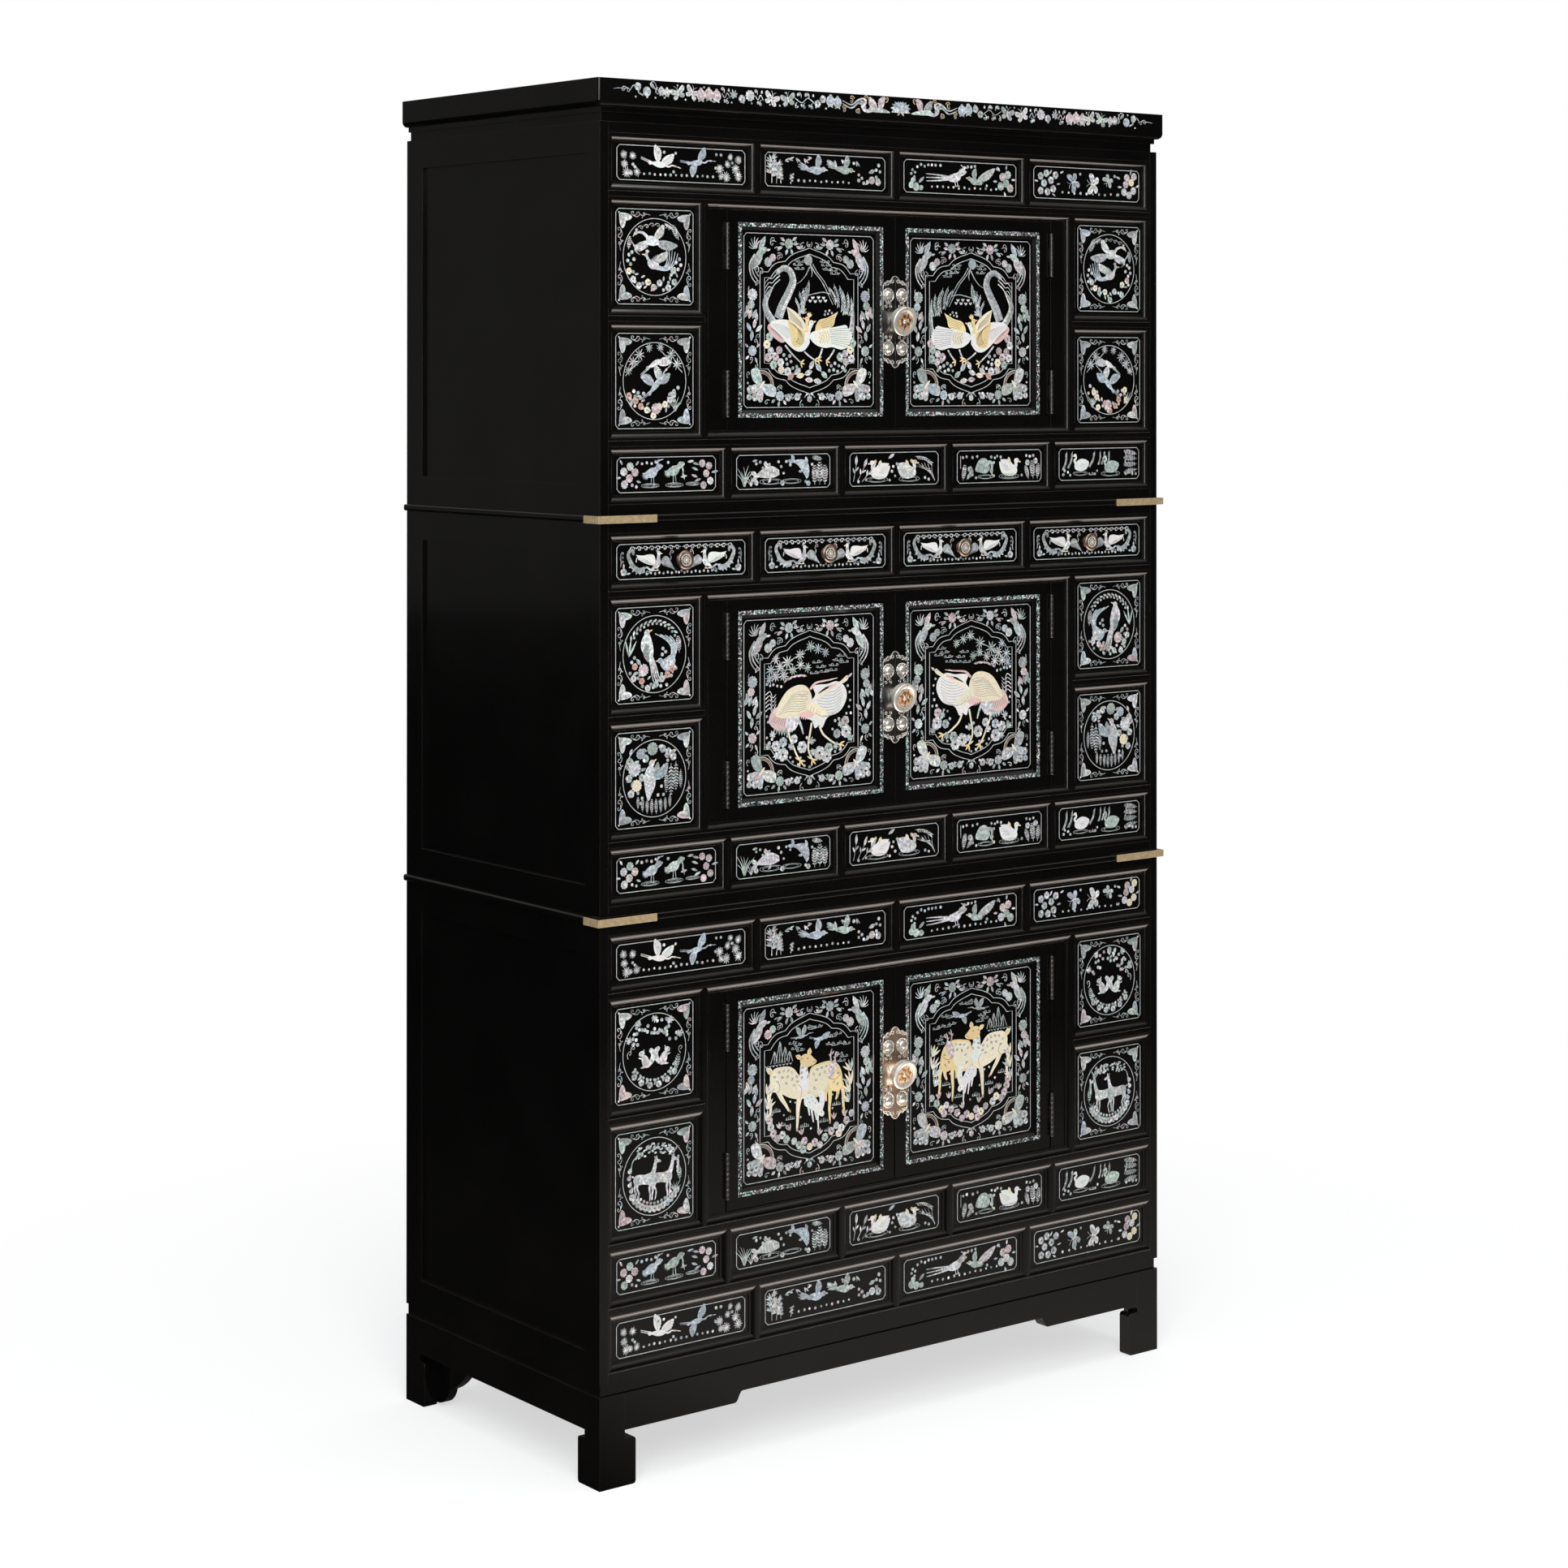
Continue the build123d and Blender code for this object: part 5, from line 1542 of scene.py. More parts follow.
def round_deer(pen):
    deer(pen, -13, -2, 42)
    deer(pen, 12, -3, 42, antlers=True)
    for _ in range(64):
        u = pen.chance.uniform(-30, 30)
        v = 33 + pen.chance.uniform(-6, 6) - abs(u) * 0.16
        if math.hypot(u, v) < 42:
            oval(pen, u, v, 2.2, 1.2, pen.chance.uniform(-50, 50), pen.chance.choice(("mist", "leaf", "pearl")), 7)
    pen.curve([(-34, 10), (-31, 22), (-20, 29)], 1.2, "mist")
    for k in range(13):
        angle = math.radians(212 + 9.6 * k)
        u, v = 38 * math.cos(angle), 38 * math.sin(angle)
        blossom(pen, u, v, 4.2, 5, turn=9 * k)
        dot(pen, u * 0.83, v * 0.83, 1.9)
    each(bud, pen, ((-37, 8), (-38, 0), (-37, -8), (-35, -15)), 4.5, 60)
    for k in range(4):
        oval(pen, 34, 2 + 5 * k, 3.6, 1.8, 90 - 20 * (k % 2), None, 8)
    fern(pen, 37, -10, 18, 96, "leaf", 6)
    grass(pen, 30, -24, 15, None, 6, 40)


SQUARE_PICTURES = {
    "bottom": (round_squirrels, round_deer),
    "middle": (long_tailed_birds, vine_bird),
    "top": (round_phoenixes, round_cranes),
}


# ---- pictures of the doors: each about the middle of its sunk panel ----
def door_border(pen):
    """The garland between the outer line and the cartouche: the right half mirrors the left."""
    for flip in (False, True):
        here = pen.at(0, 0, 0, 1, flip)
        for k in range(6):
            tip = here.at(-82, 88, 172 - 24 * k)
            tip.curve([(0, 0), (7, 1.8), (14 - abs(k - 2.5), 0.2)], 2.3, None, 0.6)
        leaf(here, -78, 84, 21, 8, 62, None, True)
        leaf(here, -72, 82, 25, 9, 232, None, True)
        here.blob([(-66, 88), (-72, 89), (-80, 84), (-82, 79), (-76, 79), (-69, 82)], None, 3)
        leaf(here, -68, 85, 8, 3, 10)
        for k, bend in enumerate((0, 3.2, 6.4)):
            points = [
                (-84 + bend, 80), (-92 + bend * 1.1, 68), (-90 + bend, 54 + bend), (-81 + bend * 0.4, 43 + bend * 1.6)
            ]
            plume(here, points, 3, None, 7)
        bloom(here, -64, 71, 6, None, 11)
        bloom(here, -57, 76.5, 5, None, 9)
        curls(
            here,
            (
                (-60, 93, 6, 70, False), (-52, 96, 6, 10, True), (-50, 82, 6, -20, False), (-44, 80, 5, 30, True),
                (-54, 88, 5, 0, False), (-76, 64, 5, -60, False), (-80, 58, 5, -90, True)
            )
        )
        bloom(here, -32, 94, 6.6, None, 11)
        leaves(
            here,
            (
                (-38, 93, 170), (-38, 97, 150), (-26, 94, 0), (-27, 98, 30), (-34, 88, 250), (-29, 88, 290),
                (-42, 90, 200), (-21, 91, -20)
            ),
            8.5, 3.8, None, True
        )
        curls(
            here, ((-16, 95, 5, 180, False), (-9, 96, 5, 40, True), (-7, 91, 4.4, 200, False), (-3, 97, 4, 100, True))
        )
        dot(here, -12, 91, 1.6)
        bloom(here, -88, 31, 7.6, None, 12)
        bloom(here, -90, 19, 5.6, None, 9)
        leaves(here, ((-89, 14, 250), (-84, 12, 285), (-94, 13, 235), (-88, 2, 60), (-93, 6, 110)), 13, 5.6, None, True)
        leaves(here, ((-86, -10, 78), (-90, -14, 120), (-83, -14, 40), (-88, -12, 262)), 13, 5.4, None, True)
        bloom(here, -88, -37, 6.6, None, 11)
        leaves(here, ((-94, -33, 140), (-82, -33, 40), (-93, -43, 220), (-84, -45, 300)), 7, 3.2, None)
        curls(
            here,
            (
                (-83, 42, 5, 60, False), (-93, 41, 5, 100, True), (-82, -24, 5.4, 70, False),
                (-80, -29, 4.6, -60, True), (-83, -50, 5, -70, False), (-91, -52, 5, 250, True),
                (-86, -58, 5, -100, False)
            )
        )
        big = here.at(-74, -79, -41)
        for points in (
            [(0, 1), (7, 8), (18, 12), (24, 3), (13, -4), (3, -2)], [(1, -2), (8, -5), (12, -13), (6, -17), (0, -10)]
        ):
            big.blob(points, None, 4)
            big.blob([(-u, v) for u, v in points], None, 4)
        for x in (-20, -14, -8, 8, 14, 20):
            big.line([(x * 0.2, 1), (x, 9 - abs(x) * 0.16)], 0.32, "ink")
        for x in (-6, 6):
            big.line([(x * 0.3, -3), (x, -13)], 0.32, "ink")
        oval(big, 0, 1, 1.7, 6.4, 0, "cream", 10)
        for k in range(3):
            r, angles = 15.5 + 1.8 * k, [0.35 + 0.26 * i for i in range(9)]
            big.line([(r * math.cos(a), r * math.sin(a) - 1) for a in angles], 0.7, ("coral", "mist", "cream")[k])
        for u, v, r in ((-91, -84, 5.2), (-84, -93, 5), (-93, -93, 3.8), (-76, -96, 3.6)):
            blossom(here, u, v, r, 6, turn=pen.chance.uniform(0, 60))
        bloom(here, -46, -92, 6.4, None, 11)
        leaves(
            here, ((-52, -91, 170), (-40, -92, 0), (-47, -98, 260), (-41, -97, 310), (-53, -96, 215)), 7.5, 3.6, None,
            True
        )
        blossom(here, -33, -94, 4.6, 5)
        blossom(here, -19, -93, 4.6, 5, turn=30)
        curls(
            here,
            (
                (-27, -96, 5, 20, False), (-12, -97, 6, 80, True), (-8, -94, 6, 20, False), (-57, -80, 5, -10, True),
                (-50, -82, 5, 20, False), (-43, -84, 5, -20, True), (-95, -70, 5, 90, False), (-62, -97, 5, 20, True),
                (-25, -90, 4, 60, True)
            )
        )
        berries(here, ((-28, -90), (-14, -90), (-58, -88), (-95, -76), (-4, -90)), 1.5)
    blossom(pen, 0, -96, 3.6, 5)


def flower_bank(pen, spots, r=6):
    """Heaped flowers along the bottom of a cartouche."""
    for i, (u, v) in enumerate(spots):
        if i % 3 == 2:
            bloom(pen, u, v, r * 0.95, pen.chance.choice(("pearl", "rose", "cream")), 11)
        else:
            blossom(pen, u, v, r, 5 + i % 2, pen.chance.choice(("pearl", "cream", "leaf", "rose")), turn=17 * i)


def picture_phoenix_pair(pen):
    """Two phoenixes breast to breast, their tails sweeping up both sides under a sun and willows."""
    each(plume, pen, (
        ([(-49, 3), (-43, 18), (-34, 33), (-27, 48), (-31, 60), (-41, 63), (-50, 57)], 12, "mist"),
        ([(-44, 4), (-38, 18), (-29, 33), (-22.5, 48), (-28, 62), (-41, 66.5), (-52, 58)], 5.2, "pearl"),
        ([(-56, -4), (-66, 8), (-70, 20), (-66, 31), (-58, 39)], 7.6, "mist"),
        ([(-52, -2), (-62, 10), (-66, 21), (-62, 31), (-57, 40)], 3.8, "pearl"),
        ([(60, -26), (67, -10), (69, 6), (68, 22)], 7, "mist"),
        ([(57, -22), (64, -8), (66, 6), (66, 20)], 3.4, "pearl"),
    ), 16, True)
    for lift in (0, 5, 10):
        streamer = [
            (-46, 60 - lift), (-53, 55 - lift), (-58, 51 - lift * 1.1), (-63, 51 - lift), (-69, 45 - lift * 1.2)
        ]
        pen.curve(streamer, 1.5, "pearl", 0.5, 4)
    white = [
        (-61, -5), (-54, 0.5), (-36, 1), (-20, -4), (-6, -14), (0, -24), (-2, -30), (-10, -37), (-22, -36.5),
        (-37, -26), (-45, -18)
    ]
    pen.blob([(-65, -8), (-60, -4), (-46, -14), (-35, -22), (-43, -27), (-56, -20), (-62, -14)], "blush", 4)
    for k in range(6):
        pen.line([(-63 + 3.2 * k, -8 - 2.6 * k), (-45 + 2 * k, -16 - 1.6 * k)], 0.4, "ink")
    pen.blob(white, "white")
    for k in range(8):
        pen.line(
            [(-58 + 4.6 * k, -4 + 0.4 * k - 0.25 * k * k), (-34 + 2.6 * k, -22 + 1.6 * k - 0.1 * k * k)], 0.4, "ink"
        )
    pen.blob(
        [(-34, 0), (-24, 0.5), (-14, -5), (-8, -15), (-9, -24), (-14, -31), (-23, -32), (-28, -28), (-30, -14)], "gold",
        4
    )
    for k in range(6):
        arc = [
            (-31 + 3 * k, -3 - 1.5 * k), (-22 + 2.2 * k, -6 - 2.4 * k), (-17 + 1.6 * k, -17 - 1.8 * k),
            (-22 + 1.6 * k, -27 - 0.6 * k)
        ]
        pen.curve(arc, 0.42, "ink")
    each(dot, pen, ((-25, -26), (-22, -29), (-20, -25), (-17, -28), (-23, -22), (-18, -22)), 0.6, "ink", 6)
    upper = curve_through([(-35.5, 17), (-24, 12), (-12, 3), (-6.5, -6), (-7, -14)])
    pen.fill(upper + curve_through([(-12, -12), (-22, -6), (-32, 2)], steps=3), "cream")
    for k in range(6):
        pen.line([(-34 + 0.8 * k, 14.5 - 2.4 * k), (-13 + 0.6 * k, -2.4 - 1.5 * k)], 0.42, "ink")
    upper = curve_through([(9, -12), (10, -6), (16, 1.5), (29, 4.5), (45, 12)])
    pen.fill(upper + curve_through([(40, 3), (37, -6), (24, -10)], steps=3), "gold")
    for k in range(5):
        pen.line([(14 + 1.4 * k, -2 - 1.6 * k), (40 - 1.2 * k, 6.5 - 3 * k)], 0.42, "ink")
    right = curve_through([(2, -15), (9, -12), (26, -9), (44, -6.5), (57.5, -4)], steps=3)
    edge = []
    for k in range(8):
        x, y = 57.5 + 11.5 * math.sin(math.pi * (k + 0.5) / 9), -6 - 3.6 * k
        edge += [(x - 3.6, y + 1.2), (x, y)]
    under = curve_through([(58, -33), (49, -35), (36, -32), (25, -33), (14, -31), (5, -26), (0, -20)], steps=3)
    pen.fill(right + edge + under, "white")
    for k in range(9):
        pen.line([(31 + 0.4 * k, -10.5 - 2.1 * k), (63 - 0.3 * abs(k - 3), -8 - 3 * k)], 0.42, "ink")
    pen.blob([(16, -12), (26, -11), (32, -17), (30, -25), (22, -29), (15, -25), (12, -18)], "cream", 4)
    for k in range(4):
        pen.curve([(15 + 4.2 * k, -13), (19 + 4 * k, -20), (16 + 3.8 * k, -27)], 0.42, "ink")
    each(dot, pen, ((15, -20), (18, -22), (16, -25), (20, -18)), 0.6, "ink", 6)
    pen.curve([(-3, -22), (-2, -12), (2, -5)], 7.4, "white", 5.4, 4)
    oval(pen, 2.4, -2.8, 4, 3.6, 40, "white")
    leaf(pen, 4.6, -2.2, 6, 2.2, 22, "gold")
    dot(pen, 2.6, -1.8, 0.8, "ink", 7)
    pen.curve([(-3.5, -14), (-5, -6), (-3.6, 1)], 5, "gold", 3.8, 4)
    oval(pen, -3.8, 2, 3.6, 3, 150, "gold")
    leaf(pen, -6, 2.4, 5.4, 2, 168, "coral")
    dot(pen, -4.2, 2.6, 0.7, "ink", 7)
    feathers(pen, -1.5, 4, 7.5, 4, 40, 110, 0.3, "gold", False)
    feathers(pen, -14, 9, 11, 4, 12, 78, 0.24, "mist", False)
    for start, knee, foot in (
        ((-38, -30), (-27, -41), (-14, -51)), ((-8, -38), (-1, -43), (8, -48)), ((20, -34), (17, -41), (13, -47)),
        ((39, -35), (33, -43), (26, -49))
    ):
        pen.curve([start, knee, foot], 2.2, "pearl", 1.6)
        leaves(pen, [(*foot, turn) for turn in (-70, -20, 30)], 7, 2, "gold")
    dot(pen, -2, 74.5, 6.4, "mist", 18)
    trunk = [(3, 70), (10, 60), (20, 50), (27, 40), (33, 30), (39, 20)]
    for shift in (-2, 2):
        pen.curve([(u + shift, v) for u, v in trunk], 1.3, "mist", 0.7)
    pen.curve([(0, 66), (-6, 56), (-13, 49), (-20, 45)], 1.6, "mist", 0.5)
    pen.curve([(1, 68), (4, 60), (3, 54)], 1.4, "mist", 0.5)
    for u, v, flip in (
        (-18, 68, False), (-16, 63, True), (-15, 72, True), (26, 68, False), (28, 63, True), (24, 72, True),
        (40, 58, False), (36, 62, True)
    ):
        cloud(pen, u, v, 13, "mist", flip)
    for u, v, length, turn in (
        (-1, 50, 22, -104), (-4, 44, 24, -114), (-10, 40, 26, -96), (-16, 36, 22, -84), (-22, 28, 20, -76),
        (30, 42, 20, -60), (38, 46, 26, -78), (47, 44, 28, -84), (52, 38, 26, -88), (60, 36, 24, -96),
        (66, 30, 20, -100)
    ):
        willow(pen, u, v, length, turn, pen.chance.choice(("leaf", "mist", "sea", "pearl")))
    for u, v in ((1, 25), (9, 24.6), (17, 25), (25, 25.4), (5, 29), (14, 29.4), (22, 29)):
        pen.blob(
            [(u - 2.6, v + 1), (u, v + 0.6), (u + 2.6, v + 1), (u + 1.8, v - 1.2), (u, v - 2.4), (u - 1.8, v - 1.2)],
            "pearl", 2
        )
    pen.curve([(-2, 31.5), (10, 34), (22, 35.5), (34, 33)], 1.2, "mist")
    berries(pen, ((25, 12), (29, 9), (24, 8), (31, 13), (35, 10)), 1.5)
    flower_bank(
        pen,
        (
            (-62, -20), (-66, -29), (-60, -37), (-53, -44), (-64, -45), (-47, -36), (-56, -54), (-45, -51), (-44, -60),
            (-34, -62), (48, -44), (56, -40), (64, -35), (66, -46), (57, -50), (68, -27)
        ),
        5.2
    )
    berries(
        pen,
        (
            (-40, -42), (-36, -47), (-31, -43), (-35, -53), (-29, -50), (-26, -58), (-20, -56), (-16, -61), (40, -52),
            (46, -55), (38, -60), (52, -57), (34, -55), (44, -62), (56, -61), (31, -61), (50, -49)
        ),
        2.2
    )
    for u, v, turn, tone in (
        (-8, -66, 190, "cream"), (-8, -66, 20, "pearl"), (6, -73, 175, "rose"), (6, -73, -8, "pearl"),
        (18, -62, 130, "sea"), (18, -62, -40, "leaf"), (-24, -64, 220, "coral"), (-24, -66, 40, "pearl"),
        (0, -60, 60, "pearl")
    ):
        leaf(pen, u, v, 13, 7, turn, tone, True)


def picture_crane_pair(pen):
    """Two cranes with crossed necks under a pine, wading among peonies."""
    for points, width in (
        ([(-33.5, -28), (-31, -40), (-25, -52), (-20, -62), (-14, -70)], 2.6),
        ([(3.5, -24), (0.5, -38), (-2, -50), (-1, -60), (5, -70)], 2.8),
        ([(15.5, -29), (21, -39), (30, -46), (38, -51), (48, -54)], 2.8),
    ):
        pen.curve(points, width, "cream", 2.2)
        foot = points[-1]
        for turn in (-95, -50, -10, 150):
            leaf(pen, foot[0] - 1, foot[1] + 1, 9, 2.4, turn + (28 if points[0][0] > 10 else 0), "gold")
    pen.curve([(-18, -18), (-13, -27), (-10, -37)], 4.6, "leaf", 1.6)
    fringe = []
    for k in range(9):
        x = -55 + 4 * k
        fringe += [
            (x, -30 - 7.5 * math.sin(math.pi * (k + 1) / 10)), (x + 2.2, -26 - 6.5 * math.sin(math.pi * (k + 1) / 10))
        ]
    pen.fill([(-56, -22)] + fringe + [(-17, -22), (-20, -14), (-50, -16)], "leaf")
    pen.blob([(-63, -18), (-58, -6), (-48, -2), (-34, -13), (-33, -25), (-46, -30), (-57, -26)], "blush", 4)
    for k in range(8):
        pen.line([(-60 + 3.4 * k, -20 - 0.9 * k), (-50 + 2.2 * k, -10 - 0.6 * k)], 0.42, "ink")
    pen.blob([(-34, -14), (-18, -14), (-16, -20), (-22, -30), (-33, -33), (-37, -24)], "pearl")
    body = [
        (-53, -10), (-47, 3), (-35, 17), (-20, 23), (-7, 22), (1, 14), (3.5, 2), (-4, -9), (-17, -15), (-34, -16),
        (-47, -15)
    ]
    pen.blob(body, "cream", 4)
    inner = [(u * 0.78 - 6.2, v * 0.78 + 0.4) for u, v in body]
    pen.blob(inner, "cream", 4)
    for k in range(9):
        arc = [
            (-49 + 2.4 * k, -11 + 2.6 * k), (-34 + 2.2 * k, -8 + 2.9 * k), (-18 + 1.6 * k, -9 + 2.9 * k),
            (-6 + 0.6 * k, -6 + 2.4 * k)
        ]
        pen.curve(arc, 0.34, "ink", steps=4)
    pen.curve([(-18, 12), (-8, 10), (0, 15)], 1.8, "blush", 0.8)
    white = [
        (5, 20), (9, 10), (1, 1), (-3, -9), (-6, -17), (4, -22), (8, -31), (15, -28), (20, -31), (28, -19), (45, -14),
        (55, -4), (58.5, 8), (53.5, 19), (42, 24.5), (28, 22), (16, 22)
    ]
    pen.blob(white, "white", 4)
    pen.fill([(12, 9), (14, 12), (24, 18), (35, 20.5), (33, 16), (22, 11), (13, 7)], "ink")
    for k in range(9):
        low = -13 + 3.6 * k
        sweep = [(12 + 1.2 * abs(k - 5), low - 2), (26, low - 4.5), (40, low - 3), (52 - 0.9 * abs(k - 5), low + 3)]
        pen.curve(sweep, 0.34, "ink", steps=4)
    pen.blob([(2, 0), (8, 2), (16, -5), (28, -13), (14, -18), (4, -14), (-2, -8)], "cream", 4)
    for k in range(4):
        pen.line([(3 + 4 * k, -3 - 2.6 * k), (1 + 5 * k, -9 - 1.8 * k)], 0.34, "ink")
    pen.curve([(8, -12), (22, -18), (40, -14)], 0.45, "ink")
    tail = []
    for k in range(7):
        tail += [
            (-16 + 3.2 * k, -16 - 4.2 * math.sin(math.pi * (k + 1) / 9)),
            (-14 + 3.2 * k, -13.6 - 3.2 * math.sin(math.pi * (k + 1) / 9))
        ]
    pen.fill([(-17, -12)] + tail + [(8, -14), (0, -8)], "blush")
    pen.curve([(12, 7), (24, 12), (34, 16.5), (43, 22)], 5.8, "cream", 3.6, 4)
    pen.curve([(30, 17), (37, 19.5), (42, 21.5)], 3, "blush", 2.6)
    pen.curve([(1, 17), (9, 24), (22, 26), (34, 27)], 3.2, "blush", 1.6, 4)
    pen.line([(33, 27.2), (44, 28.6)], 1.6, "cream", end=0.6)
    pen.blob([(43, 23), (48, 24), (54, 28), (59, 31), (61, 28), (58, 24), (50, 21)], "cream", 3)
    leaf(pen, 60, 28, 9, 3, 36, "pearl")
    dot(pen, 57.6, 28.4, 0.7, "ink", 7)
    for u, v, r in (
        (-34, 52, 10), (-46, 47, 8), (-52, 57, 6.5), (-15, 60, 8), (1.5, 70, 7.5), (13, 66, 7.5), (25, 61, 6.5),
        (-14, 48, 7), (-3, 44, 6.5), (-60, 44, 8), (-52, 36, 8), (-62, 33, 7), (-40, 36, 8), (-26, 42, 7)
    ):
        needles(pen, u, v, r, pen.chance.choice(("pearl", "leaf", "sea")), 9, pen.chance.uniform(0, 40))
    pen.curve([(-66, 30), (-50, 42), (-34, 52), (-16, 60), (2, 68), (22, 64)], 1.3, "mist", 0.6)
    pen.curve([(-44, 42), (-24, 44), (0, 44)], 1.1, "mist", 0.5)
    leaves(pen, ((-34, 30, 30), (-27, 33, 16), (-20, 34, 8), (-14, 35, -8), (-40, 27, 44)), 10, 2.8, "rose")
    for u, v in ((8, 36), (24, 37), (36, 38), (18, 43), (38, 44), (12, 49), (44, 50), (54, 47), (50, 55)):
        cloud(pen, u, v, 13, "mist", flip=u > 30)
    berries(
        pen,
        (
            (-66, 27), (-61, 25), (-56, 26), (-50, 24), (-44, 23), (-66, -12), (-64, -19), (60, 18), (63, 10), (64, 0),
            (62, -8), (65, -16), (58, -16), (-62, -44), (-58, -40)
        ),
        1.8
    )
    for k in range(5):
        pen.curve([(-68, 14 - 5 * k), (-61, 18 - 5 * k), (-57, 10 - 5 * k), (-52, 14 - 4 * k)], 1.3, "pearl", 0.6)
    for u, v, r, tone in (
        (-41.5, -60, 8.2, "pearl"), (-52, -49, 6.6, "pearl"), (-41, -45, 6, "sea"), (-11.5, -53, 7.4, "pearl"),
        (15.5, -62, 8.4, "pearl"), (27, -67, 7.6, "pearl"), (30, -57, 6.4, "leaf"), (57.5, -38, 8, "pearl"),
        (56, -25, 6, "rose"), (43, -40, 5.6, "mist"), (-24, -42, 5.4, "pearl")
    ):
        blossom(pen, u, v, r, 6, tone, turn=pen.chance.uniform(0, 60))
        for k in range(6):
            a = k * 1.047
            ray = [(u + r * share * math.cos(a), v + r * share * math.sin(a)) for share in (0.3, 0.62)]
            pen.line(ray, 0.35, "ink")
    for u, v, turn in (
        (-58, -36, 60), (-64, -50, 90), (-30, -52, 40), (2, -48, 70), (6, -60, 200), (40, -54, -30), (64, -48, 80),
        (48, -30, 60), (-50, -60, 200)
    ):
        maple(pen, u, v, 7.5, turn, pen.chance.choice(("leaf", "mist", "pearl")))
    berries(
        pen,
        (
            (-26, -70), (-18, -74), (-8, -76), (0, -78), (-30, -64), (-14, -66), (40, -62), (48, -60), (36, -34),
            (46, -22), (40, -24), (-34, -38), (-66, -38), (8, -46), (-4, -42)
        ),
        1.9
    )


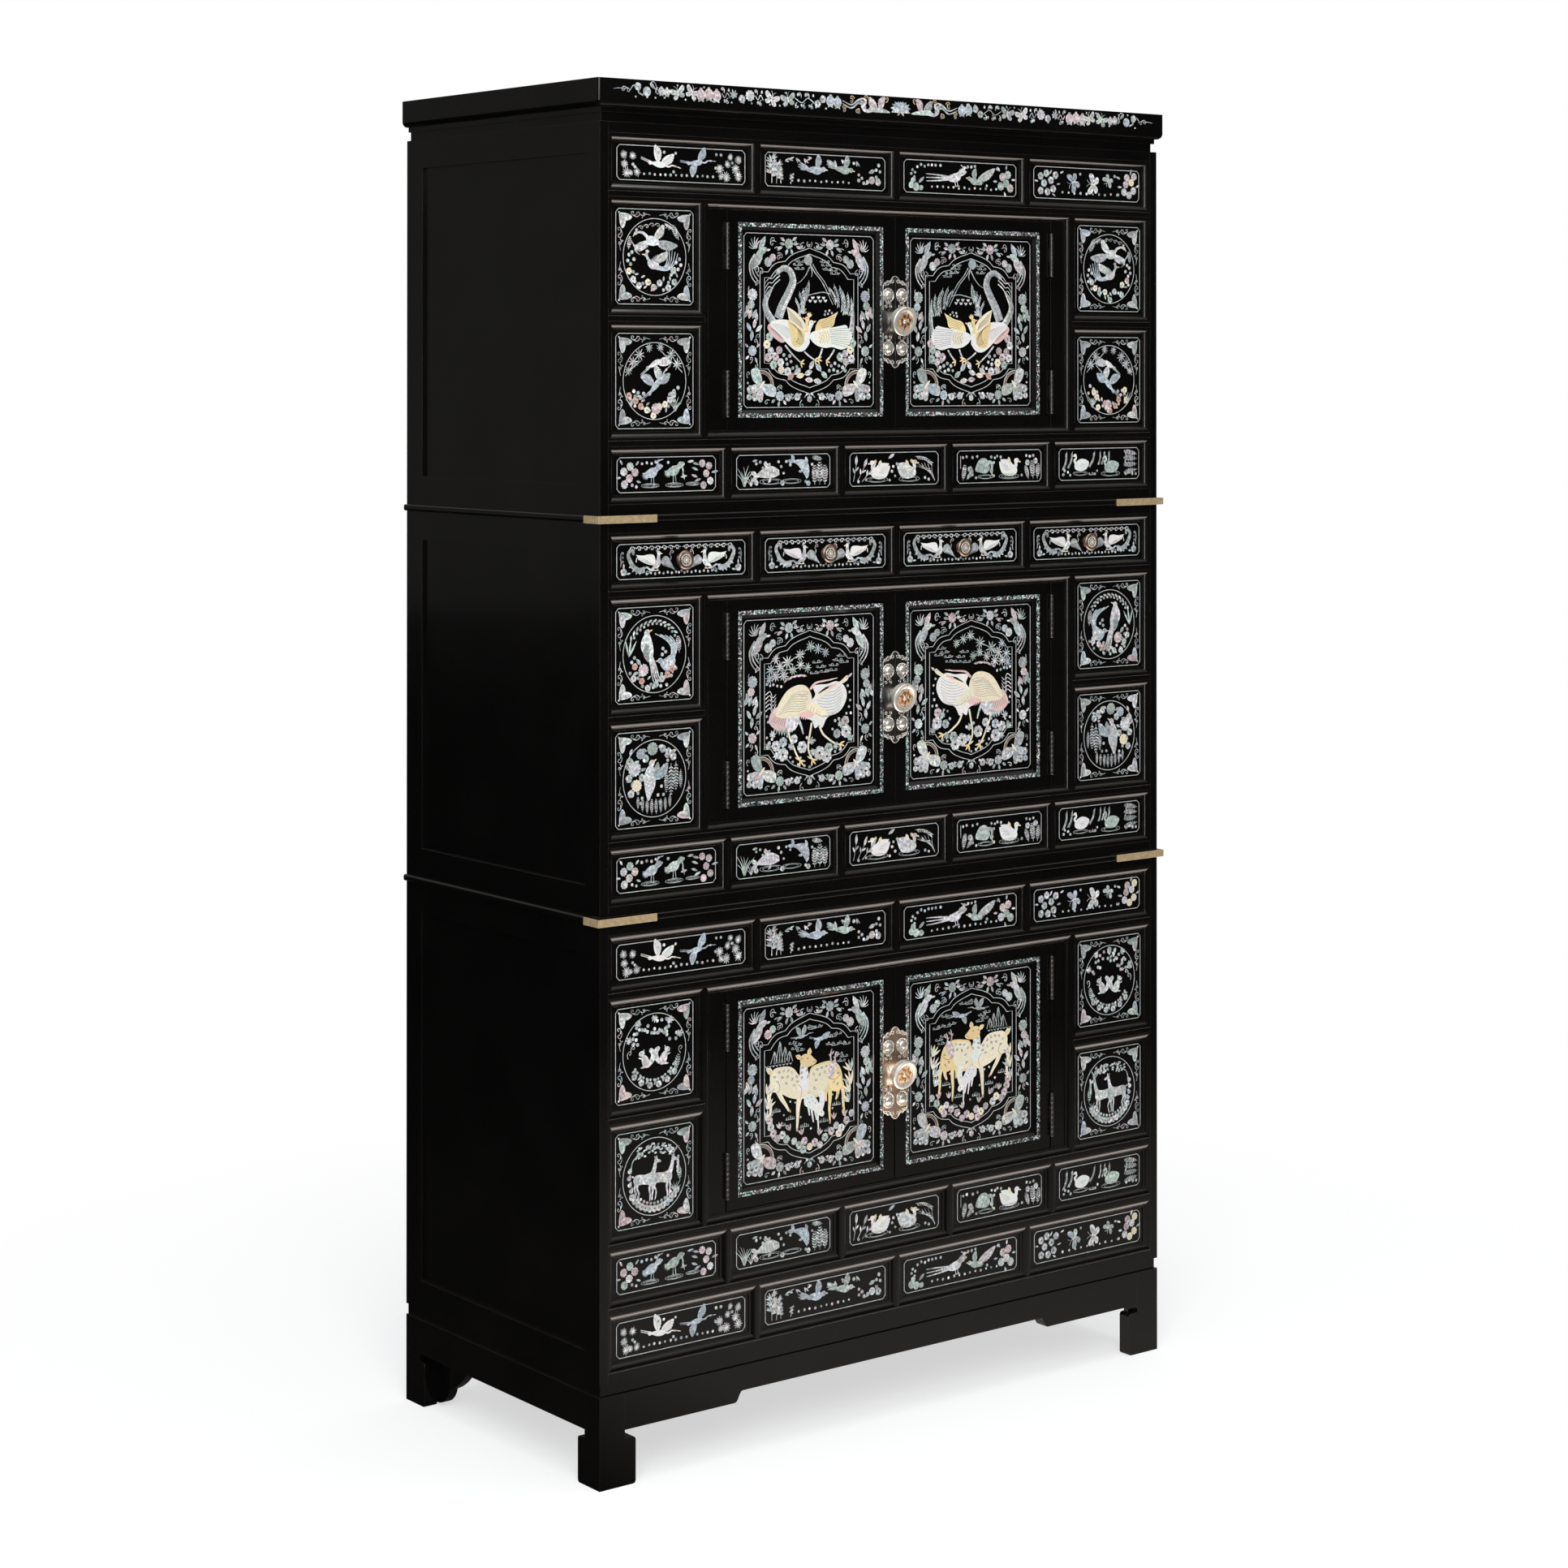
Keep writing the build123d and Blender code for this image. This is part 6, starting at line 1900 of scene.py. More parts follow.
def picture_deer_pair(pen):
    """A spotted hind and stag with a fawn between them, under mountains, clouds and small cranes."""
    right = [
        (1, 20), (14, 25.5), (30, 27), (40, 24), (47, 18), (51.5, 6), (51, -8), (40, -11), (30, -9), (20, -13),
        (8, -15), (-2, -8)
    ]
    for points in (
        ((32, -7), (32, -20), (31, -32), (32, -48)), ((50, -3), (53, -16), (53, -30), (56, -44)),
        ((26, -8), (25, -14), (26, -22)), ((45, -6), (44, -16), (41, -22))
    ):
        pen.curve(points, 6.6, "gold", 2.2)
    for u, v in ((32, -49), (56, -46)):
        leaf(pen, u, v + 3, 5, 2.6, -90, "coral")
    pen.blob(right, "gold", 4)
    pen.blob([(3, 19), (16, 23), (28, 23), (34, 10), (26, -6), (10, -12), (0, -4)], "cream", 4)
    pen.blob([(30, 6), (40, 12), (50, 4), (50, -8), (42, -12), (33, -8)], "gold", 4)
    for u, v in ((34, 34), (41, 30)):
        pen.curve([(u, v - 9), (u - 1, v), (u + 1, v + 7)], 2.4, "rose", 1.2)
        leaf(pen, u, v - 3, 6, 2, 130, "rose")
        leaf(pen, u + 0.6, v, 6, 2, 50, "rose")
    pen.blob([(30, 20), (38, 27), (43, 22), (40, 12), (34, 4), (29, 8)], "rose", 3)
    pen.curve([(30, 6), (40, 3), (48, 8)], 0.5, "ink")
    spots = [(6, 14), (12, 19), (19, 20), (26, 21), (16, 12), (24, 14), (10, 6), (45, 10), (38, 0), (44, -3), (8, -4)]
    left = [
        (-60.5, 22), (-54, 28), (-44, 29), (-32, 28), (-24, 24), (-17, 16), (-8, 10), (-2, 0), (-4, -11), (-15, -14),
        (-30, -10.5), (-41, -5), (-49, -1.5), (-58, 1), (-61, 12)
    ]
    for points in (
        ((-58, 6), (-63, -5), (-60, -16), (-61.5, -31)), ((-49, 1), (-43, -10), (-37, -18), (-32, -26)),
        ((-14, -8), (-17.5, -20), (-18.5, -34), (-19.5, -51))
    ):
        pen.curve(points, 8.6 if points[0][0] > -20 else 7.4, "cream", 2.6)
    leaves(pen, ((-61.5, -30, -80), (-32.5, -24, -50), (-19.5, -48, -90)), 5.4, 3, "coral")
    pen.blob(left, "cream", 4)
    pen.blob([(-54, 25), (-60, 20), (-61, 8), (-57, 1), (-50, 2), (-47, 12)], "cream", 4)
    pen.blob([(-10, 6), (-3, 0), (-4, -11), (-12, -14), (-18, -8), (-16, 2)], "cream", 4)
    leaf(pen, -57, 24, 12, 7, 150, "cream", True)
    leaf(pen, -56, 23, 9, 4, 172, "gold")
    neck = curve_through([(-9, -4), (-8, 10), (-9, 22), (-8, 32)], steps=4)
    pen.line(neck, 17, "white", end=9.5)
    pen.blob([(-14, 36), (-9, 40), (0, 39), (6, 34), (11, 29.5), (8, 26), (0, 24), (-8, 24), (-14, 29)], "gold")
    leaf(pen, -12, 35, 11, 6, 152, "gold", True)
    leaf(pen, -1, 37, 10, 7, 80, "gold", True)
    dot(pen, -3, 34.4, 1, "ink", 8)
    dot(pen, -12, 35, 0.9, "ink", 8)
    pen.line([(5, 28.6), (10, 29.4)], 0.5, "ink")
    spots += [
        (-54, 18), (-47, 23), (-40, 24), (-33, 23), (-27, 20), (-50, 12), (-42, 16), (-34, 16), (-27, 12), (-20, 14),
        (-19, 8), (-12, 18), (-12, 12), (-3, 12), (-36, 8), (-24, 4), (-11, 24), (-4, 20)
    ]
    for i, (u, v) in enumerate(spots):
        here = pen.at(u, v, 25 * (i % 5) - 40)
        oval(here, 0, 0, 2.1, 1.35, 0, "ink", 10)
        oval(here, 0, 0, 1.6, 0.9, 0, "pearl", 10)
    pen.curve([(-17, 4), (-12, -2), (-14, -12)], 0.5, "ink")
    pen.curve([(-49, 12), (-46, 4), (-50, -2)], 0.5, "ink")
    fawn = [
        (-8, -12), (0, -9), (8, -14), (14, -22), (19, -30), (23, -36), (20, -40), (14, -37), (6, -31), (-2, -26),
        (-8, -22)
    ]
    for points in (
        ((2, -24), (4, -34), (6, -45)), ((7, -26), (9, -34), (11, -43)), ((13, -32), (13, -42), (14, -56)),
        ((-3, -20), (-1, -30), (0, -36))
    ):
        pen.curve(points, 3.8, "white", 1.5)
    pen.curve([(17, -8), (20, -18), (17, -30)], 9, "white", 8)
    pen.blob(fawn, "white", 4)
    oval(pen, 17.6, -35, 5.4, 3.6, -24, "white")
    leaf(pen, 16, -32, 6.4, 3, 150, "cream")
    dot(pen, 18.6, -34.4, 0.8, "ink", 7)
    each(dot, pen, ((-3, -15), (3, -14), (5, -19), (0, -20), (9, -22), (17, -12), (18, -22), (14, -18)), 0.7, "ink", 7)
    for x, h in ((-54, 16), (-46, 27), (-38, 20), (-31, 14)):
        for k in range(3):
            pen.line([(x + 0.6 * k, 33 + h - k), (x - 6.5 + 5.6 * k, 34)], 1.2, "mist", end=0.8)
    for k in range(8):
        u = -66 + 5.2 * k
        pen.blob([(u - 2.4, 33), (u, 31.8), (u + 2.4, 33), (u, 30.2)], "mist", 2)
    flying_crane(pen, -13, 62, 30, 8, "mist", wings=(120, 70))
    flying_crane(pen, 17, 56, 32, -2, "sea", wings=(250, 30))
    for u, v in (
        (4, 69.5), (-2, 72), (14, 70.5), (-26, 55), (-18, 52), (-22, 48), (-14, 45), (36, 56), (44, 58), (32, 47),
        (40, 45), (50, 46), (58, 44), (46, 33), (54, 29), (50, 24)
    ):
        cloud(pen, u, v, 11, "mist", flip=u > 20)
    for u, v, height, lean in (
        (66, 10, 16, 120), (66, -6, 18, 118), (64, -16, 17, 130), (62, -28, 14, 120), (-66, -2, 14, 60),
        (-66, -20, 16, 66), (-67, -34, 14, 70)
    ):
        here = pen.at(u, v, lean)
        for fan in (-34, -12, 10, 32):
            leaf(here, 0, 0, height, 3, fan, pen.chance.choice(("cream", "pearl", "leaf")))
    for u, v in ((-52, -24), (-30, -36), (-8, -48), (22, -46), (42, -28), (30, -58), (-44, -42)):
        for k in range(5):
            pen.line([(u - 6 + 3 * k, v), (u - 5 + 2.6 * k, v + 4.2 - abs(2 - k))], 1, "leaf", end=0.5)
        pen.line([(u - 7, v - 0.6), (u + 7, v - 0.6)], 1, "mist")
    berries(
        pen, ((-40, -30), (-30, -15), (-22, -17), (36, -15), (44, -17), (2, -52), (-36, -44), (36, -32), (-14, -36)),
        1.5
    )
    flower_bank(
        pen,
        (
            (-60, -42), (-56, -50), (-50, -57), (-42, -54), (-36, -60), (-24, -64), (-16, -70), (-8, -66), (0, -74),
            (8, -70), (-10, -76), (16, -74), (24, -66), (34, -60), (42, -54), (50, -58), (58, -50), (66, -42),
            (46, -64), (-62, -34)
        ),
        5
    )
    for u, v, turn in ((-30, -50, 120), (-12, -58, 100), (14, -62, 70), (38, -46, 90), (-46, -46, 100), (54, -44, 80)):
        leaves(pen, [(u, v, turn + fan) for fan in (-30, 0, 30)], 9, 2.4, "rose")


DOOR_PICTURES = {"bottom": picture_deer_pair, "middle": picture_crane_pair, "top": picture_phoenix_pair}


def crown_phoenix(pen):
    """A phoenix lying along the crown, wings raised, its ribbon tail waving outward."""
    for low, high in ((-0.5, 3.5), (-4.5, 0)):
        pen.curve([(56, low), (67, high + 1.5), (79, low - 1), (93, high - 0.5)], 3.6, None, 0.8, 4)
    pen.curve([(44, -6), (55, -8), (62, -3), (56, 2.5), (60, 7), (68, 5.5)], 5, None, 1.4, 4)
    wing(pen, 38, -5.7, 18.6, 9, 58, None, quills=7)
    wing(pen, 34, -5.7, 17.6, 8.5, 122, None, quills=7)
    pen.blob([(17, -8.4), (26, -4.5), (36, -3), (47, -2.4), (52, -6), (44, -8.8), (30, -9)], None, 3)
    for u, v, turn in ((24, 4, 120), (52, 6.8, 40), (74, 6.5, 20), (66, -6, -30), (86, -5, 10)):
        curl(pen, u, v, 4.6, turn, 0.8, "gold")
        curl(pen, u + 3, v, 4, turn + 90, 0.8, "rose", True)


def crown_fruits(pen, u, v, count, r, tone):
    """Round fruits side by side, each with a little crown above and leaves below."""
    for k in range(count):
        x, y = u + k * r * 1.75, v + (k % 2) * r * 0.2
        oval(pen, x, y, r, r * 1.05, 0, tone)
        pen.line(
            [(x + 0.55 * r * math.cos(a * 0.785), y + 0.55 * r * math.sin(a * 0.785)) for a in range(8)], 0.3, "ink",
            closed=True
        )
        for turn in (60, 90, 120):
            leaf(pen, x, y + r * 0.85, r * 0.5, r * 0.26, turn, tone)
        for turn in (225, 315):
            leaf(pen, x, y - r * 0.6, r * 0.9, r * 0.4, turn, "leaf", True)


def crown_vine(pen, u, length):
    """A short length of vine with curls, buds and dots."""
    pen.curve([(u, -3), (u + length * 0.35, 3), (u + length * 0.65, -3), (u + length, 2)], 1, None, steps=4)
    for k in range(int(length / 6)):
        x, side = u + 3 + 6 * k, 1 if k % 2 else -1
        curl(pen, x, side * 3, 4.6, side * 70, 0.9)
        dot(pen, x + 2, side * 6.8, 1.5)
        bud(pen, x - 1, -side * 4.6, 2.4, -side * 90)


def cornice_garland(pen, half):
    """The garland on the edge of the crown: a full flower, a pair of phoenixes, then fruit, butterflies and vine."""
    for flip in (False, True):
        here = pen.at(0, 0, 0, 1, flip)
        crown_phoenix(here)
        crown_fruits(here, 101, 0, 2, 6.4, "sea")
        blossom(here, 124, 3, 4.6, 5)
        blossom(here, 132, -3, 4.6, 5, turn=30)
        crown_vine(here, 137, 30)
        butterfly(here, 178, 0, 11.5, 78, "mist")
        butterfly(here, 203, -0.5, 11.5, 110, "pearl")
        crown_vine(here, 216, 12)
        bloom(here, 236, 1.5, 7, "pearl", 10)
        blossom(here, 248, -3, 4.8, 5)
        maple(here, 260, 0, 8.6, 70, "mist")
        crown_vine(here, 266, 12)
        crown_fruits(here, 286, -1.5, 3, 6.6, "rose")
        butterfly(here, 322, 0.5, 10.5, 115, "pearl")
        butterfly(here, 343, -0.5, 11, 70, "leaf")
        crown_fruits(here, 359, -1, 2, 4.6, "pearl")
        scroll(here, 376, -2, 9, 60, 1)
        leaf(here, 377, 3, 9, 4.4, 40, None, True)
        oval(here, 388, -1.5, 5.6, 5.8, 0, "mist")
        blossom(here, 401, 4, 4.6, 5)
        here.curve([(393, -6), (400, -3), (399, 2), (407, 5), (412, -1)], 2.2, None, 1, 4)
        curl(here, half - 24, 0, 6, 10, 1)
        curl(here, half - 19, 0, 5, 4, 0.9, None, True)
        here.curve([(half - 20, 0), (half - 12, 0.8), (half - 3, -0.4)], 0.9, None, 0.3)
        for u in range(108, 404, 14):
            dot(here, u + pen.chance.uniform(-3, 3), pen.chance.choice((-8.2, -7.6, 7.8, 8.2)), 1.2)
    for k in range(11):
        turn = -18 + 21.6 * k
        reach = 15 - 5.5 * math.sin(math.radians(max(turn, 0))) ** 2
        leaf(pen, 1.5 * math.cos(math.radians(turn)), -3, reach, 4.6, turn, "sea", True)
    oval(pen, 0, -3.5, 4.2, 3.4, 0, "mist")
    for turn in (200, 235, 305, 340):
        leaf(pen, 0, -4.5, 9, 3.2, turn, None, True)


# ---- settings ----
def length(name, text, default):
    return bpy.props.FloatProperty(name=name, description=text, default=default * MM, unit="LENGTH", precision=5)


def tint(name, text, default):
    return bpy.props.FloatVectorProperty(
        name=name, description=text, default=default, size=3, subtype="COLOR", min=0, max=1
    )


class ChestSizes(bpy.types.PropertyGroup):
    """Sizes of the inlay and metalwork."""

    long_box: length("Long box", "Width of the line box on a panel of a row of four", 188.0)
    short_box: length("Short box", "Width of the line box on a panel of a row of five", 143.5)
    row_box: length("Row box height", "Height of the line box on a row panel", 41.0)
    square_box: length("Square box", "Side of the line box on a square panel", 112.0)
    ring: length("Ring", "Radius of the line ring on a square panel", 45.5)
    fine_line: length("Fine line", "Width of the shell line", 0.8)
    box_cut: length("Cut corner", "Length cut off each corner of a line box", 4.0)
    band_width: length("Band width", "Width across the crushed-shell band of a door", 226.0)
    band_height: length("Band height", "Height across the crushed-shell band of a door", 236.0)
    band: length("Band", "Width of the crushed-shell band itself", 5.0)
    door_box: length("Door box", "Width of the line box on a door panel", 202.0)
    door_box_height: length("Door box height", "Height of the line box on a door panel", 211.5)
    chip: length("Chip", "Size of one chip of crushed shell", 1.5)
    stud: length("Stud", "Radius of a domed stud on a lock plate", 5.6)
    hinge_ball: length("Hinge ball", "Radius of the ball at each end of a hinge", 2.2)
    rosette: length("Rosette", "Radius of the pale rosette on a drawer pull", 5.2)


class ChestColours(bpy.types.PropertyGroup):
    """Colours of lacquer and metal."""

    lacquer: tint("Lacquer", "The black lacquer", (0.0017, 0.0015, 0.0014))
    shelf: tint("Edge brass", "Corner plates of the caps", (0.56, 0.42, 0.24))
    plate: tint("Lock plate", "Dark nickel of the upper lock plates", (0.16, 0.155, 0.15))
    low_plate: tint("Low lock plate", "Pale brass of the lowest lock plates", (0.66, 0.50, 0.38))
    stud: tint("Stud", "Bright studs and cut rims", (0.86, 0.83, 0.74))
    knob: tint("Knob face", "Pale face of the round pulls", (0.76, 0.72, 0.66))
    copper: tint("Copper", "Flower on the round pulls", (0.62, 0.34, 0.14))
    pull: tint("Drawer pull", "Brown bronze of the drawer pulls", (0.30, 0.22, 0.17))
    hinge: tint("Hinge", "Dark metal of the hinges", (0.13, 0.125, 0.12))


class Step:
    """Common parts of the operators."""

    bl_options = {"REGISTER", "UNDO"}

    @property
    def sizes(self):
        return bpy.context.scene.chest_sizes

    @property
    def colours(self):
        return bpy.context.scene.chest_colours

    def mm(self, name):
        return getattr(self.sizes, name) / MM


def finish_named(name):
    """A finish made by the first operator."""
    found = bpy.data.materials.get(name)
    if found is None:
        raise RuntimeError(f"the finish {name} isn't made yet: run Lacquer the Cases first")
    return found


class CHEST_OT_lacquer(Step, bpy.types.Operator):
    """Makes every finish and gives the cases, doors and drawers their lacquer, wood and brass"""

    bl_idname = "chest.lacquer"
    bl_label = "Lacquer the Cases"

    def execute(self, context):
        colours, sizes = self.colours, self.sizes
        make_lacquer("case_lacquer", colours.lacquer, 0.10)
        make_lacquer("panel_lacquer", [value * 0.9 for value in colours.lacquer], 0.08)
        make_shell("cut_shell")
        make_glitter("crushed_shell", sizes.chip)
        make_ink("engraving")
        make_wood("tray_wood")
        make_metal("edge_brass", colours.shelf, [v * 0.55 for v in colours.shelf], 0.40, 0.7, 160.0, metallic=0.35)
        make_metal("lock_metal", colours.plate, [v * 0.5 for v in colours.plate], 0.30, 0.8, 120.0)
        make_metal("low_lock_metal", colours.low_plate, [v * 0.75 for v in colours.low_plate], 0.36, 0.8, 120.0)
        make_metal("bright_metal", colours.stud, [v * 0.7 for v in colours.stud], 0.16, 0.8, 200.0, metallic=0.7)
        make_metal("knob_metal", colours.knob, [v * 0.85 for v in colours.knob], 0.26, 0.8, 80.0, metallic=0.6)
        make_metal("copper", colours.copper, [v * 0.4 for v in colours.copper], 0.30, 0.9, 300.0)
        make_metal("pull_bronze", colours.pull, [v * 0.5 for v in colours.pull], 0.30, 0.8, 200.0)
        make_metal("hinge_metal", colours.hinge, [v * 0.45 for v in colours.hinge], 0.32, 0.8, 200.0)
        for name, node in frame["nodes"].items():
            if name.endswith("_tray"):
                finish = "tray_wood"
            elif name == "corner_plates":
                finish = "edge_brass"
            elif name.endswith(("_fixed_panels", "_front", "_panel")):
                finish = "panel_lacquer"
            else:
                finish = "case_lacquer"
            node.data.materials.clear()
            node.data.materials.append(finish_named(finish))
        return {"FINISHED"}


def inlay(name, body, pen_places):
    """One piece of shell inlay made of several pens, each with its own place."""
    work = Work()
    for pen, place in pen_places:
        pen.lay(work, place)
    return work.done(name, body, [finish_named("cut_shell"), finish_named("engraving")])


class CHEST_OT_borders(Step, bpy.types.Operator):
    """Lays the thin shell lines round every picture and the crushed-shell bands on the doors"""

    bl_idname = "chest.borders"
    bl_label = "Lay the Borders"

    def row_frame(self, kind):
        pen = Pen(kind)
        width = self.mm("short_box") if kind == "short" else self.mm("long_box")
        line_box(pen, width, self.mm("row_box"), self.mm("box_cut"), self.mm("fine_line"))
        return pen

    def square_frame(self):
        pen = Pen("square")
        side = self.mm("square_box")
        line_box(pen, side, side, self.mm("box_cut"), self.mm("fine_line"))
        pen.line(ring_outline(self.mm("ring")), self.mm("fine_line"), "line", closed=True)
        return pen

    def execute(self, context):
        for tier in TIERS:
            laid = []
            for kind, middle in rows_of(tier):
                if kind == "drawers":
                    continue
                for x, z in fields_of(kind, middle):
                    pen = self.square_frame() if kind == "doors" else self.row_frame(kind)
                    laid.append((pen, facing(x, FACE, z)))
            inlay(f"{tier}_lines", "chest", laid)
        for number in range(1, 5):
            x, y, z = middle_of(f"drawer_{number}_front")
            inlay(f"drawer_{number}_lines", f"drawer_{number}", [(self.row_frame("drawers"), facing(x, y, z))])
        for tier in TIERS:
            for side in SIDES:
                self.door(f"door_{tier}_{side}")
        return {"FINISHED"}

    def door(self, door):
        x, y, z = middle_of(f"{door}_panel")
        pen = Pen(door)
        thick = self.mm("fine_line")
        line_box(pen, self.mm("door_box"), self.mm("door_box_height"), self.mm("box_cut"), thick)
        for sizes in CARTOUCHES:
            pen.line(cartouche(*sizes), thick, "line", closed=True)
        inlay(f"{door}_lines", door, [(pen, facing(x, y, z))])
        band = Work()
        width, height, across = self.mm("band_width") / 2, self.mm("band_height") / 2, self.mm("band")
        outer = [(-width, -height), (width, -height), (width, height), (-width, height)]
        inner = [(u - math.copysign(across, u), v - math.copysign(across, v)) for u, v in outer]
        place = facing(x, box_mm(f"{door}_frame")[0][1], z)
        for i in range(4):
            j = (i + 1) % 4
            band.plate(place, [outer[i], outer[j], inner[j], inner[i]], SHELL_LOW, SHELL_HIGH)
        band.done(f"{door}_band", door, [finish_named("crushed_shell")])


class CHEST_OT_hinges(Step, bpy.types.Operator):
    """Turns the hinge barrels with their ball ends and sets the leaves"""

    bl_idname = "chest.hinges"
    bl_label = "Fit the Hinges"

    def leaf(self, work, side, on_door, x, y, z):
        """One leaf: its knuckles round the pin and a thin tongue that runs back into the wood."""
        length = HINGE_LENGTH
        third = length / 3
        spans = [(-third / 2 + 0.1, third / 2 - 0.1)]
        if not on_door:
            spans = [(-length / 2, -third / 2 - 0.1), (third / 2 + 0.1, length / 2)]
        up = lambda u, v, w: ((x + u) * MM, (y + v) * MM, (z + w) * MM)
        for low, high in spans:
            r = HINGE_RADIUS
            profile = [(0.6, low), (r - 0.5, low), (r, low + 0.5)]
            for share in (1 / 3, 2 / 3):
                ring = low + (high - low) * share
                profile += [(r, ring - 0.7), (r - 0.35, ring - 0.3), (r - 0.35, ring + 0.3), (r, ring + 0.7)]
            profile += [(r, high - 0.5), (r - 0.5, high), (0.6, high), (0.6, low)]
            work.lathe(up, profile, 20)
            tongue = (1.2, 1.8) if on_door else (-1.8, -1.2)
            us = sorted(-side * value for value in tongue)
            box = [(us[0], 0.0), (us[1], 0.0), (us[1], 16.5), (us[0], 16.5)]
            points = [up(u, v, w) for w in (low, high) for u, v in box]
            work.add(points, [[3, 2, 1, 0], [4, 5, 6, 7], [0, 1, 5, 4], [1, 2, 6, 5], [2, 3, 7, 6], [3, 0, 4, 7]])
        if not on_door:
            ball = self.mm("hinge_ball")
            for end in (-1, 1):
                tip = lambda u, v, w, end=end: up(u, v * end, end * (length / 2 - BALL_SINK + w))
                neck = [(0.0, -0.6), (1.3, -0.6), (1.3, 0.3)]
                work.lathe(tip, neck + dome(ball, ball * 1.25, 6, 0.6) + [(0.0, 0.6 + ball * 1.25)], 16)

    def execute(self, context):
        fixed = Work()
        metal = [finish_named("hinge_metal")]
        for tier in TIERS:
            for side_name, side in SIDES.items():
                door = f"door_{tier}_{side_name}"
                low, high = box_mm(f"{door}_hinges")
                x = (low[0] + high[0]) / 2
                moving = Work()
                for z in (low[2] + HINGE_LENGTH / 2, high[2] - HINGE_LENGTH / 2):
                    self.leaf(moving, side, True, x, low[1] + HINGE_RADIUS, z)
                    self.leaf(fixed, side, False, x, low[1] + HINGE_RADIUS, z)
                moving.done(f"{door}_hinge_leaves", door, metal, [f"{door}_hinges"])
        fixed.done("fixed_hinge_leaves", "chest", metal, ["hinge_fixed_leaves"])
        return {"FINISHED"}


class CHEST_OT_locks(Step, bpy.types.Operator):
    """Cuts the pierced lock plates, sets their studs and barrel, and hangs the split round pulls"""

    bl_idname = "chest.locks"
    bl_label = "Fit the Locks"

    # middle and radius of the small rings round the pierced holes, in one quarter of the plate
    rings = [(4.4, 50.6, 1.9), (12.2, 47.8, 1.7), (16.6, 46.8, 1.4), (7.9, 49.6, 1.3)]
    rings += [(7.2, 19.2, 1.6), (14.8, 19.2, 1.6), (9.2, 23.2, 1.3), (12.8, 23.2, 1.3)]

    def plate_outline(self):
        """Right half of the plate's rim from its top down, mirrored into the whole."""
        half = [(0, 57.8), (2.6, 57.0), (5.2, 54.9), (7.2, 52.2), (9.2, 51.4), (11.4, 51.9), (13.4, 51.2)]
        half += [(14.6, 49.6), (16.2, 49.3), (18.2, 48.2), (19.6, 46.6), (20.3, 44.2)]
        half = curve_through(half, steps=3)
        whole = half + [(u, -v) for u, v in half[::-1]]
        return whole + [(-u, v) for u, v in whole[-2:0:-1]]

    def holes(self):
        """Small pierced drops, hearts and dots."""
        found = []
        drop = petal_outline(3.6, 2.2)
        for up in (-1, 1):
            for side in (-1, 1):
                for u, v, r in ((5.6, 48.6, 1.15), (16.4, 44.2, 1.05), (2.9, 52.8, 0.9), (17.6, 18.0, 0.9)):
                    found.append([(side * u + a, up * v + b) for a, b in ring_outline(r, 10)])
                for u, v, angle in ((8.2, 20.4, 125), (13.8, 20.4, 55), (11.0, 17.6, 270), (10.8, 46.6, 90)):
                    turned = turned_outline(drop, math.radians(angle))
                    found.append([(side * (u + a), up * (v + b)) for a, b in turned])
        return found

    def build(self, tier):
        low, high = box_mm(f"door_{tier}_left_lock")
        z = (low[2] + high[2]) / 2
        place = facing(0, FACE, z)
        work = Work()
        points, faces = cut_metal([self.plate_outline()] + self.holes(), PLATE_THICK, 0.25)
        work.add([place(u, v, w + PLATE_THICK / 2) for u, v, w in points], faces, 0)
        top = PLATE_THICK
        stud = self.mm("stud")
        for up in (-1, 1):
            for side in (-1, 1):
                u, v = side * STUD_X, z + up * STUD_Z
                seat = facing(u, FACE - top, v)
                washer = [(0.0, -0.4), (stud + 1.2, -0.4), (stud + 1.2, 0.35), (stud, 0.5)]
                work.lathe(seat, washer + dome(stud, 3.4, 7, 0.5), 32, 1)
                work.lathe(seat, bead(8.6, 0.55), 40, 1)
                for turn in range(12):
                    angle = 2 * math.pi * turn / 12
                    pin = facing(u + PIN_RING * math.cos(angle), FACE - top, v + PIN_RING * math.sin(angle))
                    work.lathe(pin, [(0.0, -0.2), (0.55, -0.2)] + dome(0.55, 0.45, 3), 8, 1)
                for u, v, r in self.rings:
                    work.lathe(facing(side * u, FACE - top, z + up * v), bead(r, 0.42, 6), 16, 1)
        rim = Pen("rim")
        rim.line([(u * 0.965, v * 0.988) for u, v in self.plate_outline()], 0.7, "pearl", closed=True)
        for shape, _, _ in rim.shapes:
            work.plate(place, shape, top - 0.1, top + 0.3, 1)
        self.barrel(work, place)
        self.knob(work, z)
        body_metal = finish_named("low_lock_metal" if tier == "bottom" else "lock_metal")
        metals = [body_metal, finish_named("bright_metal"), finish_named("knob_metal"), finish_named("copper")]
        for side_name, side in SIDES.items():
            door = f"door_{tier}_{side_name}"
            half = work.done(f"{door}_lock_half", door, metals, [f"{door}_lock"])
            cut_at(half, side * SPLIT, side)

    def barrel(self, work, place):
        """Half a cylinder lying across the plate, with a collar at each end."""
        steps = 22
        arc = [
            (BARREL * math.cos(math.pi * i / steps), BARREL * math.sin(math.pi * i / steps)) for i in range(steps + 1)
        ]
        lifted = [(v, w + PLATE_THICK) for v, w in arc]
        section = [(-BARREL, PLATE_THICK - 0.3)] + lifted[::-1] + [(BARREL, PLATE_THICK - 0.3)]
        for start, end, grow in ((-19.2, 19.2, 1.0), (-20.4, -18.6, 1.035), (18.6, 20.4, 1.035)):
            grown = [(v * grow, PLATE_THICK + (w - PLATE_THICK) * grow) for v, w in section]
            work.bar(place, grown, start, end, 0)

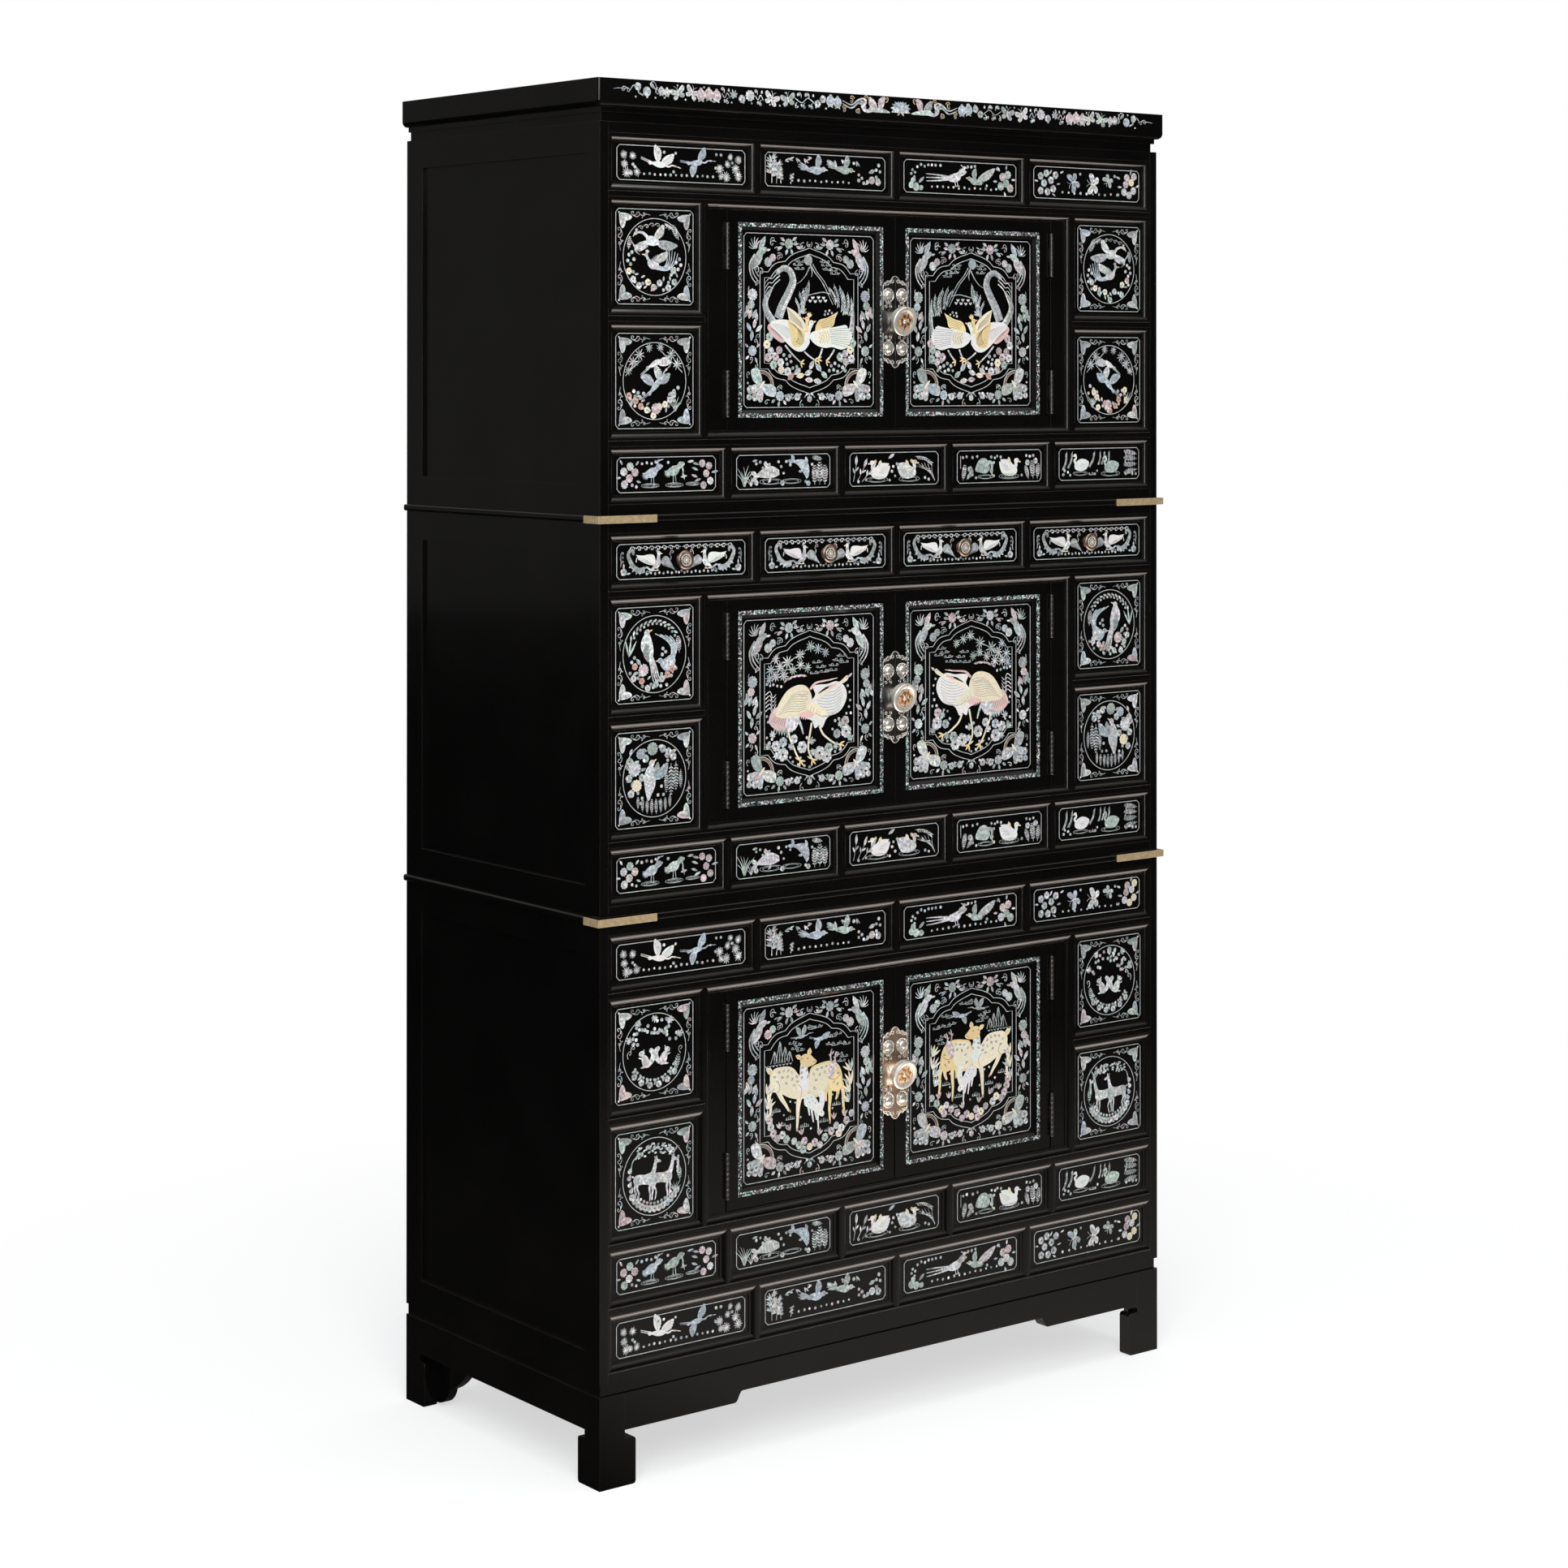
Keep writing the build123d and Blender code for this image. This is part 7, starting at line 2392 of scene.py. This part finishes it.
    def knob(self, work, z):
        """The round pull: a thick disc, leaned forward at its top, with a raised rim and a flower on its face."""
        seat = tipped(0, FACE - KNOB_OUT, z, KNOB_LEAN)
        r = KNOB_RADIUS
        profile = [(0.0, -11.0), (r - 3.5, -11.0), (r - 1.2, -9.5), (r - 0.4, -7.0), (r - 0.4, -3.2), (r, -2.6)]
        profile += [
            (r, -0.9), (r - 0.9, -0.1), (r - 2.0, 0.0), (r - 5.6, -0.5), (12.6, -0.6), (11.9, -1.2), (0.0, -1.2)
        ]
        work.lathe(seat, profile, 64, 2)
        work.lathe(lambda u, v, w: seat(u, v, w - 1.2), bead(11.6, 0.6), 48, 3)
        for turn in range(7):
            angle = 2 * math.pi * (turn + 0.25) / 7
            outline = turned_outline(petal_outline(7.6, 6.0), angle, 3.0)
            inner = turned_outline(petal_outline(5.0, 3.4), angle, 4.2)
            work.plate(seat, outline, -1.4, -0.75, 3)
            work.plate(seat, inner, -1.4, -0.45, 3)
        work.lathe(seat, [(0.0, -1.4), (2.4, -1.4)] + dome(2.4, 1.4, 5, -1.3), 20, 1)

    def execute(self, context):
        for tier in TIERS:
            self.build(tier)
        return {"FINISHED"}


class CHEST_OT_pulls(Step, bpy.types.Operator):
    """Turns the drawer pulls with a pale rosette in each"""

    bl_idname = "chest.pulls"
    bl_label = "Fit the Drawer Pulls"

    def execute(self, context):
        rose = self.mm("rosette")
        for number in range(1, 5):
            node = f"drawer_{number}_pull"
            low, high = box_mm(node)
            x, z = (low[0] + high[0]) / 2, (low[2] + high[2]) / 2
            reach = high[1] - low[1]
            seat = facing(x, high[1], z)
            work = Work()
            profile = [(0.0, 0.0), (7.6, 0.0), (7.6, 0.8), (5.6, 1.8), (5.0, 4.0), (6.4, 5.6), (10.2, 6.4), (11.4, 7.4)]
            profile += [
                (11.5, 8.4), (10.9, 9.4), (9.6, 10.0), (8.2, 9.7), (7.4, 9.0), (6.8, 9.4), (6.0, 9.3), (0.0, 9.1)
            ]
            work.lathe(seat, profile, 44, 0)
            for turn in range(8):
                angle = 2 * math.pi * turn / 8
                work.plate(seat, turned_outline(petal_outline(rose - 1.2, 2.9), angle, 1.2), 9.0, 10.2, 1)
            work.lathe(seat, [(0.0, 9.0), (1.9, 9.0)] + dome(1.9, min(1.6, reach - 9.3), 5, 9.2), 20, 1)
            work.lathe(seat, [(r, w + 9.5) for r, w in bead(rose + 1.3, 0.55)], 40, 1)
            metals = [finish_named("pull_bronze"), finish_named("knob_metal")]
            work.done(f"drawer_{number}_turned_pull", f"drawer_{number}", metals, [node])
        return {"FINISHED"}


class CHEST_OT_row_pictures(Step, bpy.types.Operator):
    """Inlays the birds, fish and butterflies on the panels of each row"""

    bl_idname = "chest.row_pictures"
    bl_label = "Inlay the Rows"

    def execute(self, context):
        for tier in TIERS:
            for level, (kind, middle) in enumerate(rows_of(tier)):
                if kind not in ("long", "short"):
                    continue
                laid = []
                for (x, z), picture in zip(fields_of(kind, middle), ROW_PICTURES[kind]):
                    pen = Pen(f"{tier}{level}{picture.__name__}")
                    picture(pen)
                    laid.append((pen, facing(x, FACE, z)))
                inlay(f"{tier}_row_{level}_inlay", "chest", laid)
        return {"FINISHED"}


class CHEST_OT_drawer_pictures(Step, bpy.types.Operator):
    """Inlays the facing phoenixes on the drawer fronts"""

    bl_idname = "chest.drawer_pictures"
    bl_label = "Inlay the Drawers"

    def execute(self, context):
        for number in range(1, 5):
            x, y, z = middle_of(f"drawer_{number}_front")
            pen = Pen(number)
            picture_drawer(pen)
            inlay(f"drawer_{number}_inlay", f"drawer_{number}", [(pen, facing(x, y, z))])
        return {"FINISHED"}


class CHEST_OT_square_pictures(Step, bpy.types.Operator):
    """Inlays the round pictures and corner butterflies on the squares"""

    bl_idname = "chest.square_pictures"
    bl_label = "Inlay the Squares"

    def execute(self, context):
        for tier in TIERS:
            middle = dict(rows_of(tier))["doors"]
            for place_number, (x, z) in enumerate(fields_of("doors", middle)):
                picture = SQUARE_PICTURES[tier][place_number // 2]
                pen = Pen(f"{tier}{place_number}")
                sheet = pen.at(0, 0, 0, 1, x > 0)
                square_corners(sheet)
                picture(sheet)
                inlay(f"{tier}_square_{place_number}_inlay", "chest", [(pen, facing(x, FACE, z))])
        return {"FINISHED"}


class CHEST_OT_door_pictures(Step, bpy.types.Operator):
    """Inlays the garlands and the main pictures on the doors"""

    bl_idname = "chest.door_pictures"
    bl_label = "Inlay the Doors"

    def execute(self, context):
        for tier in TIERS:
            for side_name, side in SIDES.items():
                door = f"door_{tier}_{side_name}"
                place = facing(*middle_of(f"{door}_panel"))
                garland = Pen(f"{door} garland")
                door_border(garland)
                inlay(f"{door}_garland", door, [(garland, place)])
                pen = Pen(f"{door} picture")
                DOOR_PICTURES[tier](pen.at(0, 0, 0, 1, side > 0))
                inlay(f"{door}_picture", door, [(pen, place)])
        return {"FINISHED"}


class CHEST_OT_cornice_garland(Step, bpy.types.Operator):
    """Inlays the running garland on the front edge of the crown"""

    bl_idname = "chest.cornice_garland"
    bl_label = "Inlay the Crown"

    def execute(self, context):
        low, high = box_mm("cornice")
        pen = Pen("crown")
        cornice_garland(pen, high[0] - GARLAND_MARGIN)
        inlay("crown_garland", "chest", [(pen, facing(0, low[1], high[2] - GARLAND_DROP))])
        return {"FINISHED"}


# ---- studio ----
class CHEST_OT_stage(Step, bpy.types.Operator):
    """Sets the pale floor, the soft lights, the white surround and the camera"""

    bl_idname = "chest.stage"
    bl_label = "Set the Stage"

    def floor(self):
        rim = [(x, y, 0) for x, y in ring_outline(FLOOR_RADIUS, 48)]
        mesh = bpy.data.meshes.new("studio_floor")
        mesh.from_pydata([(0, 0, 0)] + rim, [], [[0, i + 1, (i + 1) % 48 + 1] for i in range(48)])
        made = bpy.data.objects.new("studio_floor", mesh)
        bpy.context.scene.collection.objects.link(made)
        graph = Graph("studio_floor")
        # what lamps light, what the camera sees near the chest, and the white it fades to
        lit = graph.add("ShaderNodeBsdfDiffuse", {"Color": (0.80, 0.80, 0.80, 1)}).outputs[0]
        soft = graph.add("ShaderNodeBsdfDiffuse", {"Color": (0.42, 0.42, 0.42, 1)}).outputs[0]
        lift = graph.add("ShaderNodeEmission", {"Color": (1, 1, 1, 1), "Strength": 0.62}).outputs[0]
        white = graph.add("ShaderNodeEmission", {"Color": (1, 1, 1, 1), "Strength": 1.0}).outputs[0]
        near = graph.add("ShaderNodeAddShader", {0: soft, 1: lift}).outputs[0]
        distance = graph.add("ShaderNodeVectorMath", {0: graph.spot}, operation="LENGTH").outputs["Value"]
        fade = graph.scale(distance, 0.0, 1.0, 0.55, 1.5)
        seen = graph.add("ShaderNodeMixShader", {0: fade, 1: near, 2: white}).outputs[0]
        # painted reflection: what polished surfaces mirror of it is the floor glowing on its own, unlit by the lamps,
        # warm near the chest, dimmer outward and to the left
        dim = graph.scale(distance, 0.30, 0.02, 0.5, 2.4)
        across = graph.add("ShaderNodeSeparateXYZ", {"Vector": graph.spot}).outputs["X"]
        shade = graph.scale(across, 0.05, 1.0, -0.45, -0.10)
        glow = graph.add("ShaderNodeMath", {0: dim, 1: shade}, operation="MULTIPLY").outputs[0]
        mirrored = graph.add("ShaderNodeEmission", {"Color": (1.0, 0.93, 0.85, 1), "Strength": glow}).outputs[0]
        path = graph.add("ShaderNodeLightPath").outputs
        bounced = graph.add("ShaderNodeMixShader", {0: path["Is Glossy Ray"], 1: lit, 2: mirrored}).outputs[0]
        final = graph.add("ShaderNodeMixShader", {0: path["Is Camera Ray"], 1: bounced, 2: seen}).outputs[0]
        graph.add("ShaderNodeOutputMaterial", {"Surface": final})
        mesh.materials.append(graph.owner)

    def world(self):
        """White to the camera, a soft blue room to the surfaces, and dark with two pale glows to mirrors."""
        graph = Graph("studio", "worlds")
        path = graph.add("ShaderNodeLightPath").outputs
        parts = graph.add("ShaderNodeSeparateXYZ", {0: graph.spot}).outputs
        beside = graph.scale(parts["X"], 0.012, 0.085, 0.3, -0.6)
        above = graph.scale(parts["Z"], 0.0, 0.55, 0.30, 0.80)
        toward = graph.add("ShaderNodeVectorMath", {0: graph.spot, 1: (0.57, 0.82, 0.0)}, operation="DOT_PRODUCT")
        behind = graph.scale(toward.outputs["Value"], 0.0, 0.6, 0.80, 0.95)
        both = graph.add("ShaderNodeMath", {0: beside, 1: above}).outputs[0]
        total = graph.add("ShaderNodeMath", {0: both, 1: behind}).outputs[0]
        room, mirrored, white = (
            graph.add("ShaderNodeBackground", {"Color": colour, "Strength": strength}).outputs[0]
            for colour, strength in (
                ((0.9, 0.95, 1.0, 1), 0.35), ((1.0, 0.96, 0.92, 1), total), ((1, 1, 1, 1), 1.0)
            )
        )
        glossy = graph.add("ShaderNodeMixShader", {0: path["Is Glossy Ray"], 1: room, 2: mirrored}).outputs[0]
        camera = graph.add("ShaderNodeMixShader", {0: path["Is Camera Ray"], 1: glossy, 2: white}).outputs[0]
        graph.add("ShaderNodeOutputWorld", {"Surface": camera})
        bpy.context.scene.world = graph.owner

    def lamp(self, name, place, aim, size, power):
        light = bpy.data.lights.new(name, "AREA")
        light.shape = "RECTANGLE"
        light.size, light.size_y = size
        light.energy = power
        made = bpy.data.objects.new(name, light)
        made.location = place
        made.rotation_euler = (Vector(aim) - Vector(place)).to_track_quat("-Z", "Y").to_euler()
        bpy.context.scene.collection.objects.link(made)
        return made

    def low_panel(self):
        """A warm panel on the floor that only the mouldings and the metalwork mirror."""
        made = self.lamp("low_panel", (0.75, -0.75, 0.02), (0.75, -0.75, 2), (2.6, 1.1), 25)
        made.data.color = (1.0, 0.87, 0.78)
        made.data.spread = math.radians(125)
        made.visible_camera = made.visible_diffuse = False
        mirrors = bpy.data.collections.new("mirrors_of_low_panel")
        for piece in bpy.data.objects:
            if piece.name.endswith(("_mouldings", "lock_half", "turned_pull", "hinge_leaves", "corner_plates")):
                mirrors.objects.link(piece)
        made.light_linking.receiver_collection = mirrors

    def camera(self):
        data = bpy.data.cameras.new("studio_camera")
        data.lens, data.sensor_width = 74.25, 36
        data.shift_y = -0.2759
        data.clip_end = 100
        made = bpy.data.objects.new("studio_camera", data)
        made.location = (-2.5862, -3.3152, 1.3032)
        made.rotation_euler = (math.radians(90.345), 0, math.radians(-37.747))
        bpy.context.scene.collection.objects.link(made)
        bpy.context.scene.camera = made

    def execute(self, context):
        self.floor()
        self.world()
        self.lamp("key_light", (-2.6, -3.4, 3.2), (0, 0, 0.8), (2.4, 2.4), 150)
        self.lamp("top_light", (0, -0.6, 4.2), (0, 0, 0.8), (3.2, 3.2), 90)
        self.lamp("side_light", (-3.3, -2.7, 1.1), (0, 0, 0.9), (0.4, 2.2), 22)
        self.low_panel()
        self.camera()
        context.scene.view_settings.view_transform = "Standard"
        return {"FINISHED"}


OPERATORS = [
    CHEST_OT_lacquer,
    CHEST_OT_borders,
    CHEST_OT_row_pictures,
    CHEST_OT_drawer_pictures,
    CHEST_OT_square_pictures,
    CHEST_OT_door_pictures,
    CHEST_OT_cornice_garland,
    CHEST_OT_hinges,
    CHEST_OT_locks,
    CHEST_OT_pulls,
    CHEST_OT_stage,
]


class CHEST_PT_builder(bpy.types.Panel):
    """Lists the steps that dress the chest, in order"""

    bl_label = "Inlaid Lacquer Chest"
    bl_idname = "CHEST_PT_builder"
    bl_space_type = "VIEW_3D"
    bl_region_type = "UI"
    bl_category = "Chest"

    def draw(self, context):
        for operator in OPERATORS:
            self.layout.operator(operator.bl_idname)
        for settings in (context.scene.chest_sizes, context.scene.chest_colours):
            column = self.layout.column()
            for name in settings.__annotations__:
                column.prop(settings, name)


CLASSES = [ChestSizes, ChestColours, *OPERATORS, CHEST_PT_builder]


def register():
    for item in CLASSES:
        bpy.utils.register_class(item)
    bpy.types.Scene.chest_sizes = bpy.props.PointerProperty(type=ChestSizes)
    bpy.types.Scene.chest_colours = bpy.props.PointerProperty(type=ChestColours)


def unregister():
    del bpy.types.Scene.chest_colours
    del bpy.types.Scene.chest_sizes
    for item in reversed(CLASSES):
        bpy.utils.unregister_class(item)


def main():
    register()
    for operator in OPERATORS:
        group, name = operator.bl_idname.split(".")
        getattr(getattr(bpy.ops, group), name)()


if __name__ == "__main__":
    main()
